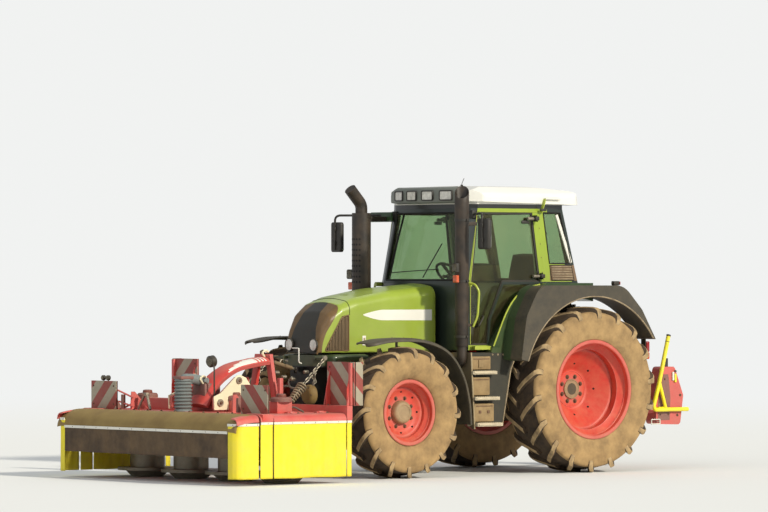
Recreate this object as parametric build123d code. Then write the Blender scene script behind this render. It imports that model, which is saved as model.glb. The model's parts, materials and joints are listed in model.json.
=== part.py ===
from build123d import *
import functools
import math
import os

# A farm tractor with a cab, a front mower and a small implement on its rear linkage.
# Lengths are in millimetres. X points to the machine's left, -Y to its front and Z up.
# Places along Y are measured from the rear axle, and each piece is moved when it is exported,
# so that the origin lies on the ground under the middle of the machine's box.

# Overall reach
FRONT_REACH = 4920.0
REAR_REACH = 1710.0
REAR_AXLE_Y = (FRONT_REACH - REAR_REACH) / 2

# Clearances
PIN_GAP = 0.05
SEAT_GAP = 0.3
MOVING_GAP = 6.0

# Wheels: radius to the lugs' tips, widths and rims
WHEELBASE = 2417.0
REAR_WHEEL = {
    "centre_x": 840.0, "radius": 850.0, "facets": 22,
    "bulge_half": 260.0, "bulge_radius": 650.0, "shoulder_half": 226.0, "shoulder_radius": 800.0,
    "flange_half": 235.0, "flange_radius": 505.0, "seat_radius": 483.0, "well_radius": 430.0,
    "well_from": -80.0, "well_to": 110.0, "disc_x": 24.0, "disc_hub_x": -137.0,
    "hub_radius": 150.0, "cap_radius": 102.0, "cap_x": -92.0,
    "axle_radius": 60.0, "bore_end": -110.0, "hub_start": -220.0,
    "lugs": 18, "lug_width": 44.0, "lug_turn": 41.0, "lug_from": 18.0, "lug_shoulder": 212.0, "lug_to": 246.0,
}
FRONT_WHEEL = {
    "centre_x": 880.0, "radius": 655.0, "facets": 20,
    "bulge_half": 220.0, "bulge_radius": 470.0, "shoulder_half": 186.0, "shoulder_radius": 611.0,
    "flange_half": 167.0, "flange_radius": 325.0, "seat_radius": 305.0, "well_radius": 268.0,
    "well_from": -60.0, "well_to": 70.0, "disc_x": 34.0, "disc_hub_x": 4.0,
    "hub_radius": 125.0, "cap_radius": 105.0, "cap_x": 80.0,
    "axle_radius": 45.0, "bore_end": 50.0, "hub_start": -80.0,
    "lugs": 16, "lug_width": 38.0, "lug_turn": 38.0, "lug_from": 16.0, "lug_shoulder": 176.0, "lug_to": 206.0,
}
RIM_SKIN = 14.0
FLANGE_THICKNESS = 14.0
FLANGE_ROOM = 6.0
LUG_SHOULDER_DROP = 10.0
LUG_END_DROP = 48.0
LUG_ROOT = 60.0
REAR_AXLE_Z = REAR_WHEEL["radius"]
FRONT_AXLE_Z = FRONT_WHEEL["radius"]
FRONT_AXLE_Y = -WHEELBASE

# Front axle, knuckles and tie rod
KINGPIN_X = 700.0
KINGPIN_RADIUS = 25.0
YOKE_WEB_X = 560.0
YOKE_WEB_THICKNESS = 60.0
YOKE_HALF_HEIGHT = 150.0
YOKE_EAR = 40.0
YOKE_HALF_DEPTH = 60.0
YOKE_REACH = 60.0
BARREL_RADIUS = 62.0
BARREL_GAP = 2.0
BEAM_HALF_DEPTH = 70.0
BEAM_HALF_HEIGHT = 65.0
DIFFERENTIAL_RADIUS = 100.0
STEERING_ARM_REACH = 150.0
STEERING_ARM_INSET = 40.0
STEERING_ARM_THICKNESS = 20.0
KINGPIN_HEAD = 40.0
KINGPIN_HEAD_RADIUS = 40.0
TIE_ROD_RADIUS = 16.0

# Chassis
CHASSIS_HALF = 200.0
RAIL_THICKNESS = 30.0
RAIL_BOTTOM = 760.0
RAIL_TOP = 950.0
FRAME_REAR_Y = -1500.0
FRAME_FRONT_Y = -2950.0
BOLSTER_HALF = 300.0
BOLSTER_BOTTOM = 1100.0
BOLSTER_TOP = 1222.0
ENGINE_HALF = 170.0
ENGINE_TOP_HALF = 250.0
ENGINE_TOP = 1620.0
ENGINE_SHOULDER = 1250.0
GEARBOX_HALF = 250.0
GEARBOX_TOP = 1200.0
GEARBOX_BOTTOM = 520.0
GEARBOX_REAR_Y = 250.0
TRUMPET_RADIUS = 135.0
TRUMPET_END_X = 590.0
DRIVE_SHAFT_RADIUS = 35.0

# Cab
CAB_WAIST = 1940.0
CAB_TOP = 2700.0
CAB_FLOOR = 1260.0
SILL_TOP = 1310.0
CAB_WALL = 45.0
FLOOR_THICKNESS = 40.0
TUB_HALF = 560.0
TUB_WALL = 30.0
TUB_REAR_Y = 140.0
GLASS_SET = 10.0
GLASS_THICKNESS = 6.0
DOOR_THICKNESS = 30.0
DOOR_FRAME = 28.0
HINGE_X = 748.0
HINGE_PIN_RADIUS = 8.0
HINGE_BARREL_RADIUS = 16.0
HINGE_BARREL_HALF = 18.0
ROOF_BOTTOM = 2742.0
ROOF_HALF = 720.0

# Bonnet
BONNET_BOTTOM = 1245.0
BONNET_REAR_Y = -1520.0
BONNET_SKIN = 10.0
BONNET_CROWN = 22.0
BONNET_HINGE_Y = -1560.0
BONNET_HINGE_Z = 1850.0
HEADLAMP_X = 200.0
HEADLAMP_Z = 1320.0
HEADLAMP_RADIUS = 65.0

# Fenders
FENDER_INNER_X = 800.0
FENDER_OUTER_X = 1100.0
GREEN_FENDER_INNER_X = 560.0
WHEEL_ARCH_RADIUS = 930.0
FRONT_FENDER_INNER_X = 760.0
FRONT_FENDER_OUTER_X = 1060.0
FRONT_FENDER_THICKNESS = 14.0
FENDER_STAY_X = 630.0
FENDER_STAY_Y = 170.0
FENDER_STAY_Z = 712.0
FENDER_STAY_RADIUS = 14.0

# Steps and tanks
STEP_INNER_X = 780.0
STEP_OUTER_X = 970.0
STEP_FRONT_Y = -1470.0
STEP_PLATE = 20.0
STEP_TREADS = ((1040.0, -1200.0), (780.0, -1170.0), (520.0, -1120.0))
TANK_TOP = 1235.0
TANK_BOTTOM = 560.0

# Pipes
INTAKE_X = 775.0
INTAKE_Y = -1515.0
INTAKE_RADIUS = 72.0
INTAKE_TOP = 2880.0
EXHAUST_X = -650.0
EXHAUST_Y = -1670.0
EXHAUST_RADIUS = 98.0
DUCT_RADIUS = 50.0
DUCT_Z = 1150.0

# Front linkage: lower arms and top link are parallel and equally long
LINK_RUN = 380.0
LINK_RISE = 100.0
LIFT_PIVOT_Y = -3060.0
LIFT_PIVOT_Z = 500.0
TOP_PIVOT_Y = -3010.0
TOP_PIVOT_Z = 1070.0
ARM_X = 310.0
ARM_THICKNESS = 40.0
ARM_RADIUS = 45.0
LIFT_PIN_RADIUS = 22.0
TOP_PIN_RADIUS = 12.0
SPRING_X = 440.0
SPRING_ANCHOR_Y = -3010.0
SPRING_ANCHOR_Z = 1195.0
SPRING_TOP = (-3295.0, 922.0)
SPRING_FOOT = (-3435.0, 782.0)
SPRING_RADIUS = 32.0
SPRING_TOP_RADIUS = 55.0
SPRING_COILS = 7
SPRING_WIRE = 10.0

# Mower
MOWER_HALF = 1490.0
DECK_TOP = 680.0
DECK_SKIN = 12.0
DECK_DEPTH = 60.0
DECK_FRONT_Y = -4600.0
DECK_REAR_Y = -3500.0
REAR_BEAM_DEPTH = 65.0
REAR_BEAM_TOP = 750.0
REAR_BOARD_Y = -3462.0
FRONT_BEAM_REAR_Y = -4470.0
GUARD_HINGE_X = 1200.0
GUARD_HINGE_RADIUS = 14.0
GUARD_PIN_RADIUS = 8.0
CURTAIN_THICKNESS = 6.0
CURTAIN_BOTTOM = 60.0
LIP_FRONT_Z = 560.0
DRUM_Y = -4070.0
DRUM_X = (-1095.0, -365.0, 365.0, 1095.0)
DRUM_RADIUS = 175.0
DRUM_SKIRT_RADIUS = 300.0
BLADE_REACH = 355.0
SAUCER_RADIUS = 230.0
SAUCER_BOTTOM = 3.0
DRUM_SHAFT_RADIUS = 30.0
DRIVE_Y = -4440.0
DRIVE_TOP = 1030.0
DRIVE_RADIUS = 95.0
DRIVE_FOLDS = 6
DRIVE_FOLD_DEPTH = 14.0
FRONT_BOARD = (423.0, 282.0)
REAR_BOARD = (423.0, 423.0)
BOARD_THICKNESS = 8.0

# Rear linkage: lower and top links are parallel and equally long
REAR_LINK_RUN = 820.0
REAR_LINK_RISE = 70.0
REAR_LIFT_Y = 310.0
REAR_LIFT_Z = 550.0
REAR_TOP_Z = 1060.0
REAR_LINK_X = 400.0
REAR_TOWER_THICKNESS = 60.0
HOOP_X = 625.0
HOOP_RADIUS = 22.0
COVER_X = (425.0, 585.0)

# Tow clevis
TOW_Y = 430.0
TOW_Z = 430.0
TOW_PIN_RADIUS = 16.0
TOW_EAR = 25.0
TOW_GAP = 45.0


def block(x, y, z):
    """A box between pairs of low and high values."""
    size = [high - low for low, high in (x, y, z)]
    middle = [(low + high) / 2 for low, high in (x, y, z)]
    return Pos(*middle) * Box(*size)


def outline(points, radius):
    if radius:
        return make_face(FilletPolyline(*points, radius=radius, close=True))
    return make_face(Polyline(*points, close=True))


def side_prism(points, x, radius=0):
    """A side view of (y, z) points, extruded between two places along X."""
    face = Plane.YZ * outline(points, radius)
    return Pos(x[0], 0, 0) * extrude(face, amount=x[1] - x[0], dir=(1, 0, 0))


def front_prism(points, y, radius=0):
    """A front view of (x, z) points, extruded between two places along Y."""
    face = Plane.XZ * outline(points, radius)
    return Pos(0, y[0], 0) * extrude(face, amount=y[1] - y[0], dir=(0, 1, 0))


def top_prism(points, z, radius=0):
    """A plan of (x, y) points, extruded between two heights."""
    return Pos(0, 0, z[0]) * extrude(outline(points, radius), amount=z[1] - z[0], dir=(0, 0, 1))


def rod(start, end, radius):
    start = Vector(start)
    run = Vector(end) - start
    return extrude(Plane(origin=start, z_dir=run) * Circle(radius), amount=run.length)


def cross_rod(x, y, z, radius):
    """A round bar along X."""
    return rod((x[0], y, z), (x[1], y, z), radius)


def bent_rod(points, bend, radius):
    path = FilletPolyline(*points, radius=bend)
    return sweep(Plane(origin=path @ 0, z_dir=path % 0) * Circle(radius), path=path)


def band(points, bend, x, thickness):
    """A strip as wide as the two places along X, bent along a side view of (y, z) points."""
    middle = (x[0] + x[1]) / 2
    path = FilletPolyline(*[(middle, y, z) for y, z in points], radius=bend)
    start = Plane(origin=path @ 0, x_dir=(1, 0, 0), z_dir=path % 0)
    return sweep(start * Rectangle(x[1] - x[0], thickness), path=path)


def turned(points):
    """A profile of (x, radius) points, turned about the X axis."""
    return revolve(Plane.XZ * make_face(Polyline(*points, close=True)), axis=Axis.X)


def ribbed(length, first_radius, last_radius, ribs, depth):
    """A bar up the Z axis whose side goes in and out like a coil spring's or a bellows'."""
    points = [(0, 0), (first_radius - depth, 0)]
    for index in range(ribs):
        swell = first_radius + (last_radius - first_radius) * (index + 0.5) / ribs
        fold = first_radius + (last_radius - first_radius) * (index + 1) / ribs - depth
        points += [(swell, length * (index + 0.5) / ribs), (fold, length * (index + 1) / ribs)]
    points.append((0, length))
    return revolve(Plane.XZ * make_face(Polyline(*points, close=True)), axis=Axis.Z)


def mirrored(shape):
    return mirror(shape, about=Plane.YZ)


def on_both_sides(shape):
    return shape + mirrored(shape)


def solids_of(*shapes):
    """One compound of the solids of several shapes that don't touch."""
    return Compound([solid for shape in shapes for solid in shape.solids()])


# Wheels, built about their own centre with the outboard side at +X

def rim(wheel):
    half = wheel["flange_half"]
    flange = wheel["flange_radius"]
    seat = wheel["seat_radius"]
    well = wheel["well_radius"]
    bead = half - FLANGE_THICKNESS
    slope = seat - well
    well_in = wheel["well_from"]
    well_out = wheel["well_to"]
    barrel = turned((
        (-half, flange), (-bead, flange), (-bead, seat), (well_in - slope, seat), (well_in, well),
        (well_out, well), (well_out + slope, seat), (bead, seat), (bead, flange), (half, flange),
        (half, seat - RIM_SKIN), (well_out + slope + RIM_SKIN, seat - RIM_SKIN),
        (well_out + RIM_SKIN / 2, well - RIM_SKIN), (well_in - RIM_SKIN / 2, well - RIM_SKIN),
        (well_in - slope - RIM_SKIN, seat - RIM_SKIN), (-half, seat - RIM_SKIN),
    ))
    disc_x = wheel["disc_x"]
    hub_x = wheel["disc_hub_x"]
    hub = wheel["hub_radius"]
    inner = well - RIM_SKIN
    disc = turned((
        (disc_x, inner + RIM_SKIN / 2), (disc_x, inner - 40), (hub_x, hub + 60), (hub_x, hub - 20),
        (hub_x + RIM_SKIN, hub - 20), (hub_x + RIM_SKIN, hub + 60), (disc_x + RIM_SKIN, inner - 40),
        (disc_x + RIM_SKIN, inner + RIM_SKIN / 2),
    ))
    cap = wheel["cap_radius"]
    cap_x = wheel["cap_x"]
    bore = wheel["axle_radius"] + PIN_GAP
    centre = turned((
        (wheel["hub_start"], bore), (wheel["bore_end"], bore), (wheel["bore_end"], 0),
        (cap_x, 0), (cap_x, cap - 12), (cap_x - 14, cap), (hub_x + RIM_SKIN + 12, cap + 8),
        (hub_x + RIM_SKIN + 12, hub - 8), (hub_x + RIM_SKIN, hub), (hub_x, hub),
        (wheel["hub_start"], bore + 30),
    ))
    return barrel + disc + centre


def faceted_ring(profile, sides):
    """A closed profile of (x, radius) points, carried round the X axis in flat steps."""
    rows = []
    for step in range(sides):
        angle = 2 * math.pi * step / sides
        rows.append([(x, radius * math.sin(angle), radius * math.cos(angle)) for x, radius in profile])
    faces = []
    for row, after in zip(rows, rows[1:] + rows[:1]):
        for here, there in zip(range(len(profile)), list(range(1, len(profile))) + [0]):
            corners = (row[here], row[there], after[there], after[here])
            faces.append(make_face(Polyline(*corners, close=True)))
    return Solid(Shell(faces))


def lug(wheel, hand):
    """A straight tread bar at the wheel's top, from near the middle back and out to the shoulder."""
    turn = math.radians(wheel["lug_turn"])
    along = Vector(hand * math.cos(turn), math.sin(turn), 0)
    across = Vector(math.sin(turn), -hand * math.cos(turn), 0)
    half = wheel["lug_width"] / 2
    radius = wheel["radius"]

    def height(x, reach, spread=0.0):
        """How high a place at x on the bar lies when it is a reach away from the axle."""
        back = x * math.tan(turn) + spread
        return math.sqrt(reach ** 2 - back ** 2)

    start = wheel["lug_from"]
    shoulder = wheel["lug_shoulder"]
    end = wheel["lug_to"]
    shape = (
        (start, height(start, radius - LUG_ROOT)), (start, height(start, radius, half * math.cos(turn))),
        (shoulder, height(shoulder, radius - LUG_SHOULDER_DROP)), (end, height(end, radius - LUG_END_DROP)),
        (end - LUG_SHOULDER_DROP, height(end, radius - LUG_END_DROP - LUG_ROOT)),
    )
    points = [(x / math.cos(turn), z) for x, z in shape]
    face = Plane(origin=across * -half, x_dir=along, z_dir=across) * make_face(Polyline(*points, close=True))
    return extrude(face, amount=2 * half, dir=across)


def tyre(wheel):
    """A tyre of flat facets with two rows of staggered bars, one of which touches the ground."""
    sides = wheel["facets"]
    flat = math.cos(math.pi / sides)
    bead = wheel["flange_half"] - FLANGE_THICKNESS - SEAT_GAP
    flange = (wheel["flange_radius"] + FLANGE_ROOM) / flat
    side = (
        (bead, (wheel["seat_radius"] + SEAT_GAP) / flat), (bead, flange), (wheel["flange_half"], flange + FLANGE_ROOM),
        (wheel["bulge_half"], wheel["bulge_radius"]), (wheel["shoulder_half"], wheel["shoulder_radius"]),
    )
    carcass = faceted_ring(list(side) + [(-x, r) for x, r in reversed(side)], sides)
    turn = math.radians(wheel["lug_turn"])
    back = wheel["lug_from"] * math.tan(turn) + wheel["lug_width"] / 2 * math.cos(turn)
    lowest = 180.0 + math.degrees(math.asin(back / wheel["radius"]))
    pitch = 360.0 / wheel["lugs"]
    bars = []
    for index in range(wheel["lugs"]):
        bars.append(Rot(X=lowest + index * pitch) * lug(wheel, 1))
        bars.append(Rot(X=lowest + (index + 0.5) * pitch) * lug(wheel, -1))
    return carcass + bars


def placed_wheel(shape, wheel, y, side):
    centred = Pos(wheel["centre_x"], y, wheel["radius"]) * shape
    return centred if side == "left" else mirrored(centred)


# Front axle and steering

@functools.cache
def front_axle():
    beam = block((-YOKE_WEB_X, YOKE_WEB_X), (-BEAM_HALF_DEPTH, BEAM_HALF_DEPTH),
                 (-BEAM_HALF_HEIGHT, BEAM_HALF_HEIGHT))
    differential = rod((0, -150, 0), (0, 150, 0), DIFFERENTIAL_RADIUS)
    saddle = block((-110, 110), (-90, 90), (0, RAIL_BOTTOM - FRONT_AXLE_Z))
    web = block((YOKE_WEB_X, YOKE_WEB_X + YOKE_WEB_THICKNESS), (-YOKE_HALF_DEPTH, YOKE_HALF_DEPTH),
                (-YOKE_HALF_HEIGHT, YOKE_HALF_HEIGHT))
    ears = []
    for bottom in (-YOKE_HALF_HEIGHT, YOKE_HALF_HEIGHT - YOKE_EAR):
        ears.append(block((YOKE_WEB_X, KINGPIN_X + YOKE_REACH), (-YOKE_HALF_DEPTH, YOKE_HALF_DEPTH),
                          (bottom, bottom + YOKE_EAR)))
    yoke = web + ears[0] + ears[1]
    yoke -= rod((KINGPIN_X, 0, -200), (KINGPIN_X, 0, 200), KINGPIN_RADIUS + PIN_GAP)
    axle = beam + differential + saddle + on_both_sides(yoke)
    return Pos(0, FRONT_AXLE_Y, FRONT_AXLE_Z) * axle


@functools.cache
def knuckle():
    """The left knuckle: kingpin, spindle, steering arm and the fender's stay."""
    top = YOKE_HALF_HEIGHT - YOKE_EAR - BARREL_GAP
    spindle_end = FRONT_WHEEL["centre_x"] + FRONT_WHEEL["bore_end"] - BARREL_GAP
    flange_end = FRONT_WHEEL["centre_x"] + FRONT_WHEEL["hub_start"] - BARREL_GAP
    body = rod((KINGPIN_X, 0, -top), (KINGPIN_X, 0, top), BARREL_RADIUS)
    clear = YOKE_HALF_HEIGHT + MOVING_GAP
    arm_low = -clear - STEERING_ARM_THICKNESS
    body += rod((KINGPIN_X, 0, arm_low), (KINGPIN_X, 0, clear), KINGPIN_RADIUS)
    body += rod((KINGPIN_X, 0, clear), (KINGPIN_X, 0, clear + KINGPIN_HEAD), KINGPIN_HEAD_RADIUS)
    body += rod((KINGPIN_X, 0, arm_low), (KINGPIN_X, 0, -clear), KINGPIN_HEAD_RADIUS)
    body += cross_rod((KINGPIN_X, flange_end), 0, 0, BARREL_RADIUS)
    body += cross_rod((KINGPIN_X, spindle_end), 0, 0, FRONT_WHEEL["axle_radius"])
    arm = top_prism(((KINGPIN_X - 25, 0), (KINGPIN_X + 25, 0),
                     (KINGPIN_X - STEERING_ARM_INSET + 22, STEERING_ARM_REACH + 22),
                     (KINGPIN_X - STEERING_ARM_INSET - 22, STEERING_ARM_REACH + 22)),
                    (arm_low, -clear))
    body += arm
    stay_z = clear + KINGPIN_HEAD / 2
    knee = (FENDER_STAY_X, FENDER_STAY_Y, stay_z)
    head = (FENDER_STAY_X, FENDER_STAY_Y, FENDER_STAY_Z)
    tip = (FRONT_FENDER_OUTER_X - 20, FENDER_STAY_Y, FENDER_STAY_Z)
    body += rod((KINGPIN_X, 0, stay_z), knee, FENDER_STAY_RADIUS)
    body += rod(knee, head, FENDER_STAY_RADIUS)
    body += rod(head, tip, FENDER_STAY_RADIUS)
    for corner in (knee, head):
        body += Pos(*corner) * Sphere(FENDER_STAY_RADIUS)
    return Pos(0, FRONT_AXLE_Y, FRONT_AXLE_Z) * body


# Side view of the front fender about the front wheel's centre: (y, z)
FRONT_FENDER_LINE = ((-503, 697), (-200, 742), (207, 728), (520, 610), (712, 380), (800, 110), (824, -135))


def front_fender():
    strip = band(FRONT_FENDER_LINE, 120, (FRONT_FENDER_INNER_X, FRONT_FENDER_OUTER_X),
                 FRONT_FENDER_THICKNESS)
    return (Pos(0, FRONT_AXLE_Y, FRONT_AXLE_Z) * strip) - knuckle()


def tie_rod():
    y = FRONT_AXLE_Y + STEERING_ARM_REACH
    z = FRONT_AXLE_Z - YOKE_HALF_HEIGHT - MOVING_GAP + TIE_ROD_RADIUS
    end = KINGPIN_X - STEERING_ARM_INSET
    bar = cross_rod((-end, end), y, z, TIE_ROD_RADIUS - 2)
    eye = rod((end, y, z - TIE_ROD_RADIUS), (end, y, z + TIE_ROD_RADIUS), 28)
    return bar + on_both_sides(eye)


# Chassis

def front_frame():
    rail = block((CHASSIS_HALF - RAIL_THICKNESS, CHASSIS_HALF), (FRAME_FRONT_Y, FRAME_REAR_Y),
                 (RAIL_BOTTOM, RAIL_TOP))
    frame = on_both_sides(rail)
    cradle = block((-CHASSIS_HALF, CHASSIS_HALF), (FRONT_AXLE_Y - 110, FRONT_AXLE_Y + 110),
                   (RAIL_BOTTOM, RAIL_BOTTOM + 40))
    casting = block((-CHASSIS_HALF, CHASSIS_HALF), (FRAME_FRONT_Y, FRAME_FRONT_Y + 180), (560, BOLSTER_BOTTOM))
    bolster = top_prism(((-BOLSTER_HALF, FRAME_FRONT_Y + 330), (BOLSTER_HALF, FRAME_FRONT_Y + 330),
                         (BOLSTER_HALF, FRAME_FRONT_Y + 20), (200, FRAME_FRONT_Y - 25),
                         (-200, FRAME_FRONT_Y - 25), (-BOLSTER_HALF, FRAME_FRONT_Y + 20)),
                        (BOLSTER_BOTTOM, BOLSTER_TOP), 15)
    frame += cradle + casting + bolster
    lower = side_prism(((FRAME_FRONT_Y + 60, 720), (FRAME_FRONT_Y + 60, 560), (LIFT_PIVOT_Y + 30, LIFT_PIVOT_Z - 45),
                        (LIFT_PIVOT_Y - 45, LIFT_PIVOT_Z - 45), (LIFT_PIVOT_Y - 45, LIFT_PIVOT_Z + 45),
                        (FRAME_FRONT_Y - 20, 720)), (CHASSIS_HALF - 40, CHASSIS_HALF + 30))
    frame += on_both_sides(lower)
    frame += cross_rod((-ARM_X - ARM_THICKNESS / 2 - 8, ARM_X + ARM_THICKNESS / 2 + 8),
                       LIFT_PIVOT_Y, LIFT_PIVOT_Z, LIFT_PIN_RADIUS)
    ear = block((26, 46), (TOP_PIVOT_Y - 30, FRAME_FRONT_Y), (TOP_PIVOT_Z - 32, TOP_PIVOT_Z + 28))
    frame += on_both_sides(ear)
    frame += cross_rod((-46, 46), TOP_PIVOT_Y, TOP_PIVOT_Z, TOP_PIN_RADIUS)
    anchor = cross_rod((BOLSTER_HALF - 60, SPRING_X + 10), SPRING_ANCHOR_Y, SPRING_ANCHOR_Z, 10)
    anchor_foot = block((BOLSTER_HALF - 80, BOLSTER_HALF), (SPRING_ANCHOR_Y - 15, FRAME_FRONT_Y + 60),
                        (SPRING_ANCHOR_Z - 15, SPRING_ANCHOR_Z + 15))
    frame += on_both_sides(anchor + anchor_foot)
    mask_post = block((-60, 60), (FRAME_FRONT_Y + 190, FRAME_FRONT_Y + 250), (BOLSTER_TOP, ENGINE_TOP))
    return frame + mask_post


@functools.cache
def engine_block():
    lower = block((-ENGINE_HALF, ENGINE_HALF), (FRAME_FRONT_Y + 350, FRAME_REAR_Y), (810, ENGINE_SHOULDER))
    upper = block((-ENGINE_TOP_HALF, ENGINE_TOP_HALF), (FRAME_FRONT_Y + 350, FRAME_REAR_Y - 60),
                  (ENGINE_SHOULDER, ENGINE_TOP))
    sump = block((-ENGINE_HALF, ENGINE_HALF), (-2150, FRAME_REAR_Y), (705, 810))
    hinge_post = block((-120, 120), (BONNET_HINGE_Y - 25, BONNET_HINGE_Y + 25),
                       (ENGINE_TOP, BONNET_HINGE_Z - 20))
    hinge_ear = block((80, 120), (BONNET_HINGE_Y - 25, BONNET_HINGE_Y + 25),
                      (BONNET_HINGE_Z - 20, BONNET_HINGE_Z + 20))
    pin = cross_rod((-200, 200), BONNET_HINGE_Y, BONNET_HINGE_Z, 12)
    return lower + upper + sump + hinge_post + on_both_sides(hinge_ear) + pin


@functools.cache
def gearbox_housing():
    body = block((-GEARBOX_HALF, GEARBOX_HALF), (-1150, GEARBOX_REAR_Y), (GEARBOX_BOTTOM, GEARBOX_TOP))
    neck = block((-ENGINE_HALF, ENGINE_HALF), (FRAME_REAR_Y, -1150), (600, GEARBOX_TOP))
    shaft = rod((0, -1300, FRONT_AXLE_Z), (0, FRONT_AXLE_Y + 150, FRONT_AXLE_Z), DRIVE_SHAFT_RADIUS)
    mounts = []
    for x in (-180, 180):
        for y in (-1000, 20):
            mounts.append(rod((x, y, GEARBOX_TOP), (x, y, CAB_FLOOR), 55))
    housing = body + neck + mounts[0] + mounts[1] + mounts[2] + mounts[3]
    lug = block((180, 240), (GEARBOX_REAR_Y, REAR_LIFT_Y + 40), (REAR_LIFT_Z - 45, REAR_LIFT_Z + 45))
    housing += on_both_sides(lug)
    reach = REAR_LINK_X + 30
    housing += cross_rod((-reach, reach), REAR_LIFT_Y, REAR_LIFT_Z, LIFT_PIN_RADIUS)
    ear = block((26, 46), (GEARBOX_REAR_Y, REAR_LIFT_Y + 30), (REAR_TOP_Z - 40, REAR_TOP_Z + 30))
    housing += on_both_sides(ear)
    housing += cross_rod((-46, 46), REAR_LIFT_Y, REAR_TOP_Z, TOP_PIN_RADIUS)
    ears = []
    for bottom in (TOW_Z, TOW_Z + TOW_EAR + TOW_GAP):
        ears.append(block((-50, 50), (200, TOW_Y + 50), (bottom, bottom + TOW_EAR)))
    web = block((-50, 50), (150, 300), (TOW_Z, GEARBOX_BOTTOM + 20))
    clevis = ears[0] + ears[1] + web
    clevis -= rod((0, TOW_Y, TOW_Z - 50), (0, TOW_Y, TOW_Z + 200), TOW_PIN_RADIUS)
    housing += clevis
    return (housing - engine_block()) + (shaft - front_axle() - engine_block())


def rear_axle():
    stub_end = REAR_WHEEL["centre_x"] + REAR_WHEEL["bore_end"] - BARREL_GAP
    side = cross_rod((GEARBOX_HALF, TRUMPET_END_X), 0, REAR_AXLE_Z, TRUMPET_RADIUS)
    side += cross_rod((GEARBOX_HALF, GEARBOX_HALF + 60), 0, REAR_AXLE_Z, TRUMPET_RADIUS + 60)
    side += cross_rod((TRUMPET_END_X, stub_end), 0, REAR_AXLE_Z, REAR_WHEEL["axle_radius"])
    return solids_of(side, mirrored(side))


# Cab. Plan at the waist and under the roof: (x, y) of the front corner, front bulge at x 0,
# side's front corner, widest place, rear corner and rear bulge at x 0.
CAB_PLAN = {
    "waist": {"front": (620, -1400), "bulge": -1452, "corner": (695, -1362), "wide": (710, -340),
              "rear": (650, 150), "rear_bulge": 175},
    "top": {"front": (600, -1250), "bulge": -1300, "corner": (670, -1218), "wide": (690, -440),
            "rear": (610, -30), "rear_bulge": -10},
}


def cab_section(z, inset):
    """The cab's plan at a height, moved in by an inset."""
    share = (max(z, CAB_WAIST) - CAB_WAIST) / (CAB_TOP - CAB_WAIST)

    def blend(key, axis=None):
        low, high = CAB_PLAN["waist"][key], CAB_PLAN["top"][key]
        if axis is None:
            return low + (high - low) * share
        return low[axis] + (high[axis] - low[axis]) * share

    front = (blend("front", 0) - inset, blend("front", 1) + inset)
    corner = (blend("corner", 0) - inset, blend("corner", 1) + inset)
    wide = (blend("wide", 0) - inset, blend("wide", 1))
    rear = (blend("rear", 0) - inset, blend("rear", 1) - inset)
    right = [(-x, y) for x, y in (front, corner, wide, rear)]
    edges = [
        ThreePointArc(right[0], (0, blend("bulge") + inset), front),
        Line(front, corner), Line(corner, wide), Line(wide, rear),
        ThreePointArc(rear, (0, blend("rear_bulge") - inset), right[3]),
        Line(right[3], right[2]), Line(right[2], right[1]), Line(right[1], right[0]),
    ]
    return Pos(0, 0, z) * make_face(edges)


@functools.cache
def cab_body(inset, bottom=CAB_WAIST, top=CAB_TOP):
    """The cab's solid envelope, upright below the waist and leaning in above it."""
    body = loft([cab_section(CAB_WAIST, inset), cab_section(top, inset)], ruled=True)
    if bottom < CAB_WAIST:
        body += extrude(cab_section(bottom, inset), amount=CAB_WAIST - bottom, dir=(0, 0, 1))
    return body


@functools.cache
def cab_skin(inset, thickness, bottom=CAB_WAIST):
    outer = cab_body(inset, bottom)
    inner = cab_body(inset + thickness, bottom - 1 if bottom < CAB_WAIST else CAB_WAIST, CAB_TOP + 1)
    if bottom == CAB_WAIST:
        inner += extrude(cab_section(CAB_WAIST, inset + thickness), amount=-1)
    return outer - inner


# Side view of the door opening: (y, z), from the front foot round to the rear of the sill
DOOR_OPENING = ((-1330, SILL_TOP), (-1330, CAB_WAIST), (-1222, 2660), (-505, 2660), (-412, 1952),
                (-915, 1952), (-1095, 1570), (-1120, SILL_TOP))
QUARTER_WINDOW = ((-345, 2660), (-70, 2660), (60, 2140), (-275, 2140))
VENT_PANEL = ((-272, 2122), (64, 2122), (95, 1965), (-250, 1965))
WINDSCREEN = ((-572, 1972), (-550, 2655), (550, 2655), (572, 1972))
REAR_WINDOW = ((-560, 1990), (-530, 2650), (530, 2650), (560, 1990))

SIDE_CUT = (500.0, 850.0)
LOUVRES = 6
LOUVRE_PROUD = 6.0
LOUVRE_MARGIN = 8.0

# Side view of the green inner fender: its outer line from the sill to the rear, and its arch
GREEN_FENDER_LINE = ((-1145, 1240), (-1120, 1300), (-710, 1795), (-500, 1905), (-400, CAB_WAIST),
                     (230, CAB_WAIST), (230, 1752))


def grown(points, amount):
    """A closed side view, moved out by an amount, or in by a negative one."""
    face = offset(make_face(Polyline(*points, close=True)), amount=amount, kind=Kind.INTERSECTION)
    return face


def side_window(points, x, amount=0.0):
    face = grown(points, amount) if amount else make_face(Polyline(*points, close=True))
    return Pos(x[0], 0, 0) * extrude(Plane.YZ * face, amount=x[1] - x[0], dir=(1, 0, 0))


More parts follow.
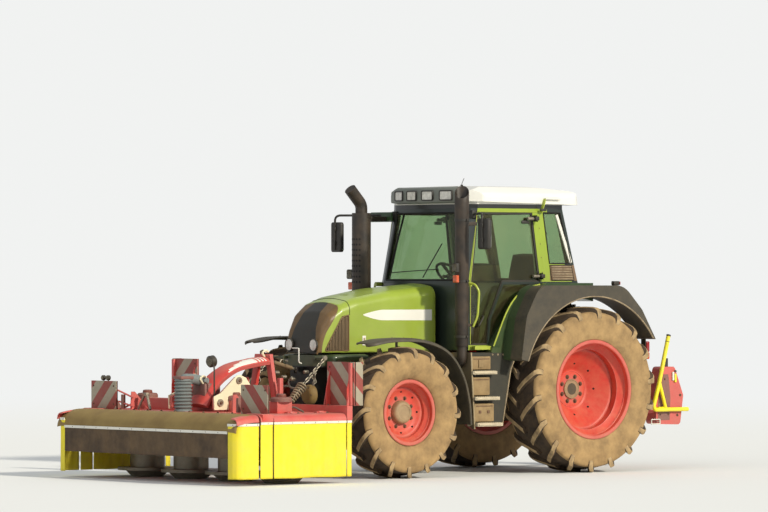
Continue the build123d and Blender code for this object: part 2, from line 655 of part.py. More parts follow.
@functools.cache
def inner_fender():
    arch_front = (-895.0, REAR_AXLE_Z + math.sqrt(WHEEL_ARCH_RADIUS ** 2 - 895.0 ** 2))
    arch_rear = (230.0, REAR_AXLE_Z + math.sqrt(WHEEL_ARCH_RADIUS ** 2 - 230.0 ** 2))
    angle = math.radians(118)
    middle = (WHEEL_ARCH_RADIUS * math.cos(angle), REAR_AXLE_Z + WHEEL_ARCH_RADIUS * math.sin(angle))
    foot = (-1000.0, arch_front[1])
    edges = [Polyline(foot, *GREEN_FENDER_LINE[:-1], arch_rear), ThreePointArc(arch_rear, middle, arch_front),
             Line(arch_front, foot)]
    face = Plane.YZ * make_face(edges)
    body = Pos(GREEN_FENDER_INNER_X, 0, 0) * extrude(
        face, amount=FENDER_INNER_X - GREEN_FENDER_INNER_X, dir=(1, 0, 0))
    return body


def rear_fender():
    front = (-905.0, REAR_AXLE_Z + 300.0)
    start_angle = math.atan2(300.0, -905.0)
    radius = math.hypot(905.0, 300.0)
    end_angle = math.radians(33)
    rear = (radius * math.cos(end_angle), REAR_AXLE_Z + radius * math.sin(end_angle))
    half_way = (start_angle + end_angle) / 2
    middle = (radius * math.cos(half_way), REAR_AXLE_Z + radius * math.sin(half_way))
    top = FilletPolyline(front, (-1000, 1165), (-930, 1600), (-755, 1915), (390, 1915), (640, 1665),
                         (835, 1350), rear, radius=(20, 200, 190, 260, 150, 5))
    face = Plane.YZ * make_face([top, ThreePointArc(rear, middle, front)])
    return Pos(FENDER_INNER_X, 0, 0) * extrude(
        face, amount=FENDER_OUTER_X - FENDER_INNER_X, dir=(1, 0, 0))


@functools.cache
def cab_frame():
    upper = cab_skin(0, CAB_WALL)
    floor_part = extrude(cab_section(CAB_FLOOR, 0), amount=CAB_WAIST - CAB_FLOOR, dir=(0, 0, 1))
    floor_part -= extrude(cab_section(CAB_FLOOR - 1, CAB_WALL), amount=CAB_WAIST - CAB_FLOOR + 2, dir=(0, 0, 1))
    floor_part &= block((-800, 800), (-1500, -1100), (CAB_FLOOR, CAB_WAIST))
    bar = side_window(((-1120, CAB_FLOOR), (-1120, SILL_TOP), (-1095, 1570), (-915, 1952), (-412, 1952),
                       (-412, 1927), (-899, 1927), (-1071, 1562), (-1096, SILL_TOP), (-1096, CAB_FLOOR)),
                      (CAB_PLAN["waist"]["wide"][0] - 45, CAB_PLAN["waist"]["wide"][0] - 8))
    frame = upper + floor_part + on_both_sides(bar)
    door = side_window(DOOR_OPENING, SIDE_CUT)
    quarter = side_window(QUARTER_WINDOW, SIDE_CUT)
    frame -= on_both_sides(door + quarter)
    frame -= front_prism(WINDSCREEN, (-1600, -1050))
    frame -= front_prism(REAR_WINDOW, (-200, 400))
    frame -= on_both_sides(inner_fender())
    for z in HINGE_HEIGHTS:
        frame += on_both_sides(hinge_fixed(z))
    return frame + louvres()


def louvres():
    """Slats that stand proud of the cab's side below its quarter window."""
    low, high = VENT_PANEL[2][1], VENT_PANEL[0][1]
    pitch = (high - low) / LOUVRES
    slats = None
    for index in range(LOUVRES):
        foot = low + (index + 0.25) * pitch
        slat = block(SIDE_CUT, (VENT_PANEL[3][0] - 100, VENT_PANEL[2][0]), (foot, foot + pitch / 2))
        slats = slat if slats is None else slats + slat
    slats &= side_window(VENT_PANEL, SIDE_CUT, -LOUVRE_MARGIN)
    return cab_skin(-LOUVRE_PROUD, LOUVRE_PROUD + CAB_WALL / 2) & on_both_sides(slats)


# Door hinges: heights of their middles. The hinge line leans with the door opening's rear edge.
HINGE_HEIGHTS = (2010.0, 2600.0)
HINGE_Y_OFFSET = 16.0


def hinge_point(z):
    top, foot = DOOR_OPENING[3], DOOR_OPENING[4]
    share = (z - foot[1]) / (top[1] - foot[1])
    return Vector(HINGE_X, foot[0] + (top[0] - foot[0]) * share + HINGE_Y_OFFSET, z)


def cab_side_x(z):
    share = (z - CAB_WAIST) / (CAB_TOP - CAB_WAIST)
    return CAB_PLAN["waist"]["wide"][0] + (CAB_PLAN["top"]["wide"][0] - CAB_PLAN["waist"]["wide"][0]) * share


def hinge_fixed(z):
    """The pillar's half of a hinge: two lugs and the pin through them."""
    lean = (hinge_point(z + 1) - hinge_point(z)).normalized()
    middle = hinge_point(z)
    reach = HINGE_BARREL_HALF + 16
    body = rod(middle - lean * reach, middle + lean * reach, HINGE_PIN_RADIUS)
    for side in (-1, 1):
        lug = middle + lean * (side * (HINGE_BARREL_HALF + 9))
        body += block((cab_side_x(z) - 20, HINGE_X + 12), (lug.Y - 12, lug.Y + 12), (lug.Z - 6, lug.Z + 6))
    return body


def hinge_moving(z):
    """The door's half of a hinge: the barrel round the pin and its leaf."""
    lean = (hinge_point(z + 1) - hinge_point(z)).normalized()
    middle = hinge_point(z)
    barrel = rod(middle - lean * HINGE_BARREL_HALF, middle + lean * HINGE_BARREL_HALF, HINGE_BARREL_RADIUS)
    leaf = block((cab_side_x(z) - 14, HINGE_X + 4), (middle.Y - 44, middle.Y - 26), (z - 13, z + 13))
    leaf += block((HINGE_X - 8, HINGE_X + 4), (middle.Y - 44, middle.Y), (z - 13, z + 13))
    bore = rod(middle - lean * 60, middle + lean * 60, HINGE_PIN_RADIUS + PIN_GAP)
    return (barrel + leaf) - bore


def door():
    leaf = cab_skin(2, DOOR_THICKNESS, CAB_FLOOR) & side_window(DOOR_OPENING, SIDE_CUT, -MOVING_GAP)
    leaf -= side_window(DOOR_OPENING, SIDE_CUT, -MOVING_GAP - DOOR_FRAME)
    for z in HINGE_HEIGHTS:
        leaf += hinge_moving(z)
    glass = cab_skin(GLASS_SET, GLASS_THICKNESS, CAB_FLOOR)
    return leaf + (glass & side_window(DOOR_OPENING, SIDE_CUT, -MOVING_GAP - DOOR_FRAME + 2))


def cab_windows():
    skin = cab_skin(GLASS_SET, GLASS_THICKNESS)
    front = skin & front_prism(WINDSCREEN, (-1600, -1050))
    rear = skin & front_prism(REAR_WINDOW, (-200, 400))
    quarter = skin & side_window(QUARTER_WINDOW, SIDE_CUT)
    low = cab_skin(GLASS_SET, GLASS_THICKNESS, CAB_FLOOR) & side_window(
        ((-1096, SILL_TOP), (-1071, 1562), (-899, 1927), (-412, 1927), (-412, 1700), (-1060, SILL_TOP)), SIDE_CUT)
    low -= inner_fender()
    low -= cab_frame()
    return solids_of(front, rear, quarter, mirrored(quarter), low, mirrored(low))


@functools.cache
def cab_tub():
    floor = block((-TUB_HALF, TUB_HALF), (-1500, TUB_REAR_Y), (CAB_FLOOR, CAB_FLOOR + FLOOR_THICKNESS))
    wall = block((TUB_HALF - TUB_WALL, TUB_HALF), (-1120, TUB_REAR_Y), (CAB_FLOOR, CAB_WAIST))
    back = block((-TUB_HALF, TUB_HALF), (TUB_REAR_Y - TUB_WALL, TUB_REAR_Y), (CAB_FLOOR, CAB_WAIST))
    seat_box = block((-200, 200), (-520, -120), (CAB_FLOOR + FLOOR_THICKNESS, 1600))
    tub = floor + on_both_sides(wall) + back + seat_box
    step = extrude(cab_section(CAB_FLOOR, CAB_WALL), amount=FLOOR_THICKNESS, dir=(0, 0, 1))
    step &= block((-800, 800), (-1500, -1150), (CAB_FLOOR, CAB_FLOOR + FLOOR_THICKNESS))
    keep = block((-800, 800), (-1352, 500), (CAB_FLOOR, 2500))
    return ((tub + step) & keep) - cab_frame() - on_both_sides(inner_fender())


def cab_roof():
    side = side_prism(((-1322, ROOF_BOTTOM + 28), (-1322, 2876), (-1040, 2936), (-560, 2936), (60, 2882),
                       (160, ROOF_BOTTOM)), (-ROOF_HALF, ROOF_HALF), (4, 60, 400, 400, 60, 4))
    plan = top_prism(((-600, -1322), (600, -1322), (ROOF_HALF, -1180), (ROOF_HALF, 60), (640, 160),
                      (-640, 160), (-ROOF_HALF, 60), (-ROOF_HALF, -1180)), (2700, 3000), 60)
    front = front_prism(((-ROOF_HALF, 2700), (ROOF_HALF, 2700), (ROOF_HALF, 2850), (560, 2925), (0, 2940),
                         (-560, 2925), (-ROOF_HALF, 2850)), (-1400, 300), (4, 4, 60, 200, 2000, 200, 60))
    roof = side & plan & front
    lining = extrude(cab_section(CAB_TOP, 0), amount=ROOF_BOTTOM + 30 - CAB_TOP, dir=(0, 0, 1))
    return roof + (lining - lamp_bar_envelope())


def lamp_bar_envelope():
    edges = [ThreePointArc((-600, -1322), (0, -1432), (600, -1322)), Line((600, -1322), (-600, -1322))]
    return Pos(0, 0, 2770) * extrude(make_face(edges), amount=112, dir=(0, 0, 1))


LAMP_CENTRES = (-340.0, -130.0, 130.0, 340.0)
LAMP_WIDTH = 150.0


def lamp_bar():
    bar = lamp_bar_envelope()
    for x in LAMP_CENTRES:
        depth = bar_front_y(x)
        bar -= block((x - LAMP_WIDTH / 2, x + LAMP_WIDTH / 2), (depth - 60, depth + 14), (2790, 2866))
    return bar


def bar_front_y(x):
    """Where the lamp bar's curved front lies at a place along X."""
    rise = 110.0
    half = 600.0
    radius = (half ** 2 + rise ** 2) / (2 * rise)
    return -1322 - (math.sqrt(radius ** 2 - x ** 2) - (radius - rise))


def dashboard():
    console = side_prism(((-1340, 1300), (-1340, 1900), (-1290, 1945), (-1150, 1945), (-1080, 1860),
                          (-1130, 1300)), (-210, 210), 20)
    column = rod((0, -1150, 1860), (0, -1000, 2010), 28)
    ring = Plane(origin=(0, -1000, 2010), z_dir=(0, 0.7, 0.72)) * Torus(185, 14)
    spoke = Plane(origin=(0, -1000, 2010), z_dir=(0, 0.7, 0.72)) * Box(370, 40, 16)
    return (console + column + spoke + ring) - cab_frame() - cab_tub()


def driver_seat():
    cushion = block((-235, 235), (-600, -80), (1600, 1700))
    back = side_prism(((-190, 1700), (-80, 1700), (20, 2250), (-70, 2260)), (-225, 225))
    return cushion + back


# Bonnet: stations from the rear to the nose
# columns: y, half width, top height, corner radius
BONNET_STATIONS = (
    (BONNET_REAR_Y, 360, 1935, 110),
    (-2100, 350, 1888, 110),
    (-2520, 335, 1818, 105),
    (-2700, 322, 1752, 95),
    (-2830, 300, 1655, 85),
    (-2915, 272, 1505, 70),
    (-2948, 250, 1370, 55),
)


def bonnet_section(y, half, top, corner, skin, bottom):
    half = half - skin
    top = top - skin
    corner = corner - skin
    side_top = top - BONNET_CROWN - corner
    turn = corner * math.sqrt(0.5)
    flat = half - corner
    edges = [
        Line((-half, bottom), (-half, side_top)),
        ThreePointArc((-half, side_top), (-flat - turn, side_top + turn), (-flat, side_top + corner)),
        ThreePointArc((-flat, side_top + corner), (0, top), (flat, side_top + corner)),
        ThreePointArc((flat, side_top + corner), (flat + turn, side_top + turn), (half, side_top)),
        Line((half, side_top), (half, bottom)),
        Line((half, bottom), (-half, bottom)),
    ]
    return Pos(0, y, 0) * (Plane.XZ * make_face(edges))


@functools.cache
def bonnet_body(skin):
    """The bonnet's envelope, or its inside when the skin is more than zero."""
    sections = []
    last = len(BONNET_STATIONS) - 1
    for index, (y, half, top, corner) in enumerate(BONNET_STATIONS):
        shift = 0.0
        if skin and index == 0:
            shift = 1.0
        if skin and index == last:
            shift = skin
        bottom = BONNET_BOTTOM - (1.0 if skin else 0.0)
        sections.append(bonnet_section(y + shift, half, top, corner, skin, bottom))
    return loft(sections, ruled=True)


@functools.cache
def bonnet_shell():
    return bonnet_body(0) - bonnet_body(BONNET_SKIN)


# Side views of the nose mask's region and of the side grille: (y, z)
MASK_REGION = ((-3000, 1200), (-3000, 1900), (-2700, 1900), (-2700, 1740), (-2745, 1655), (-2860, 1455),
               (-2918, 1300), (-2926, 1200))
GRILLE_REGION = ((-2610, 1620), (-2690, 1600), (-2800, 1440), (-2868, 1290), (-2880, 1262), (-2610, 1262))


GRILLE_CUT = (100.0, 500.0)
SLATS = 8
SLAT_PROUD = 6.0
SLAT_MARGIN = 8.0


def bonnet():
    shell = bonnet_shell() - side_prism(MASK_REGION, (-500, 500))
    shell -= side_prism(GRILLE_REGION, (-500, 500))
    shell -= on_both_sides(lamp_cup())
    hanger = block((130, 170), (BONNET_HINGE_Y - 60, BONNET_REAR_Y), (BONNET_HINGE_Z - 24, 1922))
    knuckle_ring = cross_rod((130, 170), BONNET_HINGE_Y, BONNET_HINGE_Z, 24)
    bore = cross_rod((100, 200), BONNET_HINGE_Y, BONNET_HINGE_Z, 12 + PIN_GAP)
    return shell + on_both_sides((hanger + knuckle_ring) - bore)


def lamp_cup():
    return rod((HEADLAMP_X, -2880, HEADLAMP_Z), (HEADLAMP_X, -2975, HEADLAMP_Z), HEADLAMP_RADIUS + 8)


def nose_mask():
    mask = bonnet_shell() & side_prism(MASK_REGION, (-500, 500))
    cups = on_both_sides(lamp_cup())
    lamp = rod((HEADLAMP_X, -2900, HEADLAMP_Z), (HEADLAMP_X, -3000, HEADLAMP_Z), HEADLAMP_RADIUS)
    inside = bonnet_body(BONNET_SKIN) & block((-500, 500), (-2900, -2000), (1200, 2000))
    lens = rod((HEADLAMP_X, -2895, HEADLAMP_Z), (HEADLAMP_X, -2966, HEADLAMP_Z), HEADLAMP_RADIUS)
    return ((mask + (cups - inside)) - on_both_sides(lamp)) + on_both_sides(lens)


def side_grilles():
    plate = bonnet_shell() & side_prism(GRILLE_REGION, GRILLE_CUT)
    front, rear = GRILLE_REGION[4][0], GRILLE_REGION[0][0]
    pitch = (rear - front) / SLATS
    slats = None
    for index in range(SLATS):
        place = front + (index + 0.25) * pitch
        slat = block(GRILLE_CUT, (place, place + pitch / 2), (GRILLE_REGION[5][1], GRILLE_REGION[0][1]))
        slats = slat if slats is None else slats + slat
    slats &= side_window(GRILLE_REGION, GRILLE_CUT, -SLAT_MARGIN)
    plate += (bonnet_body(-SLAT_PROUD) - bonnet_body(BONNET_SKIN)) & slats
    return solids_of(plate, mirrored(plate))


# Steps, tanks, pipes and mirrors

@functools.cache
def side_steps():
    front = block((600, STEP_OUTER_X), (STEP_FRONT_Y, STEP_FRONT_Y + STEP_PLATE), (470, CAB_FLOOR - 20))
    steps = front
    for z, rear in STEP_TREADS:
        steps += block((STEP_INNER_X, STEP_OUTER_X), (STEP_FRONT_Y, rear), (z - 35, z))
    skirt = side_prism(((-1215, 1235), (-1165, 480), (-1090, 470), (-920, 610), (-1005, 1160), (-1010, 1235)),
                       (STEP_OUTER_X - 12, STEP_OUTER_X))
    tie = block((TANK_OUTER_X, STEP_OUTER_X), (-1180, -1100), (600, 640))
    steps += skirt + tie
    rail = bent_rod(((860, STEP_FRONT_Y + 10, 1240), (860, -1440, 1400), (860, -1400, 1880),
                     (710, -1385, 1930)), 40, 13)
    steps += rail
    steps -= cab_frame()
    return solids_of(steps, mirrored(steps))


TANK_OUTER_X = 780.0


def side_tanks():
    tank = block((GEARBOX_HALF, TANK_OUTER_X), (-1150, -985), (TANK_BOTTOM, TANK_TOP))
    tank += block((ENGINE_HALF, TANK_OUTER_X), (STEP_FRONT_Y + STEP_PLATE, -1150), (TANK_BOTTOM, TANK_TOP))
    tank -= inner_fender()
    tank -= gearbox_housing()
    return solids_of(tank, mirrored(tank))


@functools.cache
def air_intake_pipe():
    pipe = rod((INTAKE_X, INTAKE_Y, 1420), (INTAKE_X, INTAKE_Y, INTAKE_TOP), INTAKE_RADIUS)
    lean = side_prism(((INTAKE_Y - 120, INTAKE_TOP - 20), (INTAKE_Y - 120, INTAKE_TOP + 200),
                       (INTAKE_Y + 120, INTAKE_TOP + 200), (INTAKE_Y + 120, INTAKE_TOP - 10)), (600, 1000))
    pipe -= Pos(0, 0, -60) * lean
    pipe -= rod((INTAKE_X, INTAKE_Y, INTAKE_TOP - 300), (INTAKE_X, INTAKE_Y, INTAKE_TOP + 50), INTAKE_RADIUS - 6)
    duct = bent_rod(((ENGINE_HALF, INTAKE_Y, DUCT_Z), (INTAKE_X, INTAKE_Y, DUCT_Z),
                     (INTAKE_X, INTAKE_Y, 1430)), 90, DUCT_RADIUS)
    pipe += duct
    for z in (1480.0, 2450.0):
        pipe += block((650, INTAKE_X), (INTAKE_Y - 20, -1300), (z, z + 40))
    inside = cab_body(0, CAB_FLOOR)
    return pipe - inside - engine_block() - side_steps()


@functools.cache
def exhaust_pipe():
    pipe = rod((EXHAUST_X, EXHAUST_Y, 1700), (EXHAUST_X, EXHAUST_Y, 2660), EXHAUST_RADIUS)
    pipe += Pos(EXHAUST_X, EXHAUST_Y, 1660) * Cone(60, EXHAUST_RADIUS, 80)
    tip = bent_rod(((EXHAUST_X, EXHAUST_Y, 2640), (EXHAUST_X, EXHAUST_Y, 2745),
                    (EXHAUST_X, EXHAUST_Y - 150, 2905)), 110, 62)
    pipe += tip
    pipe += bent_rod(((-ENGINE_HALF, -1570, DUCT_Z), (EXHAUST_X, -1570, DUCT_Z), (EXHAUST_X, -1590, 1420),
                      (EXHAUST_X, EXHAUST_Y, 1640)), (90, 60), DUCT_RADIUS)
    for z in (1720.0, 2575.0):
        pipe += block((EXHAUST_X - 30, -640), (EXHAUST_Y, -1250), (z, z + 50))
    inside = cab_body(0, CAB_FLOOR)
    return pipe - inside - engine_block()


def mirror_assembly(pivot, arm_end, head_z):
    """An arm from the cab's front corner out to a corner, down to the mirror's head."""
    arm = bent_rod((pivot, (arm_end[0], arm_end[1], pivot[2]), (arm_end[0], arm_end[1], head_z[0])), 60, 13)
    head = block((arm_end[0] - 85, arm_end[0] + 85), (arm_end[1] + 4, arm_end[1] + 60), head_z)
    return arm + head


def mirrors():
    left = mirror_assembly((610, -1230, 2640), (1050, -1480, 0), (2280, 2590))
    right = mirrored(mirror_assembly((560, -1230, 2640), (1150, -1620, 0), (2260, 2570)))
    body = cab_body(0)
    left = left - body - air_intake_pipe()
    right = right - body - exhaust_pipe()
    return solids_of(left, right)


# Front linkage and mower. The mower's pins lie one link further forward than the tractor's.

MOWER_PIN_Y = LIFT_PIVOT_Y - LINK_RUN
MOWER_PIN_Z = LIFT_PIVOT_Z + LINK_RISE
MOWER_TOP_Y = TOP_PIVOT_Y - LINK_RUN
MOWER_TOP_Z = TOP_PIVOT_Z + LINK_RISE


def link_plate(x, start, end, radius, bores):
    """A flat link with round eyes, in the side view between two (y, z) places."""
    plate = cross_rod(x, start[0], start[1], radius) + cross_rod(x, end[0], end[1], radius)
    run = Vector(0, end[0] - start[0], end[1] - start[1])
    across = run.cross(Vector(1, 0, 0)).normalized() * (radius * 0.75)
    corners = []
    for place, sign in ((start, 1), (end, 1), (end, -1), (start, -1)):
        corners.append((place[0] + across.Y * sign, place[1] + across.Z * sign))
    plate += side_prism(corners, x)
    for place, bore in zip((start, end), bores):
        plate -= cross_rod((x[0] - 1, x[1] + 1), place[0], place[1], bore)
    return plate


def front_lift_arms():
    x = (ARM_X - ARM_THICKNESS / 2, ARM_X + ARM_THICKNESS / 2)
    bore = LIFT_PIN_RADIUS + PIN_GAP
    arm = link_plate(x, (LIFT_PIVOT_Y, LIFT_PIVOT_Z), (MOWER_PIN_Y, MOWER_PIN_Z), ARM_RADIUS, (bore, bore))
    return solids_of(arm, mirrored(arm))


def front_top_link():
    bore = TOP_PIN_RADIUS + PIN_GAP
    return link_plate((-20, 20), (TOP_PIVOT_Y, TOP_PIVOT_Z), (MOWER_TOP_Y, MOWER_TOP_Z), 26, (bore, bore))


def relief_springs():
    anchor = (SPRING_ANCHOR_Y, SPRING_ANCHOR_Z)
    eye = cross_rod((SPRING_X - 8, SPRING_X + 8), anchor[0], anchor[1], 24)
    chain = rod((SPRING_X, anchor[0] - 12, anchor[1] - 12), (SPRING_X, SPRING_TOP[0], SPRING_TOP[1]), 11)
    start = Vector(SPRING_X, SPRING_TOP[0], SPRING_TOP[1])
    run = Vector(SPRING_X, SPRING_FOOT[0], SPRING_FOOT[1]) - start
    coil = Plane(origin=start, z_dir=run) * ribbed(run.length, SPRING_TOP_RADIUS, SPRING_RADIUS, SPRING_COILS,
                                                   SPRING_WIRE)
    spring = eye + chain + coil
    spring -= cross_rod((SPRING_X - 20, SPRING_X + 20), anchor[0], anchor[1], 10 + PIN_GAP)
    return solids_of(spring, mirrored(spring))


@functools.cache
def mower_headstock():
    tower_y = (MOWER_TOP_Y - 70, MOWER_TOP_Y - 30)
    tower = front_prism(((-272, 540), (272, 540), (120, 1235), (-120, 1235)), tower_y)
    tower -= front_prism(((-185, 640), (185, 640), (70, 1120), (-70, 1120)), (tower_y[0] - 1, tower_y[1] + 1))
    lower_ears = []
    for x in ((255, 275), (345, 365)):
        lower_ears.append(side_prism(((MOWER_PIN_Y + 40, MOWER_PIN_Z - 45), (MOWER_PIN_Y + 40, MOWER_PIN_Z + 45),
                                      (MOWER_PIN_Y - 130, MOWER_PIN_Z + 90), (MOWER_PIN_Y - 130, MOWER_PIN_Z - 60)), x))
    tube = block((-380, 380), (MOWER_PIN_Y - 130, MOWER_PIN_Y - 70), (MOWER_PIN_Z - 50, MOWER_PIN_Z + 50))
    pin = cross_rod((255, 365), MOWER_PIN_Y, MOWER_PIN_Z, LIFT_PIN_RADIUS)
    ear = block((26, 46), (tower_y[1], MOWER_TOP_Y + 28), (MOWER_TOP_Z - 28, MOWER_TOP_Z + 28))
    top_pin = cross_rod((-46, 46), MOWER_TOP_Y, MOWER_TOP_Z, TOP_PIN_RADIUS)
    stock = tower + tube + on_both_sides(lower_ears[0] + lower_ears[1] + pin + ear) + top_pin
    arm = side_prism(((-3570, 700), (-3570, 560), (-4180, 700), (-4330, 700), (-4330, 820), (-4260, 850),
                      (-4060, 1020), (-3960, 1000), (-3700, 700)), (330, 366), 25)
    link = block((-366, 366), (MOWER_PIN_Y - 160, MOWER_PIN_Y - 100), (MOWER_PIN_Z - 40, MOWER_PIN_Z + 40))
    stock += link + on_both_sides(arm)
    return stock


ARCH_LINE = ((-3470, 1170), (-3640, 1150), (-3900, 1090), (-4130, 940), (-4290, 700))


def arch_cover():
    cover = band(ARCH_LINE, 120, (-150, 150), 90)
    return cover - mower_headstock() - mower_deck()


def drive_cover():
    return Pos(0, DRIVE_Y, DECK_TOP) * ribbed(DRIVE_TOP - DECK_TOP, DRIVE_RADIUS, DRIVE_RADIUS, DRIVE_FOLDS,
                                              DRIVE_FOLD_DEPTH)


@functools.cache
def mower_deck():
    top = block((-GUARD_HINGE_X + 20, GUARD_HINGE_X - 20), (FRONT_BEAM_REAR_Y, DECK_REAR_Y),
                (DECK_TOP - DECK_DEPTH, DECK_TOP))
    top -= block((-GUARD_HINGE_X + 40, GUARD_HINGE_X - 40), (FRONT_BEAM_REAR_Y - 50, DECK_REAR_Y - 20),
                 (DECK_TOP - DECK_DEPTH - 1, DECK_TOP - DECK_SKIN))
    front = block((-MOWER_HALF, MOWER_HALF), (DECK_FRONT_Y, FRONT_BEAM_REAR_Y), (DECK_TOP - DECK_DEPTH, DECK_TOP))
    beam = block((-MOWER_HALF, MOWER_HALF), (DECK_REAR_Y - REAR_BEAM_DEPTH, DECK_REAR_Y),
                 (DECK_TOP - DECK_DEPTH, REAR_BEAM_TOP))
    gears = block((-1150, 1150), (DRUM_Y - 90, DRUM_Y + 90), (DECK_TOP, 790))
    deck = top + front + beam + gears
    for x in DRUM_X:
        deck += rod((x, DRUM_Y, 500), (x, DRUM_Y, DECK_TOP), DRUM_SHAFT_RADIUS)
    for x in (-1, 1):
        outer = 1450.0
        board = block((outer - FRONT_BOARD[0], outer), (-4500, -4500 + BOARD_THICKNESS),
                      (DECK_TOP, DECK_TOP + FRONT_BOARD[1]))
        rear = block((1482 - REAR_BOARD[0], 1482), (REAR_BOARD_Y - BOARD_THICKNESS, REAR_BOARD_Y),
                     (750, 750 + REAR_BOARD[1]))
        for stay in (1482 - REAR_BOARD[0] + 40, 1482 - 60):
            rear += side_prism(((DECK_REAR_Y - 20, REAR_BEAM_TOP - 30), (DECK_REAR_Y - 20, REAR_BEAM_TOP + 160),
                                (REAR_BOARD_Y - BOARD_THICKNESS, 1100), (REAR_BOARD_Y - BOARD_THICKNESS, 760)),
                               (stay, stay + 12))
        deck += board if x > 0 else mirrored(board)
        deck += rear if x > 0 else mirrored(rear)
    hinge = guard_hinge_fixed()
    deck += on_both_sides(hinge)
    deck += front_hinge_fixed()
    return deck - mower_headstock()


GUARD_Y = (FRONT_BEAM_REAR_Y + 2 * MOVING_GAP, DECK_REAR_Y - REAR_BEAM_DEPTH - MOVING_GAP)
GUARD_HINGE_Z = DECK_TOP + 4
GUARD_KNUCKLES = (-4380.0, -4020.0, -3660.0)
KNUCKLE_LENGTH = 60.0
FRONT_HINGE_Y = DECK_FRONT_Y - 24
FRONT_HINGE_Z = DECK_TOP - 10
FRONT_KNUCKLES = (-1200.0, -400.0, 400.0, 1200.0)


def guard_hinge_fixed():
    """Lugs and pin of the left side guard's hinge, on the deck."""
    hinge = None
    for y in GUARD_KNUCKLES:
        pin = rod((GUARD_HINGE_X, y - KNUCKLE_LENGTH, GUARD_HINGE_Z),
                  (GUARD_HINGE_X, y + KNUCKLE_LENGTH, GUARD_HINGE_Z), GUARD_PIN_RADIUS)
        for end in (-1, 1):
            middle = y + end * (KNUCKLE_LENGTH - 12)
            pin += block((GUARD_HINGE_X - 40, GUARD_HINGE_X + 8), (middle - 12, middle + 12),
                         (DECK_TOP - 20, GUARD_HINGE_Z + 8))
        hinge = pin if hinge is None else hinge + pin
    return hinge


def side_guard():
    """The left side guard: knuckles, top plate, lip and hanging curtain."""
    inner = GUARD_HINGE_X + GUARD_HINGE_RADIUS + MOVING_GAP
    plate = block((inner, MOWER_HALF), GUARD_Y, (DECK_TOP - DECK_SKIN, DECK_TOP))
    lip = block((MOWER_HALF - 14, MOWER_HALF), GUARD_Y, (DECK_TOP - 110, DECK_TOP))
    curtain = block((MOWER_HALF - 14, MOWER_HALF - 14 + CURTAIN_THICKNESS), GUARD_Y, (CURTAIN_BOTTOM, DECK_TOP - 110))
    guard = plate + lip + curtain
    for y in GUARD_KNUCKLES:
        half = KNUCKLE_LENGTH - 30
        ring = rod((GUARD_HINGE_X, y - half, GUARD_HINGE_Z), (GUARD_HINGE_X, y + half, GUARD_HINGE_Z),
                   GUARD_HINGE_RADIUS)
        ring += block((GUARD_HINGE_X, inner + 20), (y - half, y + half), (DECK_TOP - DECK_SKIN, DECK_TOP))
        ring -= rod((GUARD_HINGE_X, y - 100, GUARD_HINGE_Z), (GUARD_HINGE_X, y + 100, GUARD_HINGE_Z),
                    GUARD_PIN_RADIUS + PIN_GAP)
        guard += ring
    return guard


def front_hinge_fixed():
    hinge = None
    for x in FRONT_KNUCKLES:
        pin = cross_rod((x - KNUCKLE_LENGTH, x + KNUCKLE_LENGTH), FRONT_HINGE_Y, FRONT_HINGE_Z, GUARD_PIN_RADIUS)
        for end in (-1, 1):
            middle = x + end * (KNUCKLE_LENGTH - 12)
            pin += block((middle - 12, middle + 12), (FRONT_HINGE_Y - 8, DECK_FRONT_Y + 10),
                         (FRONT_HINGE_Z - 8, FRONT_HINGE_Z + 8))
        hinge = pin if hinge is None else hinge + pin
    return hinge


def front_guard():
    """The front guard: sloping top with side cheeks, hinged to the deck's front beam."""
    rear = FRONT_HINGE_Y - GUARD_HINGE_RADIUS - MOVING_GAP
    slope = side_prism(((rear, FRONT_HINGE_Z + 6), (rear, FRONT_HINGE_Z - 8), (-FRONT_REACH, LIP_FRONT_Z - 40),
                        (-FRONT_REACH, LIP_FRONT_Z)), (-MOWER_HALF, MOWER_HALF))
    cheek = side_prism(((rear, FRONT_HINGE_Z - 8), (rear, CURTAIN_BOTTOM + 200), (-FRONT_REACH, CURTAIN_BOTTOM + 200),
                        (-FRONT_REACH, LIP_FRONT_Z - 40)), (MOWER_HALF - 12, MOWER_HALF))
    curtain = block((-MOWER_HALF, MOWER_HALF), (-FRONT_REACH, -FRONT_REACH + CURTAIN_THICKNESS),
                    (CURTAIN_BOTTOM + 200, LIP_FRONT_Z - 30))
    guard = slope + on_both_sides(cheek) + curtain
    for x in FRONT_KNUCKLES:
        half = KNUCKLE_LENGTH - 30
        ring = cross_rod((x - half, x + half), FRONT_HINGE_Y, FRONT_HINGE_Z, GUARD_HINGE_RADIUS)
        ring += block((x - half, x + half), (rear - 10, FRONT_HINGE_Y), (FRONT_HINGE_Z - 8, FRONT_HINGE_Z + 6))
        ring -= cross_rod((x - 100, x + 100), FRONT_HINGE_Y, FRONT_HINGE_Z, GUARD_PIN_RADIUS + PIN_GAP)
        guard += ring
    return guard


def mowing_drum(x):
    """A drum on its shaft: saucer, skirt with two blades and the drum itself."""
    drum = Pos(0, 0, (SAUCER_BOTTOM + 70) / 2) * Cone(SAUCER_RADIUS * 0.7, SAUCER_RADIUS, 70 - SAUCER_BOTTOM)
    drum += Pos(0, 0, 80) * Cylinder(DRUM_SKIRT_RADIUS, 30)
    drum += Pos(0, 0, 330) * Cylinder(DRUM_RADIUS, 490)
    drum += Pos(0, 0, 80) * Box(2 * BLADE_REACH, 60, 8)
    drum &= Cylinder(BLADE_REACH, 2000)
    drum -= Pos(0, 0, 540) * Cylinder(DRUM_SHAFT_RADIUS + PIN_GAP, 100)
    return Pos(x, DRUM_Y, 0) * drum


# Rear linkage and implement

REAR_PIN_Y = REAR_LIFT_Y + REAR_LINK_RUN
REAR_PIN_Z = REAR_LIFT_Z + REAR_LINK_RISE
REAR_TOP_PIN_Z = REAR_TOP_Z + REAR_LINK_RISE


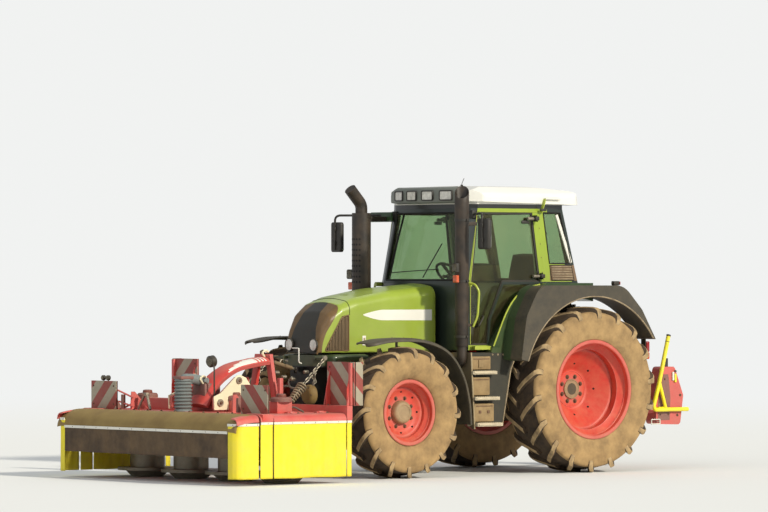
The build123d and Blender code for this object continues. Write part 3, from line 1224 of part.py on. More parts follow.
def rear_lower_links():
    bore = LIFT_PIN_RADIUS + PIN_GAP
    link = link_plate((REAR_LINK_X - 20, REAR_LINK_X + 20), (REAR_LIFT_Y, REAR_LIFT_Z), (REAR_PIN_Y, REAR_PIN_Z),
                      45, (bore, bore))
    return solids_of(link, mirrored(link))


def rear_top_link():
    bore = TOP_PIN_RADIUS + PIN_GAP
    return link_plate((-20, 20), (REAR_LIFT_Y, REAR_TOP_Z), (REAR_PIN_Y, REAR_TOP_PIN_Z), 26, (bore, bore))


@functools.cache
def rear_headstock():
    tower_y = (REAR_PIN_Y + 60, REAR_PIN_Y + 60 + REAR_TOWER_THICKNESS)
    tower = front_prism(((-360, 560), (360, 560), (110, 1190), (-110, 1190)), tower_y)
    tower -= front_prism(((-250, 670), (250, 670), (65, 1080), (-65, 1080)), (tower_y[0] - 1, tower_y[1] + 1))
    tube = block((-480, 480), tower_y, (REAR_PIN_Z - 50, REAR_PIN_Z + 50))
    ears = []
    for x in (REAR_LINK_X - 50, REAR_LINK_X + 26):
        ears.append(block((x, x + 24), (REAR_PIN_Y - 35, tower_y[0]), (REAR_PIN_Z - 40, REAR_PIN_Z + 40)))
    pin = cross_rod((REAR_LINK_X - 50, REAR_LINK_X + 50), REAR_PIN_Y, REAR_PIN_Z, LIFT_PIN_RADIUS)
    ear = block((26, 46), (REAR_PIN_Y - 28, tower_y[0]), (REAR_TOP_PIN_Z - 28, REAR_TOP_PIN_Z + 28))
    top_pin = cross_rod((-46, 46), REAR_PIN_Y, REAR_TOP_PIN_Z, TOP_PIN_RADIUS)
    stock = tower + tube + on_both_sides(ears[0] + ears[1] + pin + ear) + top_pin
    beam = block((300, 560), (tower_y[0], 1420), (REAR_PIN_Z - 45, REAR_PIN_Z + 45))
    slab = side_prism(((1300, 460), (1640, 450), (1685, 760), (1560, 1060), (1400, 1060), (1300, 700)),
                      COVER_X, 40)
    box_part = block((-150, 150), (tower_y[1], 1560), (1000, 1180))
    return stock + beam + slab + box_part


def rear_hoop():
    main = bent_rod(((HOOP_X, 1440, 1390), (HOOP_X, 1300, 870), (HOOP_X, 1215, 612),
                     (HOOP_X, REAR_REACH, 612)), (60, 40), HOOP_RADIUS)
    brace = rod((HOOP_X, 1310, 900), (HOOP_X, 1400, 620), HOOP_RADIUS - 4)
    foot = block((560, HOOP_X), (1300, 1400), (600, 640))
    return (main + brace + foot) - rear_headstock()


def wheel_pieces():
    pieces = {}
    for name, wheel, y in (("rear", REAR_WHEEL, 0.0), ("front", FRONT_WHEEL, FRONT_AXLE_Y)):
        made_rim = rim(wheel)
        made_tyre = tyre(wheel)
        for side in ("left", "right"):
            pieces[f"{name}_rim_{side}"] = placed_wheel(made_rim, wheel, y, side)
            pieces[f"{name}_tyre_{side}"] = placed_wheel(made_tyre, wheel, y, side)
    return pieces


def all_pieces():
    """Every piece by its name."""
    pieces = wheel_pieces()
    for make in (knuckle, front_fender, door, side_guard):
        shape = make()
        pieces[f"{make.__name__}_left"] = shape
        pieces[f"{make.__name__}_right"] = mirrored(shape)
    for number, x in enumerate(DRUM_X, start=1):
        pieces[f"mowing_drum_{number}"] = mowing_drum(x)
    single = (front_axle, tie_rod, front_frame, engine_block, gearbox_housing, rear_axle, cab_frame, cab_tub,
              cab_windows, cab_roof, lamp_bar, dashboard, driver_seat, bonnet, nose_mask, side_grilles,
              side_steps, side_tanks, air_intake_pipe, exhaust_pipe, mirrors, front_lift_arms, front_top_link,
              relief_springs, mower_headstock, arch_cover, drive_cover, mower_deck, front_guard,
              rear_lower_links, rear_top_link, rear_headstock, rear_hoop)
    for make in single:
        pieces[make.__name__] = make()
    pieces["inner_fenders"] = solids_of(inner_fender(), mirrored(inner_fender()))
    pieces["rear_fenders"] = solids_of(rear_fender(), mirrored(rear_fender()))
    return pieces


os.makedirs("parts", exist_ok=True)
for piece_name, piece in all_pieces().items():
    export_step(Pos(0, REAR_AXLE_Y, 0) * piece, f"parts/{piece_name}.step")
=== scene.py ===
import json
import math

import bmesh
import bpy
from mathutils import Matrix, Vector, noise

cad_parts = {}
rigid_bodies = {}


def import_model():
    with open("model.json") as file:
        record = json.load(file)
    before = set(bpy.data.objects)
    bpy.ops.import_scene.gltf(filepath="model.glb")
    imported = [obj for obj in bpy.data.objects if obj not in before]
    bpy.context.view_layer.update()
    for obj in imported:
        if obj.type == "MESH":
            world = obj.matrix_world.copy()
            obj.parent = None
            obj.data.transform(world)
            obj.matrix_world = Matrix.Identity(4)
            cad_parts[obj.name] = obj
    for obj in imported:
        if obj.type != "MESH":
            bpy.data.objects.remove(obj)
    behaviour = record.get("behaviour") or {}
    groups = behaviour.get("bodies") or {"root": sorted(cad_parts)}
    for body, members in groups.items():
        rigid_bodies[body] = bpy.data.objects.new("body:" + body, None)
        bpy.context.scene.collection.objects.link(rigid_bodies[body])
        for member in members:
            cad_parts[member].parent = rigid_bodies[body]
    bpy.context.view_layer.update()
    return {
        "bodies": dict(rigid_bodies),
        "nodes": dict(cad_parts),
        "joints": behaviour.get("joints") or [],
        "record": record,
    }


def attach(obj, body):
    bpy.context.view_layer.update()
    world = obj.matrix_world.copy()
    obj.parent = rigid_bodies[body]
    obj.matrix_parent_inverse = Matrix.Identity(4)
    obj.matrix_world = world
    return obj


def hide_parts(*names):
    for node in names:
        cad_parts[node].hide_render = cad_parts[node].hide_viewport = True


# The looks of a farm tractor with a front mower, in metres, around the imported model.
# -Y is the front, +X the machine's left and +Z up. REAR_Y is the rear axle's place along Y.

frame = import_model()
NODES = frame["nodes"]
REAR_Y = 1.605
FRONT_Y = REAR_Y - 2.417
IMAGE_WIDTH = 768
IMAGE_HEIGHT = 512
SIDES = ((1, "left"), (-1, "right"))


def srgb(red, green, blue):
    """A colour given as it shows on a screen, 0 to 255, as the linear colour that a shader takes."""
    out = []
    for value in (red, green, blue):
        share = value / 255
        out.append(share / 12.92 if share <= 0.04045 else ((share + 0.055) / 1.055) ** 2.4)
    return (*out, 1.0)


# Camera and light

def make_camera():
    """The photograph's view: from the front left, far off and low, through a long lens."""
    target = Vector((1.07, REAR_Y, 0.85))
    target_pixel = (593.8, 389.4)
    distance, height, azimuth, focal_pixels = 50.0, 2.0, math.radians(48.5), 4880.0
    place = Vector((target.x + distance * math.sin(azimuth), target.y - distance * math.cos(azimuth), height))
    run = target - place
    yaw = math.atan2(run.y, run.x) + math.atan((target_pixel[0] - IMAGE_WIDTH / 2) / focal_pixels)
    pitch = math.atan2(run.z, math.hypot(run.x, run.y))
    pitch += math.atan((target_pixel[1] - IMAGE_HEIGHT / 2) / focal_pixels)
    ahead = Vector((math.cos(pitch) * math.cos(yaw), math.cos(pitch) * math.sin(yaw), math.sin(pitch)))
    data = bpy.data.cameras.new("camera")
    data.sensor_width = 36.0
    data.lens = focal_pixels * data.sensor_width / IMAGE_WIDTH
    data.clip_start, data.clip_end = 1.0, 2000.0
    camera = bpy.data.objects.new("camera", data)
    bpy.context.scene.collection.objects.link(camera)
    camera.rotation_mode = "QUATERNION"
    camera.location = place
    camera.rotation_quaternion = ahead.to_track_quat("-Z", "Y")
    bpy.context.scene.camera = camera


BACKGROUND = (0.88, 0.89, 0.88, 1.0)
SKY = (0.93, 0.96, 1.0, 1.0)
SKY_STRENGTH = 0.46
LIGHTS = (
    # name, degrees round from the front, degrees up, strength, softness in degrees, colour
    ("key", 100, 27, 3.4, 4, (1.0, 0.93, 0.80)),
    ("fill", 10, 35, 0.55, 50, (0.96, 0.98, 1.0)),
    ("back", 215, 45, 0.25, 50, (0.95, 0.97, 1.0)),
)
LIGHT_DISTANCE = 20
FLOOR_RADIUS = 900.0
FLOOR_SIDES = 96
FLOOR_COLOUR = (0.80, 0.81, 0.79, 1.0)
FLOOR_FADE = (7.0, 34.0)


def node(tree, kind, settings=None, **inputs):
    """A shader node with its settings, and with its inputs set or linked by name."""
    made = tree.nodes.new(kind)
    for key, value in (settings or {}).items():
        setattr(made, key, value)
    for key, value in inputs.items():
        name = key.replace("_", " ")
        socket = made.inputs[int(key[1:])] if key[0] == "i" and key[1:].isdigit() else made.inputs[name]
        if isinstance(value, bpy.types.NodeSocket):
            tree.links.new(value, socket)
        else:
            socket.default_value = value
    return made


def maths(tree, operation, *values, clamp=False):
    """The result of a math node."""
    inputs = {f"i{index}": value for index, value in enumerate(values)}
    return node(tree, "ShaderNodeMath", {"operation": operation, "use_clamp": clamp}, **inputs).outputs[0]


def mapped(tree, value, low, high, to_low=0.0, to_high=1.0):
    """A value carried from one range to another, and held inside it."""
    return node(tree, "ShaderNodeMapRange", Value=value, From_Min=low, From_Max=high, To_Min=to_low,
                To_Max=to_high).outputs[0]


def cloudy(tree, place, scale, detail, rough):
    """Noise at a place, from 0 to 1."""
    return node(tree, "ShaderNodeTexNoise", Vector=place, Scale=scale, Detail=detail,
                Roughness=rough).outputs["Fac"]


def mixed(tree, share, first, second):
    """A colour between two."""
    return node(tree, "ShaderNodeMix", {"data_type": "RGBA"}, i0=share, i6=first, i7=second).outputs[2]


def object_place(tree):
    """A point's place along its object's own axes."""
    return node(tree, "ShaderNodeTexCoord").outputs["Object"]


def split(tree, vector):
    """The X, Y and Z of a vector."""
    return node(tree, "ShaderNodeSeparateXYZ", i0=vector).outputs


def new_material(name):
    """An empty material and its node tree."""
    material = bpy.data.materials.new(name)
    material.use_nodes = True
    material.node_tree.nodes.clear()
    return material, material.node_tree


def painted(material):
    """A finish's node tree, the socket that takes its colour, and what feeds that socket."""
    tree = material.node_tree
    shader = next(n for n in tree.nodes if n.type == "BSDF_PRINCIPLED")
    socket = shader.inputs["Base Color"]
    return tree, socket, socket.links[0].from_socket


def make_lights():
    """A soft sky that the camera sees as the plain backdrop, and three far lights."""
    world = bpy.data.worlds.new("world")
    bpy.context.scene.world = world
    world.use_nodes = True
    tree = world.node_tree
    tree.nodes.clear()
    path = node(tree, "ShaderNodeLightPath")
    seen = maths(tree, "MAXIMUM", path.outputs["Is Camera Ray"], path.outputs["Is Transmission Ray"])
    sky = node(tree, "ShaderNodeBackground", Color=SKY, Strength=SKY_STRENGTH)
    backdrop = node(tree, "ShaderNodeBackground", Color=BACKGROUND, Strength=1.0)
    mix = node(tree, "ShaderNodeMixShader", i0=seen, i1=sky.outputs[0], i2=backdrop.outputs[0])
    node(tree, "ShaderNodeOutputWorld", Surface=mix.outputs[0])
    for name, azimuth, elevation, strength, softness, colour in LIGHTS:
        data = bpy.data.lights.new(name, "SUN")
        data.energy = strength
        data.angle = math.radians(softness)
        data.color = colour
        lamp = bpy.data.objects.new(name, data)
        a, e = math.radians(azimuth), math.radians(elevation)
        away = Vector((math.sin(a) * math.cos(e), -math.cos(a) * math.cos(e), math.sin(e)))
        lamp.rotation_mode = "QUATERNION"
        lamp.rotation_quaternion = away.to_track_quat("Z", "Y")
        lamp.location = away * LIGHT_DISTANCE
        bpy.context.scene.collection.objects.link(lamp)


def make_floor():
    """A wide round floor that fades into the backdrop far from the machine."""
    mesh = bpy.data.meshes.new("floor")
    angles = [2 * math.pi * i / FLOOR_SIDES for i in range(FLOOR_SIDES)]
    points = [(FLOOR_RADIUS * math.cos(angle), FLOOR_RADIUS * math.sin(angle), 0) for angle in angles]
    mesh.from_pydata(points, [], [list(range(FLOOR_SIDES))])
    floor = bpy.data.objects.new("floor", mesh)
    bpy.context.scene.collection.objects.link(floor)
    material, tree = new_material("floor")
    reach = node(tree, "ShaderNodeVectorMath", {"operation": "LENGTH"}, i0=object_place(tree))
    far = node(tree, "ShaderNodeMapRange", {"interpolation_type": "SMOOTHSTEP"}, Value=reach.outputs["Value"],
               From_Min=FLOOR_FADE[0], From_Max=FLOOR_FADE[1], To_Min=0.0, To_Max=1.0)
    near = node(tree, "ShaderNodeBsdfDiffuse", Color=FLOOR_COLOUR)
    glow = node(tree, "ShaderNodeEmission", Color=BACKGROUND, Strength=1.0)
    mix = node(tree, "ShaderNodeMixShader", i0=far.outputs[0], i1=near.outputs[0], i2=glow.outputs[0])
    node(tree, "ShaderNodeOutputMaterial", Surface=mix.outputs[0])
    mesh.materials.append(material)


# Materials

DUST = srgb(196, 170, 122)


def surface(name, colour, rough, metal=0.0, vary=0.10, scale=5.0, grain=90.0, bump=0.15, depth=0.0006,
            dust=0.0, dust_low=0.0, dust_high=1.2, dust_colour=DUST, top_dust=0.0, wear=0.0,
            wear_colour=(0.35, 0.33, 0.30, 1.0), coat=0.0, second=None, sheen=0.0):
    """A finish with cloudy colour, a fine grain, dust that thins out with height, and worn edges.

    second is another colour that shows in the clouds. depth is the height of the grain in metres.
    """
    material, tree = new_material(name)
    place = object_place(tree)
    clouds = cloudy(tree, place, scale, 5.0, 0.6)
    fine = cloudy(tree, place, grain, 3.0, 0.6)
    dark = tuple(c * (1 - vary) for c in colour[:3]) + (1.0,)
    light = second or tuple(min(1.0, c * (1 + vary)) for c in colour[:3]) + (1.0,)
    shade = mixed(tree, mapped(tree, clouds, 0.3, 0.7), dark, light)
    rough_out = mapped(tree, clouds, 0.25, 0.75, max(0.03, rough - 0.07), min(1.0, rough + 0.08))
    if dust or top_dust:
        low = mapped(tree, split(tree, place)["Z"], dust_low, dust_high, dust, dust * 0.12)
        facing = node(tree, "ShaderNodeNewGeometry").outputs["Normal"]
        upper = mapped(tree, split(tree, facing)["Z"], 0.55, 1.0, 0.0, top_dust)
        patchy = mapped(tree, cloudy(tree, place, scale * 2.3, 8.0, 0.72), 0.36, 0.62, 0.35, 1.0)
        amount = maths(tree, "MULTIPLY", maths(tree, "MAXIMUM", low, upper), patchy, clamp=True)
        shade = mixed(tree, amount, shade, dust_colour)
        rough_out = node(tree, "ShaderNodeMix", {"data_type": "FLOAT"}, i0=amount, i2=rough_out, i3=0.85).outputs[0]
    if wear:
        edge = node(tree, "ShaderNodeNewGeometry").outputs["Pointiness"]
        broken = maths(tree, "MULTIPLY", mapped(tree, edge, 0.51, 0.56, 0.0, wear), fine, clamp=True)
        shade = mixed(tree, broken, shade, wear_colour)
    relief = node(tree, "ShaderNodeBump", Height=fine, Strength=bump, Distance=depth)
    shader = node(tree, "ShaderNodeBsdfPrincipled", Base_Color=shade, Roughness=rough_out, Metallic=metal,
                  Normal=relief.outputs[0], Coat_Weight=coat, Coat_Roughness=0.12, Sheen_Weight=sheen)
    node(tree, "ShaderNodeOutputMaterial", Surface=shader.outputs[0])
    return material


def glass(name, colour, rough=0.03, density=0.25, dirt=0.10):
    """Tinted glass with a thin, cloudy film of dust. It shines more where it is seen at a slant."""
    material, tree = new_material(name)
    film = mapped(tree, cloudy(tree, object_place(tree), 2.6, 7.0, 0.65), 0.35, 0.75, dirt * 0.3, dirt)
    clear = node(tree, "ShaderNodeBsdfTransparent", Color=colour)
    shine = node(tree, "ShaderNodeBsdfGlossy", Color=(0.9, 0.95, 0.9, 1.0), Roughness=rough)
    turned = node(tree, "ShaderNodeLayerWeight", Blend=0.5).outputs["Facing"]
    edge = maths(tree, "MULTIPLY_ADD", maths(tree, "POWER", turned, 5.0), 0.90, 0.035)
    pane = node(tree, "ShaderNodeMixShader", i0=edge, i1=clear.outputs[0], i2=shine.outputs[0])
    body = node(tree, "ShaderNodeBsdfDiffuse", Color=tuple(c * density for c in colour[:3]) + (1.0,))
    tinted = node(tree, "ShaderNodeMixShader", i0=density, i1=pane.outputs[0], i2=body.outputs[0])
    dusty = node(tree, "ShaderNodeBsdfDiffuse", Color=DUST)
    mix = node(tree, "ShaderNodeMixShader", i0=film, i1=tinted.outputs[0], i2=dusty.outputs[0])
    node(tree, "ShaderNodeOutputMaterial", Surface=mix.outputs[0])
    return material


GREEN = srgb(145, 167, 50)
M = {
    "green": surface("green", GREEN, 0.30, vary=0.07, scale=3.0, grain=220, bump=0.04, coat=0.5,
                     dust=0.35, dust_low=0.6, dust_high=2.2, dust_colour=srgb(150, 140, 90)),
    "white": surface("white", srgb(228, 227, 216), 0.33, vary=0.035, scale=2.5, grain=200, bump=0.03, coat=0.4,
                     top_dust=0.06),
    "lamp_grey": surface("lamp_grey", srgb(108, 112, 104), 0.45, grain=260, bump=0.10),
    "black": surface("black", srgb(40, 38, 34), 0.50, grain=240, bump=0.12, dust=0.25, dust_low=0.3, dust_high=2.4,
                     dust_colour=srgb(110, 96, 70)),
    "fender": surface("fender", srgb(48, 46, 40), 0.55, vary=0.15, grain=300, bump=0.22, dust=0.45, dust_low=0.8,
                      dust_high=2.6, dust_colour=srgb(116, 104, 78), top_dust=0.5),
    "rim": surface("rim", srgb(198, 36, 30), 0.42, vary=0.10, scale=4.0, grain=160, bump=0.06, dust=0.36,
                   dust_low=0.0, dust_high=3.0, dust_colour=srgb(206, 150, 112), wear=0.4),
    "hub": surface("hub", srgb(150, 128, 96), 0.6, vary=0.2, scale=12, grain=140, bump=0.2, metal=0.1),
    "tyre": surface("tyre", srgb(58, 52, 44), 0.88, vary=0.2, scale=9, grain=120, bump=0.5, depth=0.002),
    "tread": surface("tread", srgb(52, 42, 33), 0.93, vary=0.25, scale=9, grain=70, bump=0.8, depth=0.003,
                     second=srgb(84, 68, 50)),
    "lug": surface("lug", srgb(132, 111, 82), 0.9, vary=0.2, scale=12, grain=110, bump=0.6, depth=0.002,
                   second=srgb(182, 156, 114)),
    "sidewall": surface("sidewall", srgb(139, 113, 76), 0.9, vary=0.14, scale=8, grain=150, bump=0.4,
                        depth=0.0015, second=srgb(174, 144, 98)),
    "bolt": surface("bolt", srgb(92, 66, 52), 0.6, metal=0.4, vary=0.25, scale=30, grain=300, bump=0.3,
                    depth=0.0004, second=srgb(128, 100, 78)),
    # near black: seals, seams and wipers, and painted shade in holes and behind the grilles
    "near_black_and_painted_shade": surface("near_black_and_painted_shade", srgb(24, 22, 19), 0.8, vary=0.3, scale=20, grain=200, bump=0.2),
    "lime": surface("lime", srgb(166, 180, 60), 0.34, vary=0.05, scale=3.0, grain=220, bump=0.03, coat=0.4,
                    dust=0.25, dust_low=0.8, dust_high=2.2, dust_colour=srgb(170, 160, 96)),
    "deep_red": surface("deep_red", srgb(112, 40, 34), 0.6, vary=0.2, scale=8, grain=140, bump=0.2, dust=0.5,
                        dust_low=0.3, dust_high=2.2, dust_colour=srgb(140, 100, 76), wear=0.4),
    "pale": surface("pale", srgb(228, 226, 214), 0.5, vary=0.08, scale=9, grain=160, bump=0.12, wear=0.3),
    # the front curtain's dark brown is painted shade over yellow cloth
    "curtain_in_painted_shade": surface("curtain_in_painted_shade", srgb(74, 58, 42), 0.85, vary=0.25, scale=5, grain=180, bump=0.4,
                            depth=0.001, second=srgb(104, 84, 60)),
    "mirror": surface("mirror", srgb(225, 225, 222), 0.10, metal=1.0, vary=0.03, grain=50, bump=0.02),
    "lens": glass("lens", (0.93, 0.95, 0.95, 1.0), density=0.10, dirt=0.16),
    "chassis": surface("chassis", srgb(46, 48, 42), 0.6, vary=0.2, grain=90, bump=0.3, depth=0.0015, dust=0.55,
                       dust_low=0.2, dust_high=2.4, dust_colour=srgb(112, 98, 70), top_dust=0.3),
    "pipe": surface("pipe", srgb(40, 36, 31), 0.55, vary=0.3, scale=7, grain=130, bump=0.3, depth=0.001,
                    second=srgb(66, 54, 42)),
    "step": surface("step", srgb(150, 136, 108), 0.7, vary=0.15, grain=110, bump=0.3, dust=0.5, dust_high=2.4),
    "tank": surface("tank", srgb(120, 98, 66), 0.75, vary=0.18, grain=110, bump=0.3, dust=0.5, dust_high=2.6),
    "seat": surface("seat", srgb(52, 50, 46), 0.85, grain=900, bump=0.6, depth=0.001, sheen=0.4),
    "dash": surface("dash", srgb(44, 44, 42), 0.65, grain=420, bump=0.3),
    "tub": surface("tub", srgb(58, 56, 50), 0.7, grain=300, bump=0.3, dust=0.3, dust_low=1.0, dust_high=2.4),
    "red": surface("red", srgb(200, 48, 46), 0.40, vary=0.12, scale=3.5, grain=130, bump=0.08, dust=0.30,
                   dust_low=-0.6, dust_high=2.4, dust_colour=srgb(208, 150, 122), top_dust=0.42, wear=0.4),
    "cream": surface("cream", srgb(240, 234, 196), 0.45, vary=0.10, scale=4, grain=120, bump=0.12, dust=0.16,
                     dust_high=2.4, wear=0.4),
    "cover": surface("cover", srgb(138, 110, 60), 0.75, vary=0.25, scale=2.4, grain=60, bump=0.4, depth=0.002,
                     second=srgb(150, 128, 74)),
    "grey_rubber": surface("grey_rubber", srgb(116, 124, 122), 0.6, vary=0.15, grain=160, bump=0.3),
    "yellow": surface("yellow", srgb(230, 214, 12), 0.55, vary=0.06, scale=3.0, grain=260, bump=0.2, dust=0.25,
                      dust_low=0.0, dust_high=1.2),
    "hoop": surface("hoop", srgb(242, 226, 22), 0.40, vary=0.06, scale=8, grain=140, bump=0.08, wear=0.2, dust=0.08,
                    dust_high=2.0),
    "steel": surface("steel", srgb(150, 142, 126), 0.5, metal=0.75, vary=0.2, scale=12, grain=160, bump=0.25),
    "vent": surface("vent", srgb(120, 100, 72), 0.7, vary=0.15, grain=140, bump=0.3),
    "glass": glass("glass", (0.72, 0.82, 0.68, 1.0), density=0.05, dirt=0.05),
    "reflector": surface("reflector", srgb(238, 238, 230), 0.25, metal=0.25, vary=0.05, grain=60, bump=0.10),
    "inner_green": surface("inner_green", srgb(40, 66, 36), 0.35, vary=0.12, scale=4.0, grain=180, bump=0.05,
                           dust=0.35, dust_low=0.9, dust_high=2.2, dust_colour=srgb(108, 104, 66), coat=0.3),
    # light brown for coils, louvres and the skirt's edge, and a painted highlight on the fenders' lips
    "dust_and_highlight_edge": surface("dust_and_highlight_edge", srgb(120, 104, 80), 0.7, vary=0.2, scale=14, grain=160, bump=0.2,
                          second=srgb(168, 150, 120)),
    "skirt": surface("skirt", srgb(40, 40, 33), 0.6, vary=0.2, scale=6, grain=220, bump=0.2, dust=0.25,
                     dust_low=0.4, dust_high=2.2, dust_colour=srgb(92, 84, 62)),
    "step_dark": surface("step_dark", srgb(96, 84, 62), 0.75, vary=0.2, scale=6, grain=140, bump=0.3, dust=0.35,
                         dust_low=0.3, dust_high=1.8, dust_colour=srgb(130, 112, 82)),
    "tread_grey": surface("tread_grey", srgb(196, 182, 152), 0.6, vary=0.14, scale=12, grain=160, bump=0.3,
                          wear=0.3),
    # lamp lenses are painted pale as the light that their glass catches; the same finish serves a pale plate
    "lens_glint_and_pale_plate": surface("lens_glint_and_pale_plate", srgb(242, 238, 226), 0.14, vary=0.12, scale=26, grain=90, bump=0.12,
                          coat=0.8, second=srgb(186, 184, 174)),
    "amber": surface("amber", srgb(196, 84, 40), 0.22, vary=0.10, scale=30, grain=160, bump=0.10, coat=0.6),
    "tail_red": surface("tail_red", srgb(140, 26, 24), 0.22, vary=0.10, scale=30, grain=160, bump=0.10, coat=0.6),
}

NODE_FINISH = {
    "front_axle": "chassis", "front_frame": "front_frame", "engine_block": "chassis", "gearbox_housing": "chassis",
    "rear_axle": "chassis", "cab_frame": "cab", "cab_tub": "tub", "cab_windows": "glass", "cab_roof": "roof",
    "lamp_bar": "lamp_grey", "dashboard": "dash", "driver_seat": "seat", "inner_fenders": "inner_green",
    "rear_fenders": "rear_fender", "side_steps": "step", "side_tanks": "tank", "air_intake_pipe": "pipe",
    "exhaust_pipe": "pipe", "mirrors": "black", "bonnet": "green", "nose_mask": "mask", "side_grilles": "vent",
    "door_left": "glass", "door_right": "glass", "knuckle_left": "chassis", "knuckle_right": "chassis",
    "front_fender_left": "fender", "front_fender_right": "fender", "tie_rod": "chassis",
    "front_lift_arms": "chassis", "front_top_link": "steel", "relief_springs": "steel",
    "mower_headstock": "red", "arch_cover": "red", "drive_cover": "grey_rubber", "mower_deck": "red",
    "side_guard_left": "yellow", "side_guard_right": "yellow", "front_guard": "cover",
    "rear_lower_links": "chassis", "rear_top_link": "steel", "rear_headstock": "red", "rear_hoop": "hoop",
}
for end in ("rear", "front"):
    for side in ("left", "right"):
        NODE_FINISH[f"{end}_rim_{side}"] = "rim"
        NODE_FINISH[f"{end}_tyre_{side}"] = "tyre"
for number in (1, 2, 3, 4):
    NODE_FINISH[f"mowing_drum_{number}"] = "steel"


def dress_nodes():
    """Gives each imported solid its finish."""
    for name, finish in NODE_FINISH.items():
        mesh = NODES[name].data
        mesh.materials.clear()
        mesh.materials.append(M[finish])


# Mesh helpers

def Y(y):
    """A place along Y that is measured from the rear axle, as a place in the model."""
    return REAR_Y + y


def stretch(front, rear):
    """Two places along Y that are measured from the rear axle."""
    return Y(front), Y(rear)


def span(side, near, far):
    """Two places across the machine on one side of it, the lower first."""
    return sorted((side * near, side * far))


def line(side, *points):
    """Points across, along from the rear axle and up, on one side of the machine."""
    return [(side * x, Y(y), z) for x, y, z in points]


def add_piece(name, mesh, body, finish, smooth=35.0, place=None):
    """Links a mesh or bmesh as a piece that rides on a body. finish is one material's name or several."""
    if isinstance(mesh, bmesh.types.BMesh):
        bm = mesh
        bmesh.ops.recalc_face_normals(bm, faces=bm.faces)
        mesh = bpy.data.meshes.new(name)
        bm.to_mesh(mesh)
        bm.free()
    piece = bpy.data.objects.new(name, mesh)
    bpy.context.scene.collection.objects.link(piece)
    for each in ([finish] if isinstance(finish, str) else finish):
        mesh.materials.append(M[each])
    if smooth is not None:
        mesh.shade_smooth()
        mesh.set_sharp_from_angle(angle=math.radians(smooth))
    if place is not None:
        piece.matrix_world = place
    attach(piece, body)
    return piece


def add_box(bm, x, y, z, bevel=0.0, material=0, turn=None):
    """A box between pairs of low and high places, with its edges rounded, and turned about its middle."""
    middle = Vector((sum(x) / 2, sum(y) / 2, sum(z) / 2))
    half = Vector((abs(x[1] - x[0]) / 2, abs(y[1] - y[0]) / 2, abs(z[1] - z[0]) / 2))
    made = bmesh.ops.create_cube(bm, size=2.0)["verts"]
    for v in made:
        v.co = Vector(a * b for a, b in zip(v.co, half))
    faces = {f for v in made for f in v.link_faces}
    for f in faces:
        f.material_index = material
    if bevel:
        edges = list({e for v in made for e in v.link_edges})
        grown = bmesh.ops.bevel(bm, geom=edges, offset=bevel, segments=2, affect="EDGES", profile=0.6)
        made = list({v for f in grown["faces"] for v in f.verts} | {v for v in made if v.is_valid})
        for f in {f for v in made for f in v.link_faces}:
            f.material_index = material
    for v in made:
        v.co = (turn @ v.co if turn else v.co) + middle
    return made


def close_rows(bm, rows, material=0):
    """Joins closed rows of vertices one to the next, and closes the first and the last."""
    count = len(rows[0])
    for low, high in zip(rows, rows[1:]):
        for i in range(count):
            bm.faces.new((low[i], low[(i + 1) % count], high[(i + 1) % count], high[i])).material_index = material
    bm.faces.new(rows[0][::-1]).material_index = material
    bm.faces.new(rows[-1]).material_index = material


def add_skin(piece, thickness, offset=-1.0):
    """Gives a sheet of faces its thickness."""
    skin = piece.modifiers.new("skin", "SOLIDIFY")
    skin.thickness = thickness
    skin.offset = offset


def frame_of(direction):
    """A matrix that turns Z to a direction."""
    return Vector(direction).to_track_quat("Z", "Y").to_matrix().to_4x4()


def add_cylinder(bm, start, end, radius, sides=24, end_radius=None, material=0, chamfer=0.0):
    """A round bar between two points, with its rims broken by a chamfer."""
    start, end = Vector(start), Vector(end)
    run = end - start
    length = run.length
    turn = Matrix.Translation(start) @ frame_of(run)
    last = radius if end_radius is None else end_radius
    if chamfer:
        rings = [(0, radius - chamfer), (chamfer, radius), (length - chamfer, last), (length, last - chamfer)]
    else:
        rings = [(0, radius), (length, last)]
    rows = []
    for height, r in rings:
        rows.append([bm.verts.new(turn @ Vector((r * math.cos(2 * math.pi * i / sides),
                                                 r * math.sin(2 * math.pi * i / sides), height)))
                     for i in range(sides)])
    close_rows(bm, rows, material)


def rounded_path(points, bend, steps=6):
    """The points with each corner taken round in a short curve."""
    points = [Vector(p) for p in points]
    if bend <= 0 or len(points) < 3:
        return points
    out = [points[0]]
    for before, corner, after in zip(points, points[1:], points[2:]):
        back = before - corner
        on = after - corner
        reach = min(bend, back.length * 0.45, on.length * 0.45)
        a = corner + back.normalized() * reach
        b = corner + on.normalized() * reach
        for i in range(steps + 1):
            t = i / steps
            out.append(a * (1 - t) ** 2 + corner * 2 * t * (1 - t) + b * t * t)
    out.append(points[-1])
    return out


def add_tube(bm, points, radius, bend=0.03, sides=12, material=0, steps=6, flat=None):
    """A tube along points with rounded corners. flat=(half width, half height, up) makes a strap instead."""
    path = rounded_path(points, bend, steps)
    rows = []
    across = None
    for i, point in enumerate(path):
        ahead = path[min(i + 1, len(path) - 1)] - path[max(i - 1, 0)]
        if ahead.length < 1e-9:
            continue
        ahead.normalize()
        if flat:
            side = ahead.cross(Vector(flat[2])).normalized()
            up = side.cross(ahead).normalized()
            corners = [(-1, -1), (1, -1), (1, 1), (-1, 1)]
            row = [bm.verts.new(point + side * (a * flat[0]) + up * (b * flat[1])) for a, b in corners]
        else:
            if across is None:
                across = ahead.orthogonal().normalized()
            across = (across - ahead * across.dot(ahead)).normalized()
            other = ahead.cross(across)
            row = [bm.verts.new(point + across * (radius * math.cos(2 * math.pi * k / sides))
                                + other * (radius * math.sin(2 * math.pi * k / sides))) for k in range(sides)]
        rows.append(row)
    close_rows(bm, rows, material)


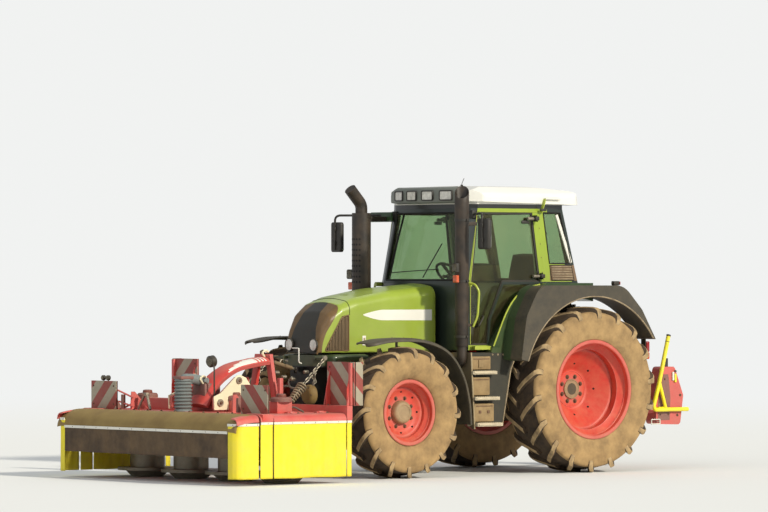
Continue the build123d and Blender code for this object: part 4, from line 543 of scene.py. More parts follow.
def add_lathe(bm, profile, segments=64, materials=None, closed=True, place=None):
    """A profile of (x, radius) points, turned about the X axis. materials gives one index for each run."""
    place = place or Matrix.Identity(4)
    rows = []
    for x, r in profile:
        if r < 1e-6:
            rows.append([bm.verts.new(place @ Vector((x, 0, 0)))] * segments)
        else:
            rows.append([bm.verts.new(place @ Vector((x, -r * math.sin(2 * math.pi * i / segments),
                                                      r * math.cos(2 * math.pi * i / segments))))
                         for i in range(segments)])
    pairs = list(zip(rows, rows[1:]))
    if closed:
        pairs.append((rows[-1], rows[0]))
    for index, (low, high) in enumerate(pairs):
        for i in range(segments):
            j = (i + 1) % segments
            corners = []
            for v in (low[i], low[j], high[j], high[i]):
                if v not in corners:
                    corners.append(v)
            if len(corners) > 2:
                bm.faces.new(corners).material_index = materials[index] if materials else 0


def add_hex(bm, place, axis, radius, height, washer=True, material=0):
    """A bolt's head with its washer, standing on a face."""
    axis = Vector(axis).normalized()
    place = Vector(place)
    if washer:
        add_cylinder(bm, place, place + axis * height * 0.25, radius * 1.45, sides=16, material=material)
        place = place + axis * height * 0.25
    add_cylinder(bm, place, place + axis * height, radius, sides=6, material=material, chamfer=radius * 0.12)
    add_cylinder(bm, place + axis * height, place + axis * height * 1.35, radius * 0.5, sides=10, material=material)


def add_plate(bm, outline, run, material=0):
    """A flat outline of 3-D points, thickened by a run."""
    run = Vector(run)
    low = [bm.verts.new(Vector(p)) for p in outline]
    high = [bm.verts.new(Vector(p) + run) for p in outline]
    count = len(outline)
    bm.faces.new(low[::-1]).material_index = material
    bm.faces.new(high).material_index = material
    for i in range(count):
        bm.faces.new((low[i], low[(i + 1) % count], high[(i + 1) % count], high[i])).material_index = material


def side_plate(bm, side, x, outline, thick, material=0):
    """A plate with a side view's outline of (y, z) points, on one side of the machine."""
    add_plate(bm, [Vector((side * x, Y(y), z)) for y, z in outline], (side * thick, 0, 0), material=material)


def smooth_line(points, steps):
    """A Catmull-Rom line through points of any number of columns."""
    out = []
    last = len(points) - 1
    for i in range(last):
        p0, p1, p2, p3 = (points[max(i - 1, 0)], points[i], points[i + 1], points[min(i + 2, last)])
        for k in range(steps):
            t = k / steps
            out.append(tuple(
                0.5 * (2 * b + (c - a) * t + (2 * a - 5 * b + 4 * c - d) * t * t + (3 * b - a - 3 * c + d) * t ** 3)
                for a, b, c, d in zip(p0, p1, p2, p3)))
    out.append(tuple(points[-1]))
    return out


# Wheels, built about their own centre with the outboard side at +X

def add_tyre(bm, tyre):
    """A tyre's carcass and its two rows of staggered lugs. Materials: 0 tread, 1 sidewall, 2 lugs."""
    lug_top, lug_base, foot, crown = tyre["lug_top"], tyre["lug_base"], tyre["foot"], tyre["crown"]
    side = smooth_line(tyre["half_profile"], 4)
    profile = side + [(-x, r) for x, r in reversed(side)]
    tread_edge = lug_base[3][1]
    materials = [0 if (r0 + r1) / 2 > tread_edge else 1 for (_, r0), (_, r1) in zip(profile, profile[1:])]
    add_lathe(bm, profile, segments=120, materials=materials + [1])
    stations = len(lug_top)
    for hand in (-1, 1):
        for index in range(tyre["lugs"]):
            start = 2 * math.pi * (index + (0.5 if hand > 0 else 0.0)) / tyre["lugs"]
            rows = []
            for k in range(stations):
                share = k / (stations - 1)
                angle = start - math.radians(tyre["sweep"]) * (1 - (1 - min(1.0, share * 1.25)) ** 1.5)
                taper = 1.0 - 0.25 * max(0.0, share - 0.7) / 0.3
                row = []
                for (x, r), offset in ((lug_base[k], -foot), (lug_top[k], -crown), (lug_top[k], crown),
                                       (lug_base[k], foot)):
                    turn = angle + offset * taper / tyre["radius"]
                    row.append(Vector((hand * x, -r * math.sin(turn), r * math.cos(turn))))
                middle = (row[1] + row[2]) / 2
                out_left = row[1] + (row[0] - row[1]).normalized() * LUG_EDGE_DOWN
                out_right = row[2] + (row[3] - row[2]).normalized() * LUG_EDGE_DOWN
                in_left = row[1] + (middle - row[1]).normalized() * LUG_EDGE_IN
                in_right = row[2] + (middle - row[2]).normalized() * LUG_EDGE_IN
                rows.append([row[0], out_left, in_left, in_right, out_right, row[3]])
            made = [[bm.verts.new(p) for p in row] for row in rows]
            for low, high in zip(made, made[1:]):
                for a in range(5):
                    corners = (low[a], low[a + 1], high[a + 1], high[a])
                    bm.faces.new(corners if hand > 0 else corners[::-1]).material_index = 2 if 0 < a < 4 else 0
            bm.faces.new(made[0] if hand < 0 else made[0][::-1]).material_index = 0
            bm.faces.new(made[-1][::-1] if hand < 0 else made[-1]).material_index = 2


# How far a lug's worn edge reaches down its flank and in over its top
LUG_EDGE_DOWN = 0.007
LUG_EDGE_IN = 0.006
# Tyres: profiles are (x, radius), sweep is in degrees, foot and crown are a lug's half widths
REAR_TYRE = {
    "radius": 0.850, "lugs": 18, "sweep": 14.5, "foot": 0.043, "crown": 0.029,
    "half_profile": ((0.2207, 0.4833), (0.2207, 0.509), (0.233, 0.515), (0.252, 0.56), (0.2595, 0.65),
                     (0.256, 0.72), (0.245, 0.768), (0.225, 0.79), (0.18, 0.80), (0.10, 0.806), (0.0, 0.808)),
    "lug_top": ((0.012, 0.850), (0.07, 0.850), (0.13, 0.849), (0.19, 0.846), (0.232, 0.838), (0.252, 0.815),
                (0.2595, 0.770), (0.258, 0.735)),
    "lug_base": ((0.012, 0.802), (0.07, 0.802), (0.13, 0.800), (0.19, 0.796), (0.222, 0.785), (0.238, 0.765),
                 (0.250, 0.740), (0.254, 0.725)),
}
FRONT_TYRE = {
    "radius": 0.655, "lugs": 16, "sweep": 15.5, "foot": 0.037, "crown": 0.025,
    "half_profile": ((0.1527, 0.3053), (0.1527, 0.333), (0.165, 0.338), (0.195, 0.372), (0.218, 0.44),
                     (0.2195, 0.50), (0.212, 0.555), (0.196, 0.588), (0.165, 0.602), (0.09, 0.610), (0.0, 0.612)),
    "lug_top": ((0.010, 0.655), (0.06, 0.655), (0.11, 0.654), (0.155, 0.650), (0.192, 0.640), (0.212, 0.615),
                (0.2195, 0.575), (0.2185, 0.545)),
    "lug_base": ((0.010, 0.606), (0.06, 0.606), (0.11, 0.604), (0.155, 0.600), (0.182, 0.590), (0.198, 0.572),
                 (0.211, 0.550), (0.215, 0.537)),
}
# Rim profiles: (x, radius), closed. The disc, the hub and the cap follow as loops of their own.
REAR_RIM = {
    "barrel": ((-0.235, 0.505), (-0.221, 0.505), (-0.221, 0.483), (-0.133, 0.483), (-0.080, 0.430), (0.110, 0.430),
               (0.163, 0.483), (0.221, 0.483), (0.221, 0.503), (0.226, 0.509), (0.234, 0.509), (0.239, 0.502),
               (0.239, 0.480), (0.232, 0.471), (0.184, 0.470), (0.181, 0.464), (0.175, 0.463), (0.172, 0.468),
               (0.122, 0.420), (0.119, 0.412), (0.112, 0.412), (0.110, 0.418), (-0.087, 0.416), (-0.147, 0.469),
               (-0.235, 0.469)),
    "disc": ((0.036, 0.418), (0.040, 0.410), (0.040, 0.398), (0.033, 0.386), (0.018, 0.372), (-0.100, 0.228),
             (-0.114, 0.214), (-0.122, 0.203), (-0.125, 0.190), (-0.121, 0.187), (-0.121, 0.182), (-0.125, 0.179),
             (-0.125, 0.090), (-0.137, 0.090), (-0.137, 0.203), (-0.112, 0.236), (0.006, 0.382), (0.020, 0.398),
             (0.024, 0.418)),
    "hub": ((-0.150, 0.062), (-0.150, 0.150), (-0.137, 0.160), (-0.137, 0.080), (-0.120, 0.062)),
    "cap": ((-0.126, 0.102), (-0.112, 0.102), (-0.108, 0.098), (-0.108, 0.091), (-0.112, 0.088), (-0.112, 0.060),
            (-0.118, 0.055), (-0.118, 0.0), (-0.140, 0.0), (-0.140, 0.102)),
    "bolts": 8, "bolt_circle": 0.134, "bolt_x": -0.125, "bolt_radius": 0.016, "bolt_height": 0.014,
    "holes": 8, "hole_circle": 0.262, "hole_radius": 0.011, "hole_x": -0.072, "hole_lean": 39.0,
}
FRONT_RIM = {
    "barrel": ((-0.167, 0.325), (-0.153, 0.325), (-0.153, 0.305), (-0.097, 0.305), (-0.060, 0.268), (0.070, 0.268),
               (0.107, 0.305), (0.153, 0.305), (0.153, 0.323), (0.158, 0.329), (0.165, 0.329), (0.170, 0.322),
               (0.170, 0.302), (0.164, 0.293), (0.126, 0.291), (0.123, 0.286), (0.117, 0.285), (0.113, 0.289),
               (0.079, 0.256), (0.067, 0.254), (-0.067, 0.254), (-0.111, 0.291), (-0.167, 0.291)),
    "disc": ((0.046, 0.256), (0.050, 0.248), (0.050, 0.236), (0.045, 0.226), (0.034, 0.214), (0.020, 0.190),
             (0.016, 0.176), (0.016, 0.100), (0.004, 0.100), (0.004, 0.180), (0.022, 0.218), (0.034, 0.256)),
    "hub": ((-0.080, 0.048), (-0.080, 0.112), (0.002, 0.120), (0.004, 0.080), (0.016, 0.048)),
    "cap": ((0.010, 0.120), (0.026, 0.120), (0.060, 0.112), (0.074, 0.100), (0.080, 0.084), (0.080, 0.074),
            (0.076, 0.070), (0.076, 0.0), (0.004, 0.0), (0.004, 0.120)),
    "bolts": 8, "bolt_circle": 0.150, "bolt_x": 0.016, "bolt_radius": 0.014, "bolt_height": 0.013,
    "holes": 8, "hole_circle": 0.203, "hole_radius": 0.010, "hole_x": 0.029, "hole_lean": 32.0,
}
WHEELS = (
    # name, centre x, centre y, centre z, tyre, rim
    ("rear", 0.840, REAR_Y, 0.850, REAR_TYRE, REAR_RIM),
    ("front", 0.880, FRONT_Y, 0.655, FRONT_TYRE, FRONT_RIM),
)


def round_places(count, radius, offset=0.5):
    """Angles and places evenly round the X axis."""
    for index in range(count):
        angle = 2 * math.pi * (index + offset) / count
        yield angle, Vector((0, -radius * math.sin(angle), radius * math.cos(angle)))


def rim_mesh(rim):
    """Barrel, dished disc, hub and cap, with bolts and holes. Materials: 0 paint, 1 hub, 2 bolts, 3 near black for the
    valve and as painted shade in the holes.
    """
    bm = bmesh.new()
    for part, material in (("barrel", 0), ("disc", 0), ("hub", 1), ("cap", 1)):
        profile = rim[part]
        add_lathe(bm, profile, segments=96, materials=[material] * len(profile))
    for _, place in round_places(rim["bolts"], rim["bolt_circle"]):
        add_hex(bm, place + Vector((rim["bolt_x"], 0, 0)), (1, 0, 0), rim["bolt_radius"], rim["bolt_height"],
                material=2)
    lean = math.radians(rim["hole_lean"])
    for angle, place in round_places(rim["holes"], rim["hole_circle"], offset=0.0):
        inward = -place.normalized()
        out = Vector((math.sin(lean), 0, 0)) + inward * math.cos(lean)
        middle = place + Vector((rim["hole_x"], 0, 0))
        add_cylinder(bm, middle - out * 0.006, middle + out * 0.003, rim["hole_radius"], sides=16, material=3)
    valve_angle = 2.2
    valve_reach = rim["barrel"][-3][1] - 0.012
    valve = Vector((rim["disc"][0][0] + 0.02, -valve_reach * math.sin(valve_angle),
                    valve_reach * math.cos(valve_angle)))
    add_cylinder(bm, valve, valve + Vector((0.035, 0, 0)), 0.005, sides=10, material=3)
    return bm


def placed(bm, centre, side):
    """Moves a wheel's mesh to its place, and mirrors it for the right side."""
    for v in bm.verts:
        v.co = Vector((v.co.x * side, v.co.y, v.co.z)) + Vector((centre[0] * side, centre[1], centre[2]))
    return bm


def make_wheels():
    """Four wheels, each as a tyre and a rim."""
    for name, x, y, z, tyre, rim in WHEELS:
        for side, side_name in SIDES:
            body = f"wheel_{name}_{side_name}"
            bm = bmesh.new()
            add_tyre(bm, tyre)
            piece = add_piece(f"{name}_tyre_{side_name}_tread", placed(bm, (x, y, z), side), body,
                              ("tread", "sidewall", "lug"), smooth=38)
            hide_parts(f"{name}_tyre_{side_name}")
            piece = add_piece(f"{name}_rim_{side_name}_dish", placed(rim_mesh(rim), (x, y, z), side), body,
                              ("rim", "hub", "bolt", "near_black_and_painted_shade"), smooth=32)
            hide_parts(f"{name}_rim_{side_name}")


# Bonnet, mask and side grilles

BONNET_STATIONS = (
    # y from the rear axle, half width, top z, corner radius
    (-1.520, 0.360, 1.935, 0.110), (-2.100, 0.350, 1.888, 0.110), (-2.520, 0.335, 1.818, 0.105),
    (-2.700, 0.322, 1.752, 0.095), (-2.830, 0.300, 1.655, 0.085), (-2.915, 0.272, 1.505, 0.070),
    (-2.948, 0.250, 1.370, 0.055), (-2.955, 0.244, 1.300, 0.050),
)
BONNET_BOTTOM = 1.245
BONNET_CROWN = 0.022
BONNET_SKIN = 0.010
MASK_SEAM = ((-2.700, 1.770), (-2.722, 1.690), (-2.800, 1.560), (-2.868, 1.450), (-2.905, 1.340), (-2.918, 1.240))
GRILLE_REAR = -2.620
GRILLE_LOW = 1.262
GRILLE_HIGH = 1.610
GRILLE = ((GRILLE_REAR, 1.620), (-2.700, 1.600), (-2.830, 1.380), (-2.885, GRILLE_LOW), (GRILLE_REAR, GRILLE_LOW))
GRILLE_FRONT = GRILLE[1:4]
SECTION_STEPS = 10


def bonnet_section(y):
    """Half width, top height and corner radius of the bonnet at a place along Y."""
    rows = BONNET_STATIONS
    for before, after in zip(rows, rows[1:]):
        if before[0] >= y >= after[0]:
            share = (y - before[0]) / (after[0] - before[0])
            return tuple(a + (b - a) * share for a, b in zip(before[1:], after[1:]))
    return rows[0][1:] if y > rows[0][0] else rows[-1][1:]


def bonnet_rows(stations, grow=0.0, bottom=BONNET_BOTTOM):
    """Rows of points over the bonnet from its left foot to its right foot, for a list of places along Y."""
    rows = []
    for y in stations:
        half, top, corner = bonnet_section(y)
        half, top = half + grow, top + grow
        corner = max(0.02, min(corner, (top - bottom) * 0.8))
        row = []
        for step in range(SECTION_STEPS + 1):
            share = step / SECTION_STEPS
            row.append(Vector((half, Y(y), bottom + (top - corner - BONNET_CROWN - bottom) * share)))
        for step in range(1, SECTION_STEPS + 1):
            angle = math.pi / 2 * step / SECTION_STEPS
            row.append(Vector((half - corner + corner * math.cos(angle), Y(y),
                               top - corner - BONNET_CROWN + corner * math.sin(angle))))
        for step in range(1, SECTION_STEPS + 1):
            share = step / SECTION_STEPS
            across = (half - corner) * (1 - share)
            lift = BONNET_CROWN * (1 - (across / max(1e-6, half - corner)) ** 2)
            row.append(Vector((across, Y(y), top - BONNET_CROWN + lift)))
        rows.append(row + [Vector((-p.x, p.y, p.z)) for p in reversed(row[:-1])])
    return rows


MASK_EDGE = smooth_line(MASK_SEAM, 3)
# Width of the green strip between the mask and the grille
BAND = 0.045
BONNET_REAR = BONNET_STATIONS[0][0]
BONNET_FRONT = BONNET_STATIONS[-1][0]
# Ahead of this place the nose bends, and its rows lie closer
NOSE_FROM = -2.60
NOSE_STEP = 0.012
BONNET_STEP = 0.03


def y_on_line(points, z):
    """The place along Y of a line of (y, z) points at a height, held at the line's ends."""
    if z >= points[0][1]:
        return points[0][0]
    for (y0, z0), (y1, z1) in zip(points, points[1:]):
        if z0 >= z >= z1:
            return y0 + (y1 - y0) * (z0 - z) / (z0 - z1)
    return points[-1][0]


def make_bonnet():
    """The shell in smooth rows. Materials: 0 green, 1 the mask on the nose, 2 near black painted as shade behind the
    grilles.
    """
    stations = []
    y = BONNET_REAR
    while y > BONNET_FRONT:
        stations.append(y)
        y -= NOSE_STEP if y < NOSE_FROM else BONNET_STEP
    stations.append(BONNET_FRONT)
    bm = bmesh.new()
    made = [[bm.verts.new(p) for p in row] for row in bonnet_rows(stations)]
    for low, high in zip(made, made[1:]):
        for i in range(len(low) - 1):
            bm.faces.new((low[i], low[i + 1], high[i + 1], high[i]))
    nose = bm.faces.new(made[-1])
    bmesh.ops.triangulate(bm, faces=[nose])
    # the shell is cut along the lines where its colour changes
    cuts = list(zip(MASK_EDGE, MASK_EDGE[1:]))
    cuts += [((y0 + BAND, z0), (y1 + BAND, z1)) for (y0, z0), (y1, z1) in cuts]
    cuts += list(zip(GRILLE_FRONT, GRILLE_FRONT[1:]))
    cuts += [((NOSE_FROM, z), (NOSE_FROM - 0.3, z)) for z in (GRILLE_LOW, GRILLE_HIGH)]
    cuts.append(((GRILLE_REAR, 1.2), (GRILLE_REAR, 1.7)))
    for (y0, z0), (y1, z1) in cuts:
        bmesh.ops.bisect_plane(bm, geom=bm.verts[:] + bm.edges[:] + bm.faces[:], dist=1e-6,
                               plane_co=Vector((0, Y(y0), z0)), plane_no=Vector((0, z1 - z0, y0 - y1)))
    for face in bm.faces:
        middle = face.calc_center_median() - Vector((0, REAR_Y, 0))
        seam = y_on_line(MASK_EDGE, middle.z)
        flank = abs(middle.x) > bonnet_section(middle.y)[0] - 0.012
        grille_front = max(y_on_line(GRILLE_FRONT, middle.z), seam + BAND)
        if middle.y < seam:
            face.material_index = 1
        # Behind the grilles the shell is painted near black as shade.
        elif flank and GRILLE_LOW < middle.z < GRILLE_HIGH and grille_front < middle.y < GRILLE_REAR:
            face.material_index = 2
    piece = add_piece("bonnet_shell", bm, "bonnet", ("green", "mask", "near_black_and_painted_shade"))
    add_skin(piece, BONNET_SKIN)
    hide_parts("bonnet", "nose_mask", "side_grilles")


SLATS = 15
FIRST_SLAT_Y = -2.635
SLAT_PITCH = 0.0165


def make_grilles():
    """Upright slats in a frame on each side of the nose."""
    bm = bmesh.new()
    for side in (1, -1):
        outline = [Vector((side * (bonnet_section(y)[0] + 0.003), Y(y), z)) for y, z in GRILLE + GRILLE[:1]]
        add_tube(bm, outline + [outline[1]], 0.007, bend=0.02, sides=8, material=1)
        for index in range(SLATS):
            y = FIRST_SLAT_Y - index * SLAT_PITCH
            half = bonnet_section(y)[0]
            top = 1.605 if y > -2.70 else None
            if top is None:
                for (y0, z0), (y1, z1) in zip(GRILLE_FRONT, GRILLE_FRONT[1:]):
                    if y0 >= y >= y1:
                        top = z0 + (z1 - z0) * (y - y0) / (y1 - y0)
                top = (top or 1.3) - 0.012
            if top < 1.30:
                continue
            add_box(bm, (side * (half + 0.001) - 0.005, side * (half + 0.001) + 0.005),
                    (Y(y) - 0.0045, Y(y) + 0.0045), (1.266, top), bevel=0.002)
    add_piece("grille_slats", bm, "bonnet", ("vent", "mask"))


STRIPE_Y = (-1.565, -2.440)
STRIPE_Z = (1.562, 1.672)
STRIPE_COLUMNS = 44
SEAM_Y = -2.615


def make_bonnet_trim():
    """The dark seam behind the nose, the bare stripe and the handle, on both sides."""
    bm = bmesh.new()
    half = bonnet_section(SEAM_Y)[0] + 0.0005
    for side in (1, -1):
        heights = [GRILLE_LOW + (1.60 - GRILLE_LOW) * step / 15 for step in range(16)]
        add_tube(bm, [Vector((side * half, Y(SEAM_Y), z)) for z in heights], 0.0035, bend=0, sides=6)
    over = bonnet_rows((SEAM_Y + 0.007,), grow=0.0006)[0]
    add_tube(bm, over[9:-9], 0.003, bend=0, sides=6)
    add_piece("bonnet_seam", bm, "bonnet", ("near_black_and_painted_shade",))
    bm = bmesh.new()
    for side in (1, -1):
        rows = []
        for step in range(STRIPE_COLUMNS + 1):
            share = step / STRIPE_COLUMNS
            y = STRIPE_Y[0] + (STRIPE_Y[1] - STRIPE_Y[0]) * share
            point = max(0.0, (share - 0.72) / 0.28)
            low = STRIPE_Z[0] + 0.006 * share + 0.050 * point ** 1.6
            high = STRIPE_Z[1] - 0.046 * point ** 1.4
            out = side * (bonnet_section(y)[0] + 0.0012)
            back = side * (bonnet_section(y)[0] - 0.0030)
            rows.append([bm.verts.new(Vector((x, Y(y), z)))
                         for x, z in ((out, low), (out, (low + high) / 2), (out, high), (back, high), (back, low))])
        close_rows(bm, rows)
    add_piece("bonnet_stripe", bm, "bonnet", ("white",))
    bm = bmesh.new()
    half = bonnet_section(-2.43)[0]
    for side in (1, -1):
        add_box(bm, span(side, half - 0.004, half + 0.005), stretch(-2.452, -2.408), (1.315, 1.412), bevel=0.004)
        add_box(bm, span(side, half + 0.003, half + 0.011), stretch(-2.440, -2.420), (1.335, 1.392), bevel=0.004,
                material=1)
    add_piece("bonnet_handles", bm, "bonnet", ("pale", "step"))


HEADLAMPS = ((0.196, -2.958, 1.322), (-0.196, -2.958, 1.322))


def make_headlamps():
    """Round lamps with a rim, a bright bowl and a lens painted pale as the light it catches, low in the mask."""
    bm = bmesh.new()
    for x, y, z in HEADLAMPS:
        turn = Matrix.Translation(Vector((x, Y(y), z))) @ Matrix.Rotation(-math.pi / 2, 4, "Z")
        add_lathe(bm, ((0.0, 0.066), (0.014, 0.066), (0.018, 0.062), (0.016, 0.057), (0.004, 0.056), (0.0, 0.060)),
                  segments=48, materials=[0] * 6, place=turn)
        add_lathe(bm, ((0.004, 0.056), (-0.012, 0.040), (-0.020, 0.018), (-0.022, 0.0), (-0.024, 0.0),
                       (-0.022, 0.020), (-0.014, 0.042), (0.002, 0.058)), segments=48, materials=[1] * 8, place=turn)
        add_lathe(bm, ((0.012, 0.056), (0.016, 0.040), (0.018, 0.020), (0.0185, 0.0), (0.0165, 0.0), (0.016, 0.020),
                       (0.014, 0.040), (0.010, 0.056)), segments=48, materials=[2] * 8, place=turn)
    add_piece("headlamps", bm, "bonnet", ("black", "reflector", "lens_glint_and_pale_plate"))


# Front mower: boards, deck, guards, cover, springs and chains

# Boards: inner and outer x, y from the rear axle, low and high z
FRONT_BOARD = (1.027, 1.450, -4.500, 0.680, 0.962)
REAR_BOARD = (1.059, 1.482, -3.462, 0.750, 1.173)
BOARD_EDGE = 0.010
BOARD_FOLD = 0.10
DRUM_X = (-1.095, -0.365, 0.365, 1.095)
DRUM_Y = -4.07
STRIPE_PITCH = 0.29
STRIPE_RED = srgb(140, 8, 12)
STRIPE_PALE = srgb(160, 152, 132)


def striped(name, hand):
    """Stripes that slant across X and Z toward one hand, in two dusty finishes."""
    material = surface(name, STRIPE_RED, 0.50, vary=0.16, scale=7, grain=140, bump=0.12, dust=0.18, dust_low=0.4,
                       dust_high=2.2, dust_colour=srgb(160, 128, 92), wear=0.2)
    tree, socket, colour = painted(material)
    place = object_place(tree)
    parts = split(tree, place)
    back = maths(tree, "ADD", maths(tree, "MULTIPLY", parts["X"], hand), parts["Y"])
    turn = maths(tree, "DIVIDE", maths(tree, "ADD", back, parts["Z"]), STRIPE_PITCH)
    edge = maths(tree, "GREATER_THAN", maths(tree, "FRACT", turn), 0.5)
    stripes = mixed(tree, edge, colour, STRIPE_PALE)
    dull = mapped(tree, cloudy(tree, place, 16.0, 7.0, 0.7), 0.35, 0.7, 0.0, 0.22)
    tree.links.new(mixed(tree, dull, stripes, srgb(120, 92, 66)), socket)
    return material


def make_boards():
    """Striped warning boards with raised edges and bolts, and the rear boards' folded outer sides."""
    for side, hand in SIDES:
        for label, (x0, x1, y, z0, z1) in (("front", FRONT_BOARD), ("rear", REAR_BOARD)):
            bm = bmesh.new()
            low, high = span(side, x0, x1)
            edge_y = (Y(y) - 0.003, Y(y) + 0.012)
            add_box(bm, (low, high), (Y(y) - 0.011, Y(y) - 0.003), (z0, z1), bevel=0.003)
            for x in (low + BOARD_EDGE / 2, high - BOARD_EDGE / 2):
                add_box(bm, (x - BOARD_EDGE / 2, x + BOARD_EDGE / 2), edge_y, (z0, z1), bevel=0.002, material=1)
            add_box(bm, (low, high), edge_y, (z1 - BOARD_EDGE, z1), bevel=0.002, material=1)
            for x in (low + 0.04, high - 0.04):
                for z in (z0 + 0.05, z1 - 0.05):
                    add_hex(bm, (x, Y(y) - 0.011, z), (0, -1, 0), 0.007, 0.005, material=2)
            if label == "rear":
                add_box(bm, span(side, x1, x1 - 0.008), (Y(y) - 0.003, Y(y) + BOARD_FOLD), (z0, z1), bevel=0.003)
            add_piece(f"{label}_board_{hand}", bm, "mower", (f"stripe_{hand}", "deep_red", "bolt"))


def make_deck():
    """The deck's beam ends, the stays of its guards, the drums' caps and two rows of bolts."""
    bm = bmesh.new()
    for side in (1, -1):
        add_box(bm, span(side, 1.19, 1.485), stretch(-4.600, -4.470), (0.622, 0.688), bevel=0.018)
        add_box(bm, span(side, 1.19, 1.462), stretch(-3.560, -3.502), (0.622, 0.752), bevel=0.014)
        for y in (-4.30, -3.86):
            add_tube(bm, line(side, (1.176, y, 0.69), (1.05, y, 0.73), (0.92, y, 0.73)), 0.010, bend=0.02, sides=8,
                     material=1)
    for x in DRUM_X:
        add_lathe(bm, ((0.0, 0.105), (0.030, 0.105), (0.045, 0.094), (0.050, 0.050), (0.075, 0.046), (0.080, 0.030),
                       (0.080, 0.0), (0.0, 0.0)), segments=32, materials=[2] * 8,
                  place=Matrix.Translation(Vector((x, Y(DRUM_Y), 0.790))) @ Matrix.Rotation(-math.pi / 2, 4, "Y"))
        for _, place in round_places(6, 0.080):
            add_hex(bm, (x + place.y, Y(DRUM_Y) + place.z, 0.822), (0, 0, 1), 0.008, 0.008, washer=False, material=3)
    for step in range(11):
        for y, z in ((-4.535, 0.6805), (-3.53, 0.7505)):
            add_hex(bm, (-1.15 + step * 0.23, Y(y), z), (0, 0, 1), 0.009, 0.008, material=3)
    add_piece("deck_fittings", bm, "mower", ("red", "steel", "deep_red", "bolt"))


def make_brackets():
    """The boards' supports, the far board's lamps, the round lamp on a stalk, and the far latch."""
    bm = bmesh.new()
    for side in (1, -1):
        for x in (1.075, 1.43):
            side_plate(bm, side, x, ((-3.530, 0.752), (-3.456, 1.12), (-3.456, 0.755)), 0.012)
        add_box(bm, span(side, 1.425, 1.460), stretch(-3.500, -3.470), (0.752, 1.165), bevel=0.004)
        side_plate(bm, side, 1.14, ((-4.488, 0.688), (-4.35, 0.688), (-4.488, 0.90)), 0.010, material=1)
        add_box(bm, span(side, 0.93, 0.965), stretch(-4.495, -4.462), (0.688, 0.83), bevel=0.004, material=1)
        side_plate(bm, side, 0.83, ((-4.47, 0.684), (-4.25, 0.684), (-4.42, 0.86), (-4.46, 0.86)), 0.012)
    add_piece("mower_brackets", bm, "mower", ("red", "deep_red"))
    bm = bmesh.new()
    for x in (-1.25, -1.17):
        for y, z, end_y, end_z, radius, sides, material, chamfer in (
                (-4.52, 0.992, -4.485, 0.992, 0.026, 24, 0, 0.005),
                (-4.5235, 0.992, -4.519, 0.992, 0.020, 24, 1, 0.002),
                (-4.50, 0.962, -4.50, 0.970, 0.006, 8, 0, 0.0)):
            add_cylinder(bm, *line(1, (x, y, z), (x, end_y, end_z)), radius, sides=sides, material=material,
                         chamfer=chamfer)
    add_tube(bm, line(1, (0.19, -4.20, 0.80), (0.19, -4.20, 1.12), (0.12, -4.17, 1.16)), 0.008, bend=0.04, sides=8)
    add_cylinder(bm, *line(1, (0.10, -4.20, 1.165), (0.10, -4.13, 1.175)), 0.058, sides=32, chamfer=0.012)
    add_cylinder(bm, *line(1, (0.10, -4.2035, 1.1645), (0.10, -4.198, 1.165)), 0.046, sides=32, material=1,
                 chamfer=0.003)
    add_piece("mower_lamps", bm, "mower", ("black", "lens"))
    bm = bmesh.new()
    for start, end in (((-1.02, -4.49, 0.87), (-0.80, -4.46, 0.80)), ((-1.00, -4.49, 0.76), (-0.80, -4.46, 0.71))):
        add_cylinder(bm, *line(1, start, end), 0.009, sides=10)
    for x0, x1 in ((-0.80, -0.72), (-0.60, -0.68)):
        add_tube(bm, line(1, (x0, -4.40, 0.686), (x1, -4.38, 0.83)), 0.014, bend=0, sides=8, material=1)
    add_box(bm, (-0.735, -0.665), stretch(-4.40, -4.36), (0.815, 0.85), bevel=0.006, material=1)
    add_piece("mower_latch", bm, "mower", ("red", "steel"))


COVER_LINE = (
    # y from the rear axle and z, over the front guard from its hinge to its lip
    (-4.640, 0.686), (-4.700, 0.690), (-4.770, 0.684), (-4.840, 0.655), (-4.890, 0.610), (-4.912, 0.560),
    (-4.916, 0.520),
)
LIP_HALF = 1.470
COVER_SKIN = 0.008


def make_front_cover():
    """The brown cover over the front guard in shallow waves, and its pale lip with bolts."""
    section = smooth_line(COVER_LINE, 5)
    columns = 90
    bm = bmesh.new()
    rows = []
    for step in range(columns + 1):
        x = -LIP_HALF + 2 * LIP_HALF * step / columns
        edge = min(1.0, (LIP_HALF - abs(x)) / 0.16)
        shrink = 1 - 0.10 * (1 - math.sqrt(max(0.0, 1 - (1 - edge) ** 2)))
        row = []
        for index, (y, z) in enumerate(section):
            share = index / (len(section) - 1)
            wave = 0.006 * noise.noise(Vector((x * 2.4, y * 3.0, 5.0))) + 0.003 * noise.noise(
                Vector((x * 8.0, y * 6.0, 1.0)))
            low = 0.40
            top = low + (z - low) * shrink + wave * math.sin(math.pi * min(1.0, share * 1.2)) - 0.003
            row.append(Vector((x, Y(y + 0.004) + wave * 0.5 * share, min(top, 0.694))))
        rows.append(row)
    made = [[bm.verts.new(p) for p in row] for row in rows]
    for low, high in zip(made, made[1:]):
        for i in range(len(low) - 1):
            bm.faces.new((low[i], high[i], high[i + 1], low[i + 1]))
    piece = add_piece("front_cover", bm, "front_guard", ("cover",))
    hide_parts("front_guard")
    add_skin(piece, COVER_SKIN)
    bm = bmesh.new()
    add_tube(bm, line(1, (-1.34, -4.9155, 0.512), (1.34, -4.9155, 0.512)), 0.0, bend=0,
             flat=(0.004, 0.013, (0, 0, 1)))
    for index in range(-6, 7):
        add_hex(bm, (index * 0.2, Y(-4.9195), 0.512), (0, -1, 0), 0.0055, 0.001, washer=False, material=1)
    add_piece("front_lip", bm, "front_guard", ("pale", "bolt"))


